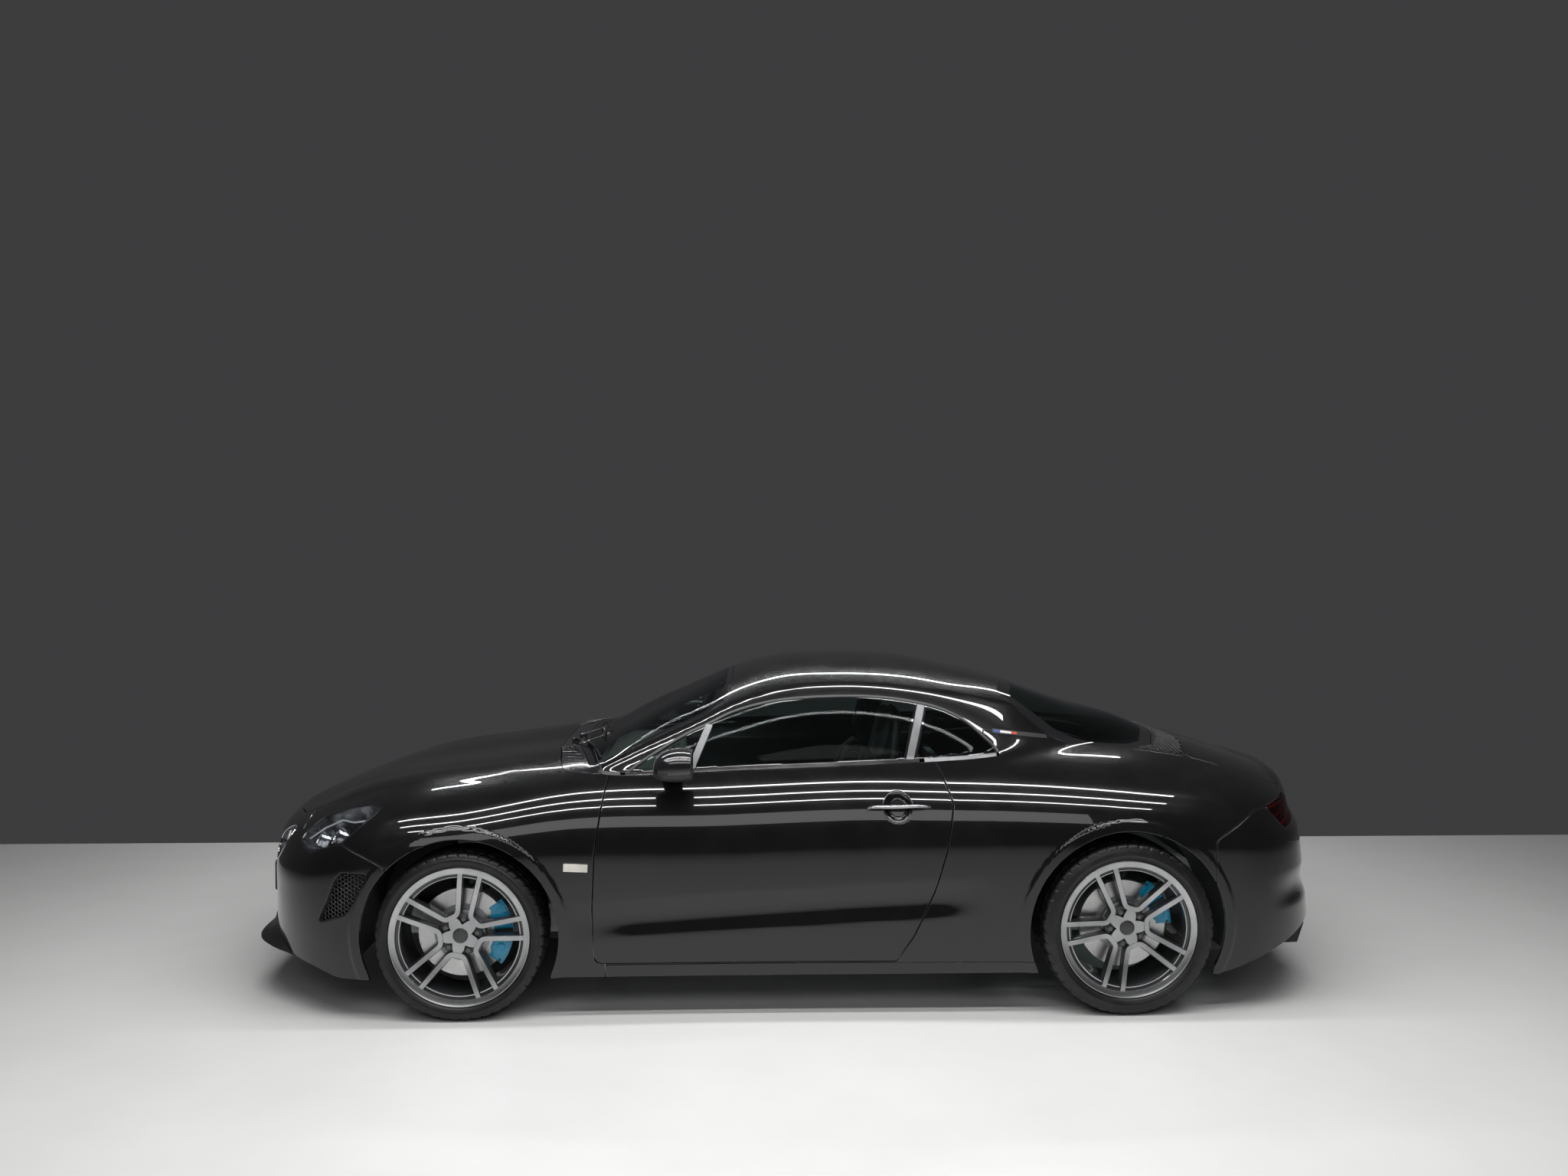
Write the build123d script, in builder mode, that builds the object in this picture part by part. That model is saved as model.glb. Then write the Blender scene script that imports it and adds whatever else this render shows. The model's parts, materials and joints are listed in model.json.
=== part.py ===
"""Mid-engined two-seat sports coupe, built as separate panels, glass, running gear and cabin pieces.

+X points forward, +Y to the car's left and +Z up. The origin is on the ground, midway along the
length, on the centreline. Every length is in millimetres.
"""

import math
import os

from build123d import *

os.makedirs("parts", exist_ok=True)

# Overall sizes
length = 4180.0
width = 1798.0
height = 1252.0
wheelbase = 2419.0
front_overhang = 880.0
track_front = 1556.0
track_rear = 1553.0

# Walls and clearances
panel_wall = 22.0
pillar_wall = 42.0
glass_wall = 5.0
glass_inset = 2.0
shut_gap = 5.0
seat_gap = 0.3

# Wheels and brakes
tyre_d_front = 612.0
tyre_w_front = 205.0
tyre_d_rear = 634.0
tyre_w_rear = 235.0
rim_d = 505.0
rim_barrel_d = 440.0
rim_wall = 9.0
spoke_count = 5
disc_d = 320.0
disc_w = 26.0
hub_bore_d = 64.0
spindle_gap = 0.05
spindle_d = 40.0
steer_offset = 50.0
arch_r_front = 352.0
arch_r_rear = 360.0
arch_depth_front = 390.0
arch_depth_rear = 330.0

# Derived places
half_width = width / 2
nose_tip_x = length / 2
tail_tip_x = -length / 2
bumper_face_x = nose_tip_x - 40.0
front_axle_x = nose_tip_x - front_overhang
rear_axle_x = front_axle_x - wheelbase
nose_full_x = front_axle_x + 290.0
tail_full_x = rear_axle_x - 380.0
wheel_y_front = track_front / 2
wheel_y_rear = track_rear / 2
axle_z_front = tyre_d_front / 2
axle_z_rear = tyre_d_rear / 2


def guide(*points):
    """A smooth curve through the given (x, value) points, returned as a function of x."""
    points = sorted(points)
    spans = [(b[0] - a[0], (b[1] - a[1]) / (b[0] - a[0])) for a, b in zip(points, points[1:])]
    slopes = [spans[0][1]]
    for (h0, s0), (h1, s1) in zip(spans, spans[1:]):
        slopes.append((s0 * h1 + s1 * h0) / (h0 + h1))
    slopes.append(spans[-1][1])

    def value(x):
        if x <= points[0][0]:
            return points[0][1] + slopes[0] * (x - points[0][0])
        if x >= points[-1][0]:
            return points[-1][1] + slopes[-1] * (x - points[-1][0])
        i = max(k for k in range(len(spans)) if points[k][0] <= x)
        h = spans[i][0]
        t = (x - points[i][0]) / h
        start = (1 + 2 * t) * (1 - t) ** 2 * points[i][1] + t * (1 - t) ** 2 * h * slopes[i]
        end = t * t * (3 - 2 * t) * points[i + 1][1] - t * t * (1 - t) * h * slopes[i + 1]
        return start + end

    return value


# Lower body: guide curves along the car
F = front_axle_x
R = rear_axle_x
waist_y = guide(
    (nose_full_x, half_width - 15), (F, half_width - 6), (F - 360, half_width - 21),
    (300, half_width - 33), (-250, half_width - 33), (R + 560, half_width - 17),
    (R, half_width), (tail_full_x, half_width - 18),
)
waist_z = guide((bumper_face_x, 400), (F + 300, 540), (F, 560), (300, 560), (R, 600), (tail_tip_x, 560))
rocker_y = guide((nose_full_x, half_width - 45), (300, half_width - 55), (R, half_width - 48),
                 (tail_full_x, half_width - 58))
rocker_z = guide((bumper_face_x, 150), (300, 150), (R, 155), (tail_tip_x + 190, 162), (tail_tip_x + 90, 190),
                 (tail_tip_x + 40, 240), (tail_tip_x, 322))
shoulder_y = guide((nose_full_x, 735), (F, 728), (F - 360, 722), (300, 706), (-400, 702),
                   (R, 690), (tail_full_x, 660))
shoulder_z = guide((bumper_face_x, 455), (F + 560, 650), (nose_full_x, 745), (F, 788),
                   (F - 360, 838), (300, 858), (-400, 882), (R, 872), (tail_full_x, 842),
                   (tail_tip_x, 770))
shoulder_slope = guide((bumper_face_x, 20), (F, 22), (300, 28), (-500, 26), (R, 22), (tail_tip_x, 18))
centre_z = guide(
    (bumper_face_x, 540), (bumper_face_x - 15, 592), (bumper_face_x - 60, 640),
    (bumper_face_x - 200, 722), (bumper_face_x - 345, 774), (F + 300, 808), (F, 848),
    (F - 330, 893), (300, 903), (-700, 920), (R - 300, 930), (R - 470, 899),
    (R - 600, 868), (tail_tip_x + 70, 818), (tail_tip_x, 800),
)
tail_lean = 9.0
tail_pivot_z = 324.5
nose_power = 2.5
tail_power = 2.8
crest_closing = 1.25

# Cabin: guide curves along the car
cabin_front_x = F - 330.0
cabin_rear_x = R - 400.0
belt_y = guide((cabin_front_x, 690), (700, 712), (300, 700), (-400, 692), (-800, 662),
               (-1030, 612), (-1200, 575), (-1350, 545), (cabin_rear_x, 470))
belt_z = guide((cabin_front_x, 800), (300, 820), (-400, 840), (-1100, 838), (cabin_rear_x, 815))
rail_y = guide((cabin_front_x, 575), (750, 655), (600, 645), (400, 588), (228, 538), (64, 520),
               (-190, 514), (-480, 505), (-650, 490), (-830, 462), (-1030, 430), (-1200, 402),
               (-1350, 380), (cabin_rear_x, 340))
rail_z = guide((cabin_front_x, 858), (750, 880), (600, 940), (400, 1025), (228, 1108), (64, 1158),
               (-190, 1182), (-480, 1162), (-650, 1134), (-830, 1096), (-1030, 1018),
               (-1200, 962), (-1350, 930), (cabin_rear_x, 878))
rail_slope = guide((cabin_front_x, 12), (600, 38), (228, 36), (-190, 32), (-650, 36), (-1030, 50),
                   (-1350, 40), (cabin_rear_x, 16))
top_z = guide((cabin_front_x, 889), (760, 930), (600, 1012), (400, 1111), (228, height - 60),
              (64, height - 16), (-190, height), (-480, height - 10), (-650, height - 44),
              (-866, 1159), (-1059, 1092), (-1187, 1049), (-1400, 992), (-1520, 942),
              (cabin_rear_x, 900))


def closing(x):
    """How far the plan outline has closed in towards the nose or tail, from 1 down to 0."""
    if x > nose_full_x:
        reach = min((x - nose_full_x) / (bumper_face_x - nose_full_x), 1)
        return (1 - reach**2) ** (1 / nose_power)
    if x < tail_full_x:
        reach = min((tail_full_x - x) / (tail_full_x - tail_tip_x), 1)
        return (1 - reach**2) ** (1 / tail_power)
    return 1.0


def station_plane(x):
    """The plane of a section: upright, but leaning forward over the tail as its face does."""
    share = max(0.0, (tail_full_x - x) / (tail_full_x - tail_tip_x))
    lean = math.radians(tail_lean * share)
    origin = (x + tail_pivot_z * -math.tan(lean), 0, 0)
    return Plane(origin, x_dir=(0, 1, 0), z_dir=(math.cos(lean), 0, -math.sin(lean)))


def body_curves(x, inset):
    """Control points of the three curves of half a lower-body section: side, shoulder and top."""
    share = closing(x)
    held = min(max(x, tail_full_x), nose_full_x)
    slope = math.radians(shoulder_slope(x))
    rise = math.tan(slope)
    low = (rocker_y(held) * share - inset, rocker_z(x) + inset)
    waist = (waist_y(held) * share - inset, waist_z(x))
    crest_share = share**crest_closing if x > nose_full_x else share
    crest = (shoulder_y(held) * crest_share - inset * math.sin(slope), shoulder_z(x) - inset * math.cos(slope))
    top = centre_z(x) - inset
    step = (waist[1] - low[1]) / 3
    climb = crest[1] - waist[1]
    lean = waist[0] - crest[0]
    side = [low, (low[0] + 0.7 * (waist[0] - low[0]), low[1] + step), (waist[0], waist[1] - step), waist]
    turn = [waist, (waist[0], waist[1] + 0.6 * climb),
            (crest[0] + 0.55 * lean, crest[1] - 0.55 * lean * rise), crest]
    lid = [crest, (0.66 * crest[0], crest[1] + 0.34 * crest[0] * rise), (0.33 * crest[0], top), (0, top)]
    return side, turn, lid


def cabin_curves(x, inset):
    """Control points of the two curves of half a cabin section: side glass and roof."""
    slope = math.radians(rail_slope(x))
    lean = math.radians(68)
    foot = (belt_y(x) - inset, belt_z(x))
    rail = (rail_y(x) - inset * math.sin(slope), rail_z(x) - inset * math.cos(slope))
    top = top_z(x) - inset
    climb = rail[1] - foot[1]
    reach = 0.34 * min(climb, foot[0] - rail[0] + 60)
    side = [foot, (foot[0] - 0.3 * (foot[0] - rail[0]) + 10, foot[1] + 0.36 * climb),
            (rail[0] + reach * math.cos(slope), rail[1] - reach * math.sin(slope) * 1.2), rail]
    roof = [rail, (rail[0] - 0.3 * rail[0], rail[1] + 0.3 * rail[0] * math.tan(slope) * 0.6),
            (0.4 * rail[0], top), (0, top)]
    return side, roof


def mirrored(points):
    return [(-y, z) for y, z in reversed(points)]


def section_form(stations, curves, inset):
    """A closed body lofted through the sections that `curves` gives at each station."""
    with BuildPart() as form:
        for x in stations:
            halves = curves(x, inset)
            foot = halves[0][0]
            with BuildSketch(station_plane(x)):
                with BuildLine():
                    for points in halves:
                        Bezier(*points)
                    for points in reversed(halves):
                        Bezier(*mirrored(points))
                    Line((-foot[0], foot[1]), (foot[0], foot[1]))
                make_face()
        loft()
    return form.part


def body_stations(inset):
    shares = (0.16, 0.42, 0.65, 0.84, 0.955)
    nose_span = bumper_face_x - nose_full_x
    tail_span = tail_full_x - tail_tip_x
    nose = [nose_full_x + (nose_span - inset) * math.sqrt(1 - t**nose_power) for t in shares]
    tail = [tail_full_x - (tail_span - inset) * math.sqrt(1 - t**tail_power) for t in reversed(shares)]
    return nose + [nose_full_x, F, F - 380, 300, -300, R + 400, R, tail_full_x] + tail


def cabin_stations():
    return [cabin_front_x, 740, 560, 330, 64, -190, -480, -700, -900, -1100, -1320, -1480, cabin_rear_x]


def prism_side(points, y0, y1, rounds=0):
    """A side-view outline of (x, z) points carried from y0 to y1."""
    with BuildPart() as prism:
        with BuildSketch(Plane.XZ.offset(-y1)) as outline:
            with BuildLine():
                Polyline(*points, close=True)
            make_face()
            if rounds:
                fillet(outline.vertices(), rounds)
        extrude(amount=y1 - y0)
    return prism.part


def prism_plan(points, z0, z1, rounds=0):
    """A plan outline of half the car, (x, y) points from nose to tail, mirrored and carried up."""
    both = list(points) + [(x, -y) for x, y in reversed(points) if y > 0.5]
    with BuildPart() as prism:
        with BuildSketch(Plane.XY.offset(z0)) as outline:
            with BuildLine():
                Polyline(*both, close=True)
            make_face()
            if rounds:
                fillet(outline.vertices(), rounds)
        extrude(amount=z1 - z0)
    return prism.part


def cylinder_y(x, z, radius, y0, y1):
    with BuildPart() as bar:
        with BuildSketch(Plane.XZ.offset(-y1)):
            with Locations((x, z)):
                Circle(radius)
        extrude(amount=y1 - y0)
    return bar.part


def block(x0, x1, y0, y1, z0, z1):
    with BuildPart(Plane(((x0 + x1) / 2, (y0 + y1) / 2, (z0 + z1) / 2))) as box:
        Box(x1 - x0, y1 - y0, z1 - z0)
    return box.part


def save(part, name):
    part.label = name
    export_step(part, f"parts/{name}.step")


def flip(part):
    return mirror(part, about=Plane.XZ)


# Body forms
body_outer = section_form(body_stations(0), body_curves, 0)
body_inner = section_form(body_stations(panel_wall), body_curves, panel_wall)
body_seat = section_form(body_stations(-seat_gap), body_curves, -seat_gap)
cabin_outer = section_form(cabin_stations(), cabin_curves, 0)
cabin_inner = section_form(cabin_stations(), cabin_curves, pillar_wall)
cabin_clear = section_form(cabin_stations(), cabin_curves, -shut_gap)
glass_outer = section_form(cabin_stations(), cabin_curves, glass_inset)
glass_inner = section_form(cabin_stations(), cabin_curves, glass_inset + glass_wall)
body_skin = body_outer - body_inner
glass_shell = glass_outer - glass_inner
glass_skin = glass_shell - body_seat

# Wheel wells
front_well = cylinder_y(F, axle_z_front, arch_r_front, half_width - arch_depth_front, half_width + 60)
rear_well = cylinder_y(R, axle_z_rear, arch_r_rear, half_width - arch_depth_rear, half_width + 60)
wells = front_well + rear_well
wells = wells + flip(wells)

# Shut lines in side view and in plan
door_front_x = F - 478.0
door_sill_z = 200.0
door_outline = [
    (door_front_x, door_sill_z), (door_front_x + 6, 400), (door_front_x - 2, 600), (door_front_x - 22, 760),
    (door_front_x - 60, 960), (-500, 960), (-545, 860), (-572, 770), (-545, 610), (-500, 450),
    (-425, 290), (-380, 225),
]
door_cutter = prism_side(door_outline, 0, half_width + 60)


def grown(points, gap):
    """The same outline, moved outwards all round by the gap."""
    with BuildSketch() as outline:
        with BuildLine():
            Polyline(*points, close=True)
        make_face()
        offset(amount=gap)
    return outline.sketch


def cut_side(points, gap, y0, y1):
    with BuildPart() as prism:
        with BuildSketch(Plane.XZ.offset(-y1)):
            add(grown(points, gap))
        extrude(amount=y1 - y0)
    return prism.part


def cut_plan(points, gap, z0, z1):
    both = list(points) + [(x, -y) for x, y in reversed(points) if y > 0.5]
    with BuildPart() as prism:
        with BuildSketch(Plane.XY.offset(z0)):
            add(grown(both, gap))
        extrude(amount=z1 - z0)
    return prism.part


door_opening = cut_side(door_outline, shut_gap, 0, half_width + 60)

bonnet_outline = [
    (bumper_face_x - 75, 0), (bumper_face_x - 90, 260), (bumper_face_x - 150, 400),
    (bumper_face_x - 330, 480), (F + 200, 575), (F - 150, 600), (F - 330, 585), (F - 290, 300), (F - 275, 0),
]
boot_outline = [
    (R - 395, 0), (R - 380, 300), (R - 330, 520), (R - 440, 560), (R - 640, 560), (R - 760, 470), (R - 785, 250),
    (R - 790, 0),
]
bonnet_opening = cut_plan(bonnet_outline, shut_gap, 300, 1100)
boot_opening = cut_plan(boot_outline, shut_gap, 620, 1100)
screen_outline = [
    (F - 345, 0), (F - 365, 350), (F - 440, 665), (330, 548), (270, 500), (236, 300), (230, 0),
]
rear_glass_outline = [
    (-868, 0), (-858, 250), (-815, 415), (-900, 462), (-1030, 490), (-1200, 502), (-1350, 482),
    (-1440, 400), (-1505, 200), (-1528, 0),
]
side_glass_outline = [
    (640, 851), (600, 885), (500, 948), (400, 1002), (325, 1034), (235, 1075), (64, 1118), (-190, 1134),
    (-350, 1128), (-479, 1108), (-570, 1084), (-655, 1042), (-718, 990), (-778, 925), (-770, 905), (-414, 875),
    (200, 852),
]
post_foot_x = -425.0
post_head_x = -496.0
post_half = 16.0


def post_zone(front, gap):
    """Side-view region ahead of or behind the post that leans between the side panes."""
    edge = (post_half - gap) * (1 if front else -1)
    end = 1500 if front else -1500
    return [(post_foot_x + edge, 870), (post_head_x + edge, 1114), (post_head_x + edge - 95, 1400), (end, 1400),
            (end, 600), (post_foot_x + edge + 79, 600)]


# Doors: an outer skin out to the shut lines, on an inner box as thick as the whole door
door_inner_y = 735.0
door_head_y = 670.0
door_flange = 30.0
with BuildPart() as cabin_side_space:
    with BuildSketch(Plane.YZ.offset(-1000)):
        with BuildLine():
            Polyline((-door_inner_y, 60), (door_inner_y, 60), (door_inner_y, 520), (door_head_y, 790),
                     (door_head_y, 1100), (-door_head_y, 1100), (-door_head_y, 790), (-door_inner_y, 520), close=True)
        make_face()
    extrude(amount=2400)
cabin_width = cabin_side_space.part
hinge_x = door_front_x - 10.0
hinge_y = waist_y(hinge_x) - 8.0
door_box_cutter = cut_side(door_outline, -door_flange, 0, half_width + 60) - cabin_width
door_left = (door_cutter & body_skin) - cabin_width
door_left = door_left + (door_box_cutter & body_inner) - cabin_clear
save(door_left, "door_left")
save(flip(door_left), "door_right")
print("doors")

# Side glass: the front pane stands in the door, the rear one is fixed behind the post
pane_foot = [(x, belt_z(x) + seat_gap) for x in range(-500, 700, 100)]
front_pane_outline = side_glass_outline[:14] + [(-778, 900)] + pane_foot
pane_left = glass_shell & prism_side(front_pane_outline, 300, 900) & prism_side(post_zone(True, 0), 300, 900)
save(pane_left, "door_glass_left")
save(flip(pane_left), "door_glass_right")
rear_pane = glass_skin & prism_side(side_glass_outline, 300, 900) & prism_side(post_zone(False, 0), 300, 900)
save(rear_pane + flip(rear_pane), "quarter_windows")

# Fixed glass
screen = glass_skin & prism_plan(screen_outline, 700, 1300)
save(screen, "windscreen")
rear_glass = glass_skin & prism_plan(rear_glass_outline, 700, 1300)
save(rear_glass, "rear_window")
print("glass")

# Cabin shell: roof, pillars and the panel behind the cabin, with every window cut through
front_side_opening = cut_side(side_glass_outline, shut_gap, 300, 900)
front_side_opening = front_side_opening & prism_side(post_zone(True, shut_gap), 300, 900)
rear_side_opening = cut_side(side_glass_outline, seat_gap, 300, 900)
rear_side_opening = rear_side_opening & prism_side(post_zone(False, seat_gap), 300, 900)
side_opening = front_side_opening + rear_side_opening
screen_opening = cut_plan(screen_outline, seat_gap, 700, 1300)
rear_opening = cut_plan(rear_glass_outline, seat_gap, 700, 1300)
shell_cut = cabin_outer - cabin_inner - body_seat - screen_opening - rear_opening
shell_cut = shell_cut - side_opening - flip(side_opening)
roof = max(shell_cut.solids(), key=lambda s: s.volume)
print("roof", round(roof.volume / 1000), len(shell_cut.solids()))  # TEMP
save(roof, "roof_panel")
print("cabin")

# Body panels
door_hole = door_opening + flip(door_opening)
under_half = door_inner_y + 5
under_hole = block(tail_tip_x, nose_tip_x, -under_half, under_half, 0, 600)
nose_seam = [(F + 258, 0), (F + 258, 574), (F + 419, 610), (F + 640, 610), (F + 640, 1200), (F + 3000, 1200),
             (F + 3000, 0)]
nose_zone = prism_side(nose_seam, -1000, 1000)
tail_seam = [(R - 320, 0), (R - 320, 640), (R - 480, 735), (R - 700, 760), (R - 790, 800), (R - 790, 1200),
             (R - 3000, 1200), (R - 3000, 0)]
tail_zone = prism_side(tail_seam, -1000, 1000)
bumper_floor = block(tail_tip_x, nose_tip_x, -under_half, under_half, 0, 215)
screen_seat = cut_plan(screen_outline, -20, 700, 1300)
rear_seat = cut_plan(rear_glass_outline, -20, 700, 1300)
cabin_hole = cabin_inner + screen_seat + rear_seat

# Lamps follow the skin, each within its own outline
headlamp_outline = [
    (F + 302, 746), (F + 367, 746), (F + 446, 727), (F + 559, 684), (F + 615, 640), (F + 624, 606),
    (F + 559, 588), (F + 486, 616), (F + 427, 636), (F + 379, 680),
]
tail_lamp_outline = [
    (R - 540, 744), (R - 650, 756), (R - 1000, 752), (R - 1000, 690), (R - 700, 668), (R - 632, 655),
]
driving_lamp_y = 500.0
driving_lamp_z = 572.0
driving_lamp_r = 62.0


def cylinder_x(y, z, radius, x0, x1):
    with BuildPart() as bar:
        with BuildSketch(Plane.YZ.offset(x0)):
            with Locations((y, z)):
                Circle(radius)
        extrude(amount=x1 - x0)
    return bar.part


def prism_front(points, x0, x1):
    """A front-view outline of half the car, (y, z) points, mirrored and carried from x0 to x1."""
    both = list(points) + [(-y, z) for y, z in reversed(points)]
    with BuildPart() as prism:
        with BuildSketch(Plane.YZ.offset(x0)):
            with BuildLine():
                Polyline(*both, close=True)
            make_face()
        extrude(amount=x1 - x0)
    return prism.part


lamp_side_y = 330.0
tail_lamp_y = 566.0
headlamp = body_skin & prism_side(headlamp_outline, lamp_side_y, 900)
driving_lamp = body_skin & cylinder_x(driving_lamp_y, driving_lamp_z, driving_lamp_r, F + 560, nose_tip_x)
save(headlamp + flip(headlamp) + driving_lamp + flip(driving_lamp), "front_lamps")
tail_lamp = body_skin & prism_side(tail_lamp_outline, tail_lamp_y, 900)
save(tail_lamp + flip(tail_lamp), "tail_lamps")
front_lamp_holes = cut_side(headlamp_outline, seat_gap, lamp_side_y, 900)
front_lamp_holes = front_lamp_holes + cylinder_x(
    driving_lamp_y, driving_lamp_z, driving_lamp_r + seat_gap, F + 560, nose_tip_x)
front_lamp_holes = front_lamp_holes + flip(front_lamp_holes)
tail_lamp_hole = cut_side(tail_lamp_outline, seat_gap, tail_lamp_y - seat_gap, 900)
tail_lamp_holes = tail_lamp_hole + flip(tail_lamp_hole)

# Air intakes of the nose: a wide one below the plate and one in each corner
intake_half = 400.0
intake_z0 = 186.0
intake_z1 = 300.0
corner_intake_outline = [(F + 515, 353), (F + 437, 526), (F + 338, 525), (F + 400, 395)]
blade = 8.0


def intake_shape(gap):
    low, high, half = intake_z0 - gap, intake_z1 + gap, intake_half + gap
    centre = prism_front([(half - 60, low), (half, low + 30), (half - 40, high)], F + 500, nose_tip_x + 100)
    corner = cut_side(corner_intake_outline, gap, 600, 900)
    return centre + corner + flip(corner)


def grille_bars():
    """Level blades and a few upright ribs, across the whole nose."""
    with BuildPart() as bars:
        with BuildSketch(Plane.YZ.offset(F + 300)):
            with Locations(*[(0, z) for z in range(198, 520, 28)]):
                Rectangle(2 * half_width, blade)
            with Locations(*[(side * y, 350) for side in (-1, 1) for y in (130, 260, 390, 730, 800)]):
                Rectangle(blade, 500)
        extrude(amount=900)
    return bars.part


grille = body_skin & intake_shape(-seat_gap) & grille_bars()
save(grille, "front_grille")

front_bumper = (body_skin & nose_zone) - wells - bonnet_opening - (bumper_floor & body_inner)
front_bumper = front_bumper - front_lamp_holes - intake_shape(0)
save(max(front_bumper.solids(), key=lambda s: s.volume), "front_bumper")
tailpipe_half_w = 75.0
tailpipe_half_h = 38.0
tailpipe_z = 300.0
tailpipe_air = 14.0
tail_notch = block(tail_tip_x - 50, R - 760, -tailpipe_half_w - tailpipe_air, tailpipe_half_w + tailpipe_air, 0,
                   tailpipe_z + tailpipe_half_h + tailpipe_air)
rear_bumper = (body_skin & tail_zone) - wells - boot_opening - tail_lamp_holes - tail_notch
save(max(rear_bumper.solids(), key=lambda s: s.volume), "rear_bumper")
bonnet_cutter = prism_plan(bonnet_outline, 300, 1100)
bonnet = (body_skin & bonnet_cutter) & block(-2200, 2200, -900, 900, 560, 1200) - front_lamp_holes
save(bonnet, "bonnet")
boot_lid = body_skin & prism_plan(boot_outline, 640, 1100)
save(boot_lid, "boot_lid")
middle = body_skin - nose_zone - tail_zone - wells - bonnet_opening - boot_opening - door_hole - cabin_hole
middle = middle - under_hole
middle = max(middle.solids(), key=lambda s: s.volume)
scuttle_outline = [(F - 260, 0), (F - 275, 300), (F - 340, 640), (F - 460, 690), (F - 540, 690), (F - 540, 0)]
vent_outline = [(-1300, 0), (-1380, 300), (-1330, 500), (R - 330 - seat_gap, 525), (R - 400, 300), (R - 450, 0)]
scuttle_zone = cut_plan(scuttle_outline, 0, 650, 1300)
vent_zone = cut_plan(vent_outline, 0, 650, 1300)
scuttle = max((middle & scuttle_zone).solids(), key=lambda s: s.volume)
save(scuttle, "scuttle")
vent = max((middle & vent_zone).solids(), key=lambda s: s.volume)
save(vent, "engine_vent")
sides = middle - cut_plan(scuttle_outline, seat_gap, 650, 1300) - cut_plan(vent_outline, seat_gap, 650, 1300)
sides = sides - front_lamp_holes - tail_lamp_holes
seam_x = door_front_x - 40
wing_left = max((sides & block(seam_x, 2200, 1, 1000, 0, 1300)).solids(), key=lambda s: s.volume)
save(wing_left, "front_wing_left")
save(flip(wing_left), "front_wing_right")
sill_top = door_sill_z - shut_gap
quarter_zone = block(-2200, seam_x - seat_gap, 1, 1000, sill_top, 1300)
quarter_left = max((sides & quarter_zone).solids(), key=lambda s: s.volume)
save(quarter_left, "rear_quarter_left")
save(flip(quarter_left), "rear_quarter_right")
sill_zone = block(-2200, seam_x - seat_gap, 1, 1000, 0, sill_top - seat_gap)
sill_left = max((sides & sill_zone).solids(), key=lambda s: s.volume)
save(sill_left + flip(sill_left), "sill_covers")
print("panels")

# Chassis: cabin tub, front frame and rear frame
floor_z = 135.0
tub_front_x = 820.0
tub_rear_x = -690.0
tub_half = door_inner_y - 7.0
tunnel_half = 95.0
tunnel_z = 355.0
with BuildPart() as tub:
    with BuildSketch(Plane.XY.offset(floor_z)):
        with Locations(((tub_front_x + tub_rear_x) / 2, 0)):
            Rectangle(tub_front_x - tub_rear_x, 2 * tub_half)
    extrude(amount=30)
    with BuildSketch(Plane.XY.offset(floor_z + 30)):
        for side in (-1, 1):
            with Locations(((tub_front_x + tub_rear_x) / 2, side * (tub_half - 65))):
                Rectangle(tub_front_x - tub_rear_x, 130)
    extrude(amount=230)
    with BuildSketch(Plane.XY.offset(floor_z + 30)):
        with Locations((tub_front_x - 15, 0), (tub_rear_x + 15, 0)):
            Rectangle(30, 2 * tub_half - 260)
    extrude(amount=600)
    with BuildSketch(Plane.XY.offset(floor_z + 30)):
        with Locations(((tub_front_x + tub_rear_x) / 2, 0)):
            Rectangle(tub_front_x - tub_rear_x, 2 * tunnel_half)
    extrude(amount=tunnel_z - seat_gap - floor_z - 30)
rail_half_front = 420.0
rail_half_rear = 470.0
rail_w = 70.0
rail_h = 110.0
rail_z0 = 200.0
rail_z0_rear = 260.0
frame_front_x = nose_tip_x - 150.0
frame_rear_x = tail_tip_x + 130.0
with BuildPart() as front_frame:
    for side in (-1, 1):
        with BuildSketch(Plane.XY.offset(rail_z0)):
            with Locations(((frame_front_x + tub_front_x) / 2, side * rail_half_front)):
                Rectangle(frame_front_x - tub_front_x, rail_w)
        extrude(amount=rail_h)
        with BuildSketch(Plane.XY.offset(rail_z0 + rail_h)):
            with Locations((F, side * rail_half_front)):
                Rectangle(180, rail_w)
        extrude(amount=330)
    with BuildSketch(Plane.XY.offset(rail_z0)):
        with Locations((F, 0), (frame_front_x - 40, 0)):
            Rectangle(80, 2 * rail_half_front)
    extrude(amount=rail_h)
with BuildPart() as rear_frame:
    for side in (-1, 1):
        with BuildSketch(Plane.XY.offset(rail_z0_rear)):
            with Locations(((frame_rear_x + tub_rear_x) / 2, side * rail_half_rear)):
                Rectangle(tub_rear_x - frame_rear_x, rail_w)
        extrude(amount=rail_h)
        with BuildSketch(Plane.XY.offset(rail_z0_rear + rail_h)):
            with Locations((R, side * rail_half_rear)):
                Rectangle(180, rail_w)
        extrude(amount=270)
    with BuildSketch(Plane.XY.offset(rail_z0_rear + rail_h)):
        with Locations((frame_rear_x + 35, 0)):
            Rectangle(70, 2 * rail_half_rear + rail_w)
    extrude(amount=90)
save(tub.part + front_frame.part + rear_frame.part, "chassis")

# Engine with its gearbox, as one block ahead of the rear axle
with BuildPart() as engine:
    with BuildSketch(Plane.XY.offset(rail_z0 + 20)):
        with Locations(((tub_rear_x + R) / 2 - 40, 0)):
            Rectangle(tub_rear_x - R - 60, 2 * rail_half_rear - rail_w - 2 * seat_gap)
    extrude(amount=430)
save(engine.part, "engine_block")

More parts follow.
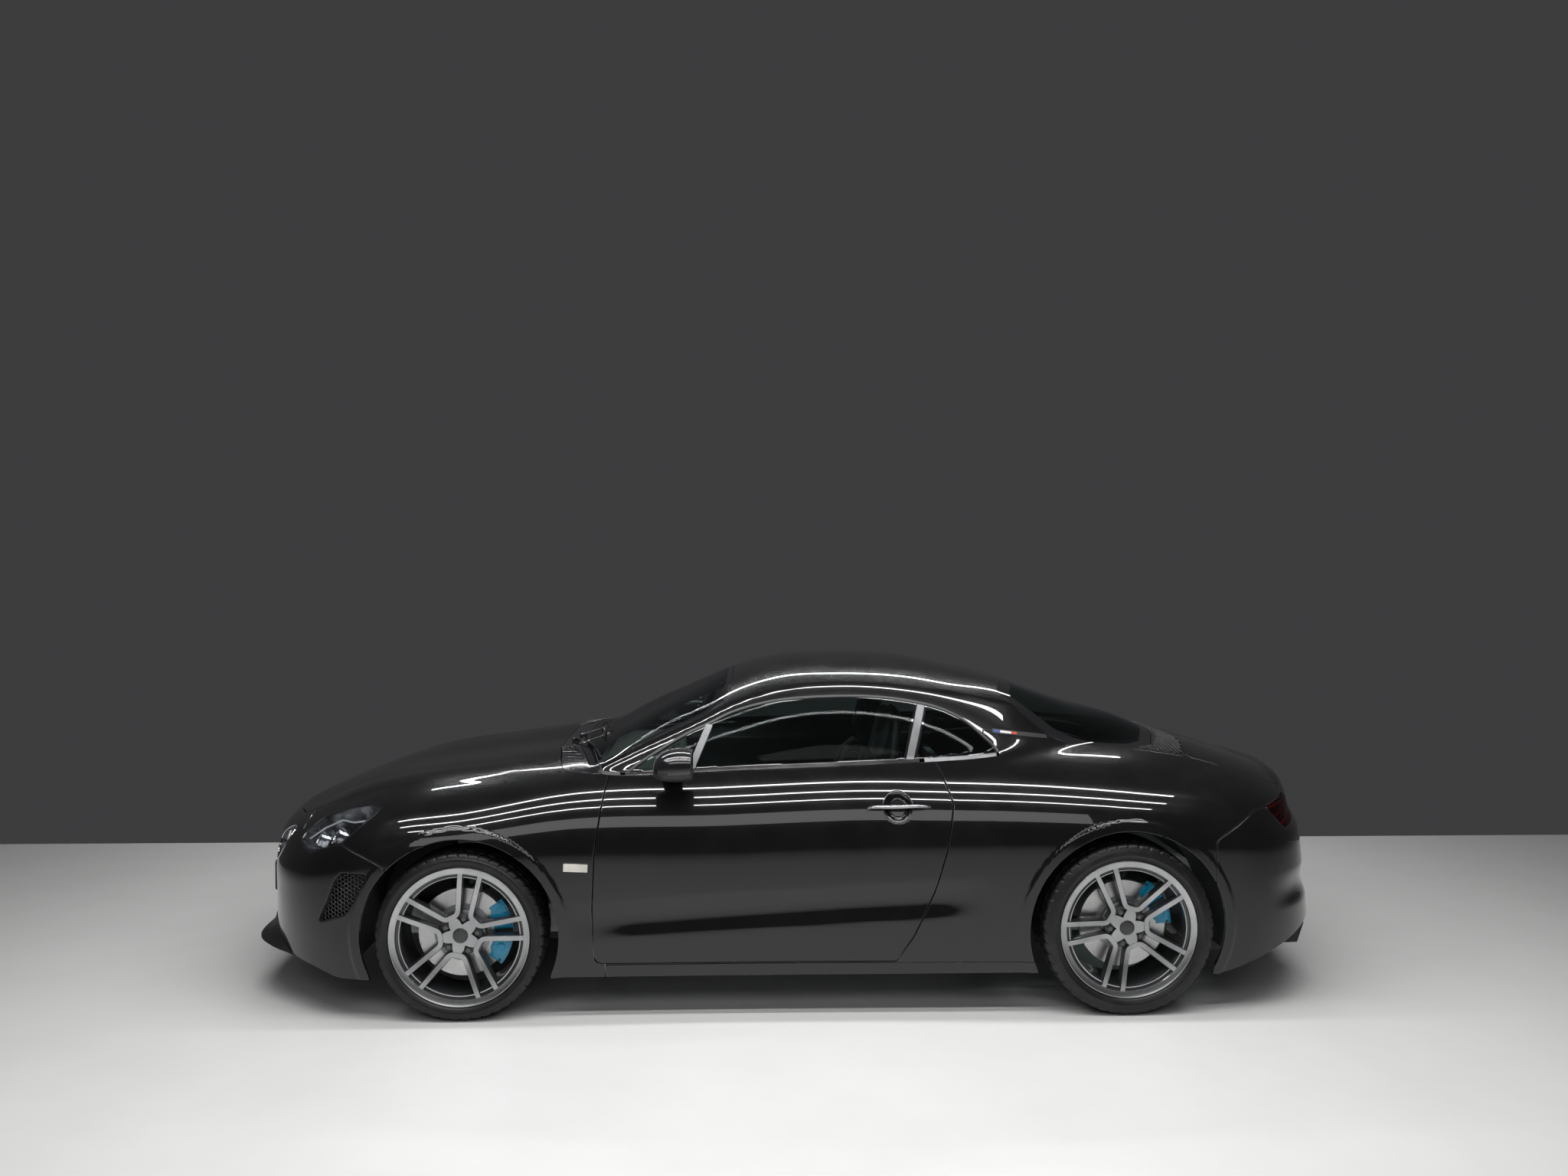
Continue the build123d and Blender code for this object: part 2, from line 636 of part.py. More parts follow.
# Exhaust silencer and its central tailpipe
hanger_reach = rail_half_rear - rail_w / 2 - seat_gap
with BuildPart() as exhaust:
    with BuildSketch(Plane.YZ.offset(R - 420)):
        with Locations((0, 345)):
            RectangleRounded(760, 170, 60)
    extrude(amount=-230)
    with BuildSketch(Plane.YZ.offset(R - 640)):
        with Locations((0, tailpipe_z)):
            SlotOverall(2 * tailpipe_half_w, 2 * tailpipe_half_h)
            SlotOverall(2 * tailpipe_half_w - 8, 2 * tailpipe_half_h - 8, mode=Mode.SUBTRACT)
    extrude(amount=-225)
    for side in (-1, 1):
        with BuildSketch(Plane.XY.offset(300)):
            with Locations((R - 560, side * (360 + hanger_reach) / 2)):
                Rectangle(24, hanger_reach - 360)
        extrude(amount=16)
save(exhaust.part, "exhaust")

# Running gear
rim_w_front = 190.0
rim_w_rear = 216.0
mount_face = 40.0
ring_out = 6.0


def wheel_parts(wheel_w, tyre_d, tyre_w, spoke_start):
    """Rim, tyre and disc about the Y axis, outboard towards +Y."""
    flange_r = rim_d / 2
    barrel_r = rim_barrel_d / 2
    half = wheel_w / 2
    with BuildPart() as rim:
        with BuildSketch(Plane.XY):
            with BuildLine():
                Polyline((flange_r - 14, -half), (flange_r, -half), (flange_r, -half + 8), (barrel_r, -half + 20),
                         (barrel_r, half - 20), (flange_r, half - 8), (flange_r, half), (flange_r - 18, half),
                         (barrel_r - rim_wall, half - 18), (barrel_r - rim_wall, -half + 12), close=True)
            make_face()
        revolve(axis=Axis.Y)
        with BuildSketch(Plane.XZ.offset(-mount_face - 22)):
            Circle(78)
        extrude(amount=22)
        with BuildSketch(Plane.XZ.offset(-mount_face - 42)):
            with PolarLocations(0, spoke_count, start_angle=spoke_start):
                for lean in (-1, 1):
                    Polygon((30, lean * 14), (30, lean * 32), (barrel_r - 2, lean * 44),
                            (barrel_r - 2, lean * 26), align=None)
        extrude(amount=24)
        with BuildSketch(Plane.XZ.offset(-mount_face - 8)):
            Circle(spindle_d / 2 + spindle_gap)
        extrude(amount=8.0, mode=Mode.SUBTRACT)
    with BuildPart() as tyre:
        with BuildSketch(Plane.XY):
            with BuildLine():
                Polyline((flange_r + seat_gap, 4 - half), (flange_r + 22, -tyre_w / 2), (tyre_d / 2 - 22, 2 - tyre_w / 2),
                         (tyre_d / 2, -tyre_w / 2 + 24), (tyre_d / 2, tyre_w / 2 - 24),
                         (tyre_d / 2 - 22, tyre_w / 2 - 2), (flange_r + 22, tyre_w / 2),
                         (flange_r + seat_gap, half - 4), close=True)
            make_face()
        revolve(axis=Axis.Y)
    with BuildPart() as disc:
        with BuildSketch(Plane.XZ.offset(-ring_out)):
            Circle(disc_d / 2)
            Circle(76, mode=Mode.SUBTRACT)
        extrude(amount=disc_w)
        with BuildSketch(Plane.XZ.offset(-mount_face)):
            Circle(84)
        extrude(amount=mount_face - ring_out + disc_w)
        with BuildSketch(Plane.XZ.offset(-mount_face + 8)):
            Circle(76)
            Circle(hub_bore_d / 2, mode=Mode.SUBTRACT)
        extrude(amount=60, mode=Mode.SUBTRACT)
        with BuildSketch(Plane.XZ.offset(-mount_face)):
            Circle(spindle_d / 2 + spindle_gap)
        extrude(amount=90, mode=Mode.SUBTRACT)
    return rim.part, tyre.part, disc.part


def placed(part, x, y, z):
    return Pos(x, y, z) * part


front_set = wheel_parts(rim_w_front, tyre_d_front, tyre_w_front, 100)
rear_set = wheel_parts(rim_w_rear, tyre_d_rear, tyre_w_rear, 68)
for name, x, y, z, parts in (
    ("front", F, wheel_y_front, axle_z_front, front_set),
    ("rear", R, wheel_y_rear, axle_z_rear, rear_set),
):
    for label, part in zip(("rim", "tyre", "disc"), parts):
        left = placed(part, x, y, z)
        save(left, f"{label}_{name}_left")
        save(flip(left), f"{label}_{name}_right")
print("wheels")

# Knuckles: a spindle, an upright and two ball pins on the steering axis
pin_d = 16.0
ball_rise = 125.0


def upright(x, y, z):
    axis_y = y - steer_offset
    with BuildPart() as knuckle:
        with BuildSketch(Plane.XZ.offset(-(y + mount_face - 2))):
            with Locations((x, z)):
                Circle(spindle_d / 2)
        extrude(amount=mount_face - 2 + steer_offset)
        with BuildSketch(Plane.XY.offset(z - ball_rise + 14)):
            with Locations((x, axis_y)):
                Circle(14)
        extrude(amount=2 * ball_rise - 28)
        with BuildSketch(Plane.XZ.offset(-(axis_y + 6))):
            with Locations((x, z)):
                Circle(48)
        extrude(amount=26)
        with BuildSketch(Plane.XY.offset(z - ball_rise - 12)):
            with Locations((x, axis_y)):
                Circle(pin_d / 2)
        extrude(amount=2 * ball_rise + 24)
    return knuckle.part


def caliper(x, y, z, middle_deg, spread_deg):
    """An arc-shaped caliper that straddles the disc."""
    inner_r = disc_d / 2 - 55
    outer_r = disc_d / 2 + 26
    turns = [math.radians(middle_deg + share * spread_deg) for share in (-0.5, 0, 0.5)]
    with BuildPart() as body:
        with BuildSketch(Plane.XZ.offset(-(ring_out + 22))):
            with BuildLine():
                low, high = [[(r * math.cos(a), r * math.sin(a)) for a in turns] for r in (inner_r, outer_r)]
                ThreePointArc(*low)
                Line(low[2], high[2])
                ThreePointArc(*reversed(high))
                Line(high[0], low[0])
            make_face()
        extrude(amount=disc_w + 44)
        with BuildSketch(Plane.XZ.offset(-(ring_out + 5))):
            Circle(disc_d / 2 + 6)
        extrude(amount=disc_w + 10, mode=Mode.SUBTRACT)
    return placed(body.part, x, y, z)


def bracket(x, y, z, side):
    """The lug that carries the caliper from the upright."""
    y1 = y + ring_out - disc_w - 5
    return block(min(x + side * 20, x + side * 150), max(x + side * 20, x + side * 150), y1 - 17, y1 - 1, z - 30, z + 30)


def arms(x, y, z, inner_y, side_gap):
    """Upper and lower wishbones with an eye round each ball pin."""
    axis_y = y - steer_offset
    with BuildPart() as pair:
        for rise in (-1, 1):
            with BuildSketch(Plane.XY.offset(z + rise * ball_rise - 12)):
                with BuildLine():
                    Polyline((x - 22, axis_y), (x - 110, inner_y), (x - 60, inner_y), (x, axis_y - 60), (x + 60, inner_y),
                             (x + 110, inner_y), (x + 22, axis_y), close=True)
                make_face()
                with Locations((x, axis_y)):
                    Circle(26)
                    Circle(pin_d / 2 + side_gap, mode=Mode.SUBTRACT)
            extrude(amount=24)
    return pair.part


front_knuckle = upright(F, wheel_y_front, axle_z_front)
front_knuckle = front_knuckle + bracket(F, wheel_y_front, axle_z_front, -1)
front_caliper = caliper(F, wheel_y_front, axle_z_front, 180, 92)
save(front_knuckle, "knuckle_front_left")
save(flip(front_knuckle), "knuckle_front_right")
save(front_caliper - front_knuckle, "caliper_front_left")
save(flip(front_caliper - front_knuckle), "caliper_front_right")
front_arms = arms(F, wheel_y_front, axle_z_front, rail_half_front + rail_w / 2, spindle_gap)
save(front_arms + flip(front_arms), "front_wishbones")
rear_knuckle = upright(R, wheel_y_rear, axle_z_rear) + bracket(R, wheel_y_rear, axle_z_rear, -1)
rear_caliper = caliper(R, wheel_y_rear, axle_z_rear, 150, 60)
save(rear_caliper - rear_knuckle + flip(rear_caliper - rear_knuckle), "rear_calipers")
rear_arms = arms(R, wheel_y_rear, axle_z_rear, rail_half_rear + rail_w / 2, spindle_gap)
save(Compound(children=[rear_arms, flip(rear_arms), rear_knuckle, flip(rear_knuckle)]), "rear_suspension")
print("running gear")

# Cabin pieces
seat_y = 355.0
seat_half = 215.0
with BuildPart() as seat:
    with BuildSketch(Plane.XZ.offset(-(seat_y + seat_half))):
        with BuildLine():
            Polyline((-400, floor_z + 30 + seat_gap), (160, floor_z + 30 + seat_gap), (190, 340), (-80, 300), (-160, 330), (-320, 1010), (-370, 1090),
                     (-440, 1080), (-430, 900), close=True)
        make_face()
    extrude(amount=2 * seat_half)
    fillet(seat.edges().filter_by(Axis.Y), 18)
    with BuildSketch(Plane.YZ.offset(-700)):
        with BuildLine():
            Polyline((seat_y - seat_half, 100), (seat_y + seat_half, 100), (seat_y + seat_half, 700),
                     (seat_y + 130, 1100), (seat_y - 130, 1100), (seat_y - seat_half, 700), close=True)
        make_face()
    extrude(amount=1200, mode=Mode.INTERSECT)
save(seat.part + flip(seat.part), "seats")
column_r = 22.0
column = Plane((400, seat_y, 740), x_dir=(0, 1, 0), z_dir=(-1, 0, 0.42))
with BuildPart() as dashboard:
    with BuildSketch(Plane.XZ.offset(-640)):
        with BuildLine():
            Polyline((785, 560), (785, 800), (700, 838), (560, 842), (452, 812), (436, 770), (452, 700), (520, 600),
                     close=True)
        make_face()
    extrude(amount=1280)
    with BuildSketch(Plane.XZ.offset(-tunnel_half)):
        with BuildLine():
            Polyline((-420, tunnel_z), (660, tunnel_z), (660, 600), (500, 640), (360, 520), (180, 470), (-420, 480),
                     close=True)
        make_face()
    extrude(amount=2 * tunnel_half)
    with BuildSketch(column.offset(-170)):
        Circle(column_r + seat_gap)
    extrude(amount=170, mode=Mode.SUBTRACT)
save(dashboard.part, "dashboard")
with BuildPart() as steering_wheel:
    with BuildSketch(column):
        Circle(180)
        Circle(150, mode=Mode.SUBTRACT)
        Rectangle(310, 50)
        Circle(60)
    extrude(amount=28)
    with BuildSketch(column.offset(-150)):
        Circle(column_r)
    extrude(amount=150)
save(steering_wheel.part, "steering_wheel")

# Mirrors on the doors
with BuildPart() as mirror_left:
    with BuildSketch(Plane.YZ.offset(490)):
        with Locations((872, 930)):
            RectangleRounded(190, 120, 45)
    extrude(amount=-110)
    with BuildSketch(Plane.XY.offset(845)):
        with Locations((440, 775)):
            Rectangle(60, 100)
    extrude(amount=60)
mirror_left = mirror_left.part - body_outer
save(mirror_left, "mirror_left")
save(flip(mirror_left), "mirror_right")
print("cabin pieces")

# Splitter: a blade below the nose that runs up to the fascia at both sides of the intake
splitter_z = (118.0, 165.0, 292.0)
splitter_reach = (22.0, nose_tip_x - bumper_face_x, -4.0)
splitter_rear_x = F + 390.0
nose_gap = 0.8
with BuildPart() as splitter:
    for z, reach in zip(splitter_z, splitter_reach):
        with BuildSketch(Plane.XY.offset(z)):
            with BuildLine():
                edge = []
                for share in (0.0, 0.3, 0.55, 0.75, 0.9, 0.975):
                    x = nose_full_x + (bumper_face_x - nose_full_x) * math.sqrt(1 - share**nose_power)
                    y = share * (rocker_y(nose_full_x) + 0.4 * reach)
                    edge.append((x + reach * math.sqrt(1 - share**2), y))
                Spline(*[(x, -y) for x, y in reversed(edge[1:])], *edge)
                Polyline(edge[-1], (splitter_rear_x, edge[-1][1]), (splitter_rear_x, -edge[-1][1]),
                         (edge[-1][0], -edge[-1][1]))
            make_face()
    loft(ruled=True)
nose_seat = placed(body_outer, nose_gap, 0, 0)
splitter_blade = splitter.part - body_seat - nose_seat - intake_shape(0)
splitter_blade = splitter_blade - block(splitter_rear_x - 1, F + 480, -1000, 1000, splitter_z[1], 400)
save(max(splitter_blade.solids(), key=lambda s: s.volume), "front_splitter")

# Bare, flat holder for the front plate, standing on the flat of the nose
plate_size = (520.0, 120.0, 24.0)
plate_z = 378.0
with BuildPart() as plate_holder:
    with BuildSketch(Plane.YZ.offset(max(body_stations(0)) + seat_gap)):
        with Locations((0, plate_z)):
            RectangleRounded(plate_size[0], plate_size[1], 12)
    extrude(amount=plate_size[2])
save(plate_holder.part, "plate_holder")

# Wheel-arch liners behind the panels
liner_gap = 8.0
liner_wall = 4.0
liner_foot_z = 235.0
liner_inset = panel_wall + seat_gap
liner_space = section_form(body_stations(liner_inset), body_curves, liner_inset)


def liner(x, z, arch_r, depth):
    with BuildPart() as shell:
        with BuildSketch(Plane.XZ.offset(-half_width)):
            with Locations((x, z)):
                Circle(arch_r + liner_gap + liner_wall)
                Circle(arch_r + liner_gap, mode=Mode.SUBTRACT)
            with Locations((x, 0)):
                Rectangle(1000, 2 * liner_foot_z, mode=Mode.SUBTRACT)
        extrude(amount=depth)
    return shell.part & liner_space


liners = [liner(F, axle_z_front, arch_r_front, arch_depth_front), liner(R, axle_z_rear, arch_r_rear, arch_depth_rear)]
save(Compound(children=liners + [flip(item) for item in liners]), "wheel_liners")


# Luggage trays below the two lids
def tray(x0, x1, half, z0, z1):
    with BuildPart(Plane(((x0 + x1) / 2, 0, (z0 + z1) / 2))) as box:
        Box(x1 - x0, 2 * half, z1 - z0)
        fillet(box.edges().filter_by(Axis.Z), 40)
        offset(amount=-4, openings=box.faces().sort_by(Axis.Z)[-1])
    return box.part


front_tray = tray(F + 95, F + 640, 400, rail_z0 + rail_h + seat_gap, 600)
rear_tray = tray(tail_tip_x + 130, R - 380, 400, rail_z0_rear + rail_h + 90 + seat_gap, 760)
save(Compound(children=[front_tray, rear_tray]), "luggage_trays")

# Floor ahead of the cabin and the fins below the tail
front_floor_z = rocker_z(F + 300) + panel_wall + seat_gap
with BuildPart() as front_floor:
    with BuildSketch(Plane.XY.offset(front_floor_z)):
        with Locations(((tub_front_x + splitter_rear_x) / 2, 0)):
            Rectangle(splitter_rear_x - tub_front_x - 2 * seat_gap, 900)
    extrude(amount=rail_z0 - seat_gap - front_floor_z)
fin_outline = [(R - 540, 118), (R - 820, 128), (R - 845, 205), (R - 845, 260), (R - 540, 175)]
fins = [prism_side(fin_outline, y - 3, y + 3) - body_seat for y in (-440, -250, 250, 440)]
save(Compound(children=[front_floor.part] + fins), "underbody_panels")
print("front, tail and floor pieces")
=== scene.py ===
import json
import math

import bmesh
import bpy
import numpy as np
from mathutils import Matrix, Vector
from mathutils.geometry import delaunay_2d_cdt
from mathutils.kdtree import KDTree


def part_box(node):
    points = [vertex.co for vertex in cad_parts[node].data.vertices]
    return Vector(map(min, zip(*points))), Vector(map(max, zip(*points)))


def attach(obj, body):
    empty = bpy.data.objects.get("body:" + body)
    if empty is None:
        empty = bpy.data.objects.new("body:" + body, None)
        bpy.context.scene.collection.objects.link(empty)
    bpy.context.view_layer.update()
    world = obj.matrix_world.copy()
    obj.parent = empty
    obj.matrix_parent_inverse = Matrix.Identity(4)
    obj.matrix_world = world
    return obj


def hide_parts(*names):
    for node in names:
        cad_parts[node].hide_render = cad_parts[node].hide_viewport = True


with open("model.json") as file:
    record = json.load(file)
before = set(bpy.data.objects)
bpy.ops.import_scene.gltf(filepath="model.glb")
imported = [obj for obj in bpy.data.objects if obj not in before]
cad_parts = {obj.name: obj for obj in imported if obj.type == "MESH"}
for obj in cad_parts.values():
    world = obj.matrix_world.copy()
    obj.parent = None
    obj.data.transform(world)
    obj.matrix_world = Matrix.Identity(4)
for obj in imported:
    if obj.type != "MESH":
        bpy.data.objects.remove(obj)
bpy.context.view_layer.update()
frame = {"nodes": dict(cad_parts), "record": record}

print("frame loaded")

# Main sizes of the car, in millimetres, as in the CAD model
car = {
    "tailTip": -2090.0, "bumperFace": 2050.0, "halfWidth": 899.0,
    "frontAxle": 1210.0, "rearAxle": -1209.0, "frontHub": 306.0, "rearHub": 317.0,
    "archFront": 352.0, "archRear": 360.0, "nosePower": 2.5, "tailPower": 2.8, "crestClosing": 1.25,
    "tailLean": 9.0, "tailPivot": 324.5,
}
frontAxle, rearAxle = car["frontAxle"], car["rearAxle"]
halfWidth = car["halfWidth"]
noseFull = frontAxle + 290
tailFull = rearAxle - 380
cabinFront = frontAxle - 330
cabinRear = rearAxle - 400


def guide(*points):
    # A smooth curve through the (x, value) points, for an array of x
    points = sorted(points)
    px, pv = np.array(points, float).T
    spans = np.diff(px)
    steps = np.diff(pv) / spans
    slopes = np.concatenate([steps[:1], (steps[:-1] * spans[1:] + steps[1:] * spans[:-1])
                             / (spans[:-1] + spans[1:]), steps[-1:]])

    def value(x):
        x = np.asarray(x, float)
        i = np.clip(np.searchsorted(px, x, side="right") - 1, 0, len(spans) - 1)
        h = spans[i]
        t = np.clip((x - px[i]) / h, 0, 1)
        inside = ((1 + 2 * t) * (1 - t) ** 2 * pv[i] + t * (1 - t) ** 2 * h * slopes[i]
                  + t * t * (3 - 2 * t) * pv[i + 1] - t * t * (1 - t) * h * slopes[i + 1])
        return inside + np.minimum(x - px[0], 0) * slopes[0] + np.maximum(x - px[-1], 0) * slopes[-1]

    return value


nose, tail = car["bumperFace"], car["tailTip"]
waistY = guide((noseFull, halfWidth - 15), (frontAxle, halfWidth - 6), (frontAxle - 360, halfWidth - 21),
               (300, halfWidth - 33),
               (-250, halfWidth - 33), (rearAxle + 560, halfWidth - 17), (rearAxle, halfWidth),
               (tailFull, halfWidth - 18))
waistZ = guide((nose, 400), (frontAxle + 300, 540), (frontAxle, 560), (300, 560), (rearAxle, 600),
               (tail, 560))
rockerY = guide((noseFull, halfWidth - 45), (300, halfWidth - 55), (rearAxle, halfWidth - 48),
                (tailFull, halfWidth - 58))
rockerZ = guide((nose, 150), (300, 150), (rearAxle, 155), (tail + 190, 162), (tail + 90, 190),
                (tail + 40, 240), (tail, 322))
shoulderY = guide((noseFull, 735), (frontAxle, 728), (frontAxle - 360, 722), (300, 706), (-400, 702),
                  (rearAxle, 690), (tailFull, 660))
shoulderZ = guide((nose, 455), (frontAxle + 560, 650), (noseFull, 745), (frontAxle, 788),
                  (frontAxle - 360, 838), (300, 858), (-400, 882),
                  (rearAxle, 872), (tailFull, 842), (tail, 770))
shoulderSlope = guide((nose, 20), (frontAxle, 22), (300, 28), (-500, 26), (rearAxle, 22), (tail, 18))
centreZ = guide((nose, 540), (nose - 15, 592), (nose - 60, 640), (nose - 200, 722), (nose - 345, 774),
                (frontAxle + 300, 808), (frontAxle, 848), (frontAxle - 330, 893), (300, 903), (-700, 920),
                (rearAxle - 300, 930), (rearAxle - 470, 899),
                (rearAxle - 600, 868), (tail + 70, 818), (tail, 800))
beltY = guide((cabinFront, 690), (700, 712), (300, 700), (-400, 692), (-800, 662), (-1030, 612), (-1200, 575),
              (-1350, 545), (cabinRear, 470))
beltZ = guide((cabinFront, 800), (300, 820), (-400, 840), (-1100, 838), (cabinRear, 815))
railY = guide((cabinFront, 575), (750, 655), (600, 645), (400, 588), (228, 538), (64, 520), (-190, 514),
              (-480, 505),
              (-650, 490), (-830, 462), (-1030, 430), (-1200, 402), (-1350, 380), (cabinRear, 340))
railZ = guide((cabinFront, 858), (750, 880), (600, 940), (400, 1025), (228, 1108), (64, 1158), (-190, 1182),
              (-480, 1162), (-650, 1134), (-830, 1096), (-1030, 1018), (-1200, 962), (-1350, 930),
              (cabinRear, 878))
railSlope = guide((cabinFront, 12), (600, 38), (228, 36), (-190, 32), (-650, 36), (-1030, 50), (-1350, 40),
                  (cabinRear, 16))
topZ = guide((cabinFront, 889), (760, 930), (600, 1012), (400, 1111), (228, 1192), (64, 1236), (-190, 1252),
             (-480, 1242), (-650, 1208), (-866, 1159), (-1059, 1092), (-1187, 1049), (-1400, 992),
             (-1520, 942),
             (cabinRear, 900))


def bezier(points, t):
    # points: four pairs of arrays over the stations; gives (stations, samples, 2)
    c = [np.stack([np.broadcast_to(a, stationX.shape), np.broadcast_to(b, stationX.shape)], -1)[:, None]
         for a, b in points]
    t = t[None, :, None]
    return (1 - t) ** 3 * c[0] + 3 * (1 - t) ** 2 * t * c[1] + 3 * (1 - t) * t * t * c[2] + t ** 3 * c[3]


# Stations along the car, close together, and turning with the plan curve at nose and tail
endSteps, columns = 110, 420
turnAngles = np.linspace(0, math.pi / 2, endSteps + 1)
middleX = np.arange(tailFull, noseFull + 1, (noseFull - tailFull) / 320)
noseX = noseFull + (nose - noseFull) * np.sin(turnAngles[1:])
tailX = tailFull + (tail - tailFull) * np.sin(turnAngles[1:])
stationX = np.concatenate([tailX[::-1], middleX, noseX])
noseShare = np.abs(np.cos(turnAngles[1:])) ** (2 / car["nosePower"])
tailShare = np.abs(np.cos(turnAngles[1:])) ** (2 / car["tailPower"])
share = np.concatenate([tailShare[::-1], np.ones(len(middleX)), noseShare])
rows = len(stationX)

held = np.clip(stationX, tailFull, noseFull)
slope = np.radians(shoulderSlope(stationX))
crestShare = np.where(stationX > noseFull, share ** car["crestClosing"], share)
low = rockerY(held) * share, rockerZ(stationX)
waist = waistY(held) * share, waistZ(stationX)
crest = shoulderY(held) * crestShare, shoulderZ(stationX)
climb, inward, rise = crest[1] - waist[1], waist[0] - crest[0], np.tan(slope)
sideCurve = [low, (low[0] + 0.7 * (waist[0] - low[0]), low[1] + (waist[1] - low[1]) / 3),
             (waist[0], waist[1] - (waist[1] - low[1]) / 3), waist]
turnCurve = [waist, (waist[0], waist[1] + 0.6 * climb),
             (crest[0] + 0.55 * inward, crest[1] - 0.55 * inward * rise), crest]
lidCurve = [crest, (0.66 * crest[0], crest[1] + 0.34 * crest[0] * rise),
            (0.33 * crest[0], centreZ(stationX)), (0 * share, centreZ(stationX))]
bodyPaths = np.concatenate([bezier(sideCurve, np.linspace(0, 1, 90)),
                            bezier(turnCurve, np.linspace(0, 1, 60)[1:]),
                            bezier(lidCurve, np.linspace(0, 1, 140)[1:])], 1)

slope = np.radians(railSlope(stationX))
foot = beltY(stationX), beltZ(stationX)
rail = railY(stationX), railZ(stationX)
climb = rail[1] - foot[1]
reach = 0.34 * np.minimum(climb, foot[0] - rail[0] + 60)
sideGlass = [foot, (foot[0] - 0.3 * (foot[0] - rail[0]) + 10, foot[1] + 0.36 * climb),
             (rail[0] + reach * np.cos(slope), rail[1] - reach * np.sin(slope) * 1.2), rail]
roofCurve = [rail, (rail[0] - 0.3 * rail[0], rail[1] + 0.18 * rail[0] * np.tan(slope)),
             (0.4 * rail[0], topZ(stationX)), (0 * share, topZ(stationX))]
cabinPaths = np.concatenate([bezier(sideGlass, np.linspace(0, 1, 120)),
                             bezier(roofCurve, np.linspace(0, 1, 140)[1:])], 1)


def joinedPath(body, cabin):
    # The body's path up to where the cabin rises out of it, then the cabin's; and the length to the join
    top = body[90:]
    over = cabin[:, 1] > np.interp(cabin[:, 0], top[::-1, 0], top[::-1, 1])
    if not over[-1]:
        return body, None
    k = len(over) - np.argmin(over[::-1])
    lowPoint, highPoint = cabin[k - 1], cabin[k]
    ground = np.interp([lowPoint[0], highPoint[0]], top[::-1, 0], top[::-1, 1])
    a, b = ground[0] - lowPoint[1], highPoint[1] - ground[1]
    join = lowPoint + (highPoint - lowPoint) * a / max(a + b, 1e-9)
    kept = np.concatenate([body[:90], top[top[:, 0] > join[0]], [join]])
    return np.concatenate([kept, cabin[k:]]), len(kept) - 1


grid = np.zeros((rows, columns, 3))
joinAt = np.full(rows, -1.0)
for i in range(rows):
    path, k = bodyPaths[i], None
    if cabinRear < stationX[i] < cabinFront:
        path, k = joinedPath(bodyPaths[i], cabinPaths[i])
    along = np.concatenate([[0], np.cumsum(np.hypot(*np.diff(path, axis=0).T))])
    wanted = np.linspace(0, along[-1], columns)
    grid[i, :, 1] = np.interp(wanted, along, path[:, 0])
    grid[i, :, 2] = np.interp(wanted, along, path[:, 1])
    if k is not None:
        joinAt[i] = along[k] / along[-1] * (columns - 1)


def stepUp(value, start, end):
    t = np.clip((value - start) / (end - start), 0, 1)
    return t * t * (3 - 2 * t)


# The rear quarter flows up into the roof pillar; ahead of it the belt stays a clear edge
near = np.exp(-((np.arange(columns)[None] - joinAt[:, None]) / 26) ** 2) * (joinAt[:, None] > 0)
blend = near * stepUp(stationX, -640, -900)[:, None]
blend = np.maximum(blend, near * 0.12)
for _ in range(170):
    grid[:, 1:-1, 1:] += 0.25 * blend[:, 1:-1, None] * (
        grid[:, :-2, 1:] - 2 * grid[:, 1:-1, 1:] + grid[:, 2:, 1:])

# Smooth along the car, with mirrored rows beyond both ends
grid[:, :, 0] = stationX[:, None]
mirrorY = np.array([1, -1, 1])
for _ in range(14):
    full = np.concatenate([grid[1:2] * mirrorY, grid, grid[-2:-1] * mirrorY])
    grid[:, :, 1:] += 0.25 * (full[:-2] - 2 * full[1:-1] + full[2:])[:, :, 1:]
    grid[0, :, 1] = grid[-1, :, 1] = 0
grid[:, -1, 1] = 0

# The tail leans forward
lean = np.radians(car["tailLean"]) * np.clip((tailFull - stationX) / (tailFull - tail), 0, 1)
grid[:, :, 0] += (grid[:, :, 2] * np.sin(lean)[:, None]) - (car["tailPivot"] * np.tan(lean))[:, None]
grid[:, :, 2] *= np.cos(lean)[:, None]
# The nose is squarer seen from above than its sections alone make it
push = np.interp(grid[:, :, 2], [445, 505, 545, 590, 625, 670, 715], [0, 34, 60, 80, 84, 42, 0])
push *= np.interp(grid[:, :, 1], [0, 150, 300, 420, 520, 600, 700, 780],
                  [0.2, 0.66, 1, 1, 0.84, 0.55, 0.18, 0])
push = np.where(grid[:, :, 0] > 1500, push, 0)
for _ in range(60):
    wide = np.pad(push, 1, mode="edge")
    push = push + 0.2 * (wide[2:, 1:-1] + wide[:-2, 1:-1] + wide[1:-1, 2:] + wide[1:-1, :-2] - 4 * push)
grid[:, :, 0] += np.minimum(push, np.maximum(2058 - grid[:, :, 0], 0))
print("body surface sampled")


def paddedGrid(a, flip):
    # Ghost rows and columns: mirrored across the centre line and the two ends, carried on below the sills
    a = np.concatenate([a[2:0:-1] * flip, a, a[-2:-4:-1] * flip])
    below = a[:, :1]
    step = a[:, 1:2] - below
    return np.concatenate([below - 2 * step, below - step, a, a[:, -2:-3:-1] * flip, a[:, -3:-4:-1] * flip],
                          1)


def cubicWeights(t):
    return np.stack([((2 - t) * t - 1) * t / 2, ((3 * t - 5) * t * t + 2) / 2, ((4 - 3 * t) * t + 1) * t / 2,
                     (t - 1) * t * t / 2], -1)


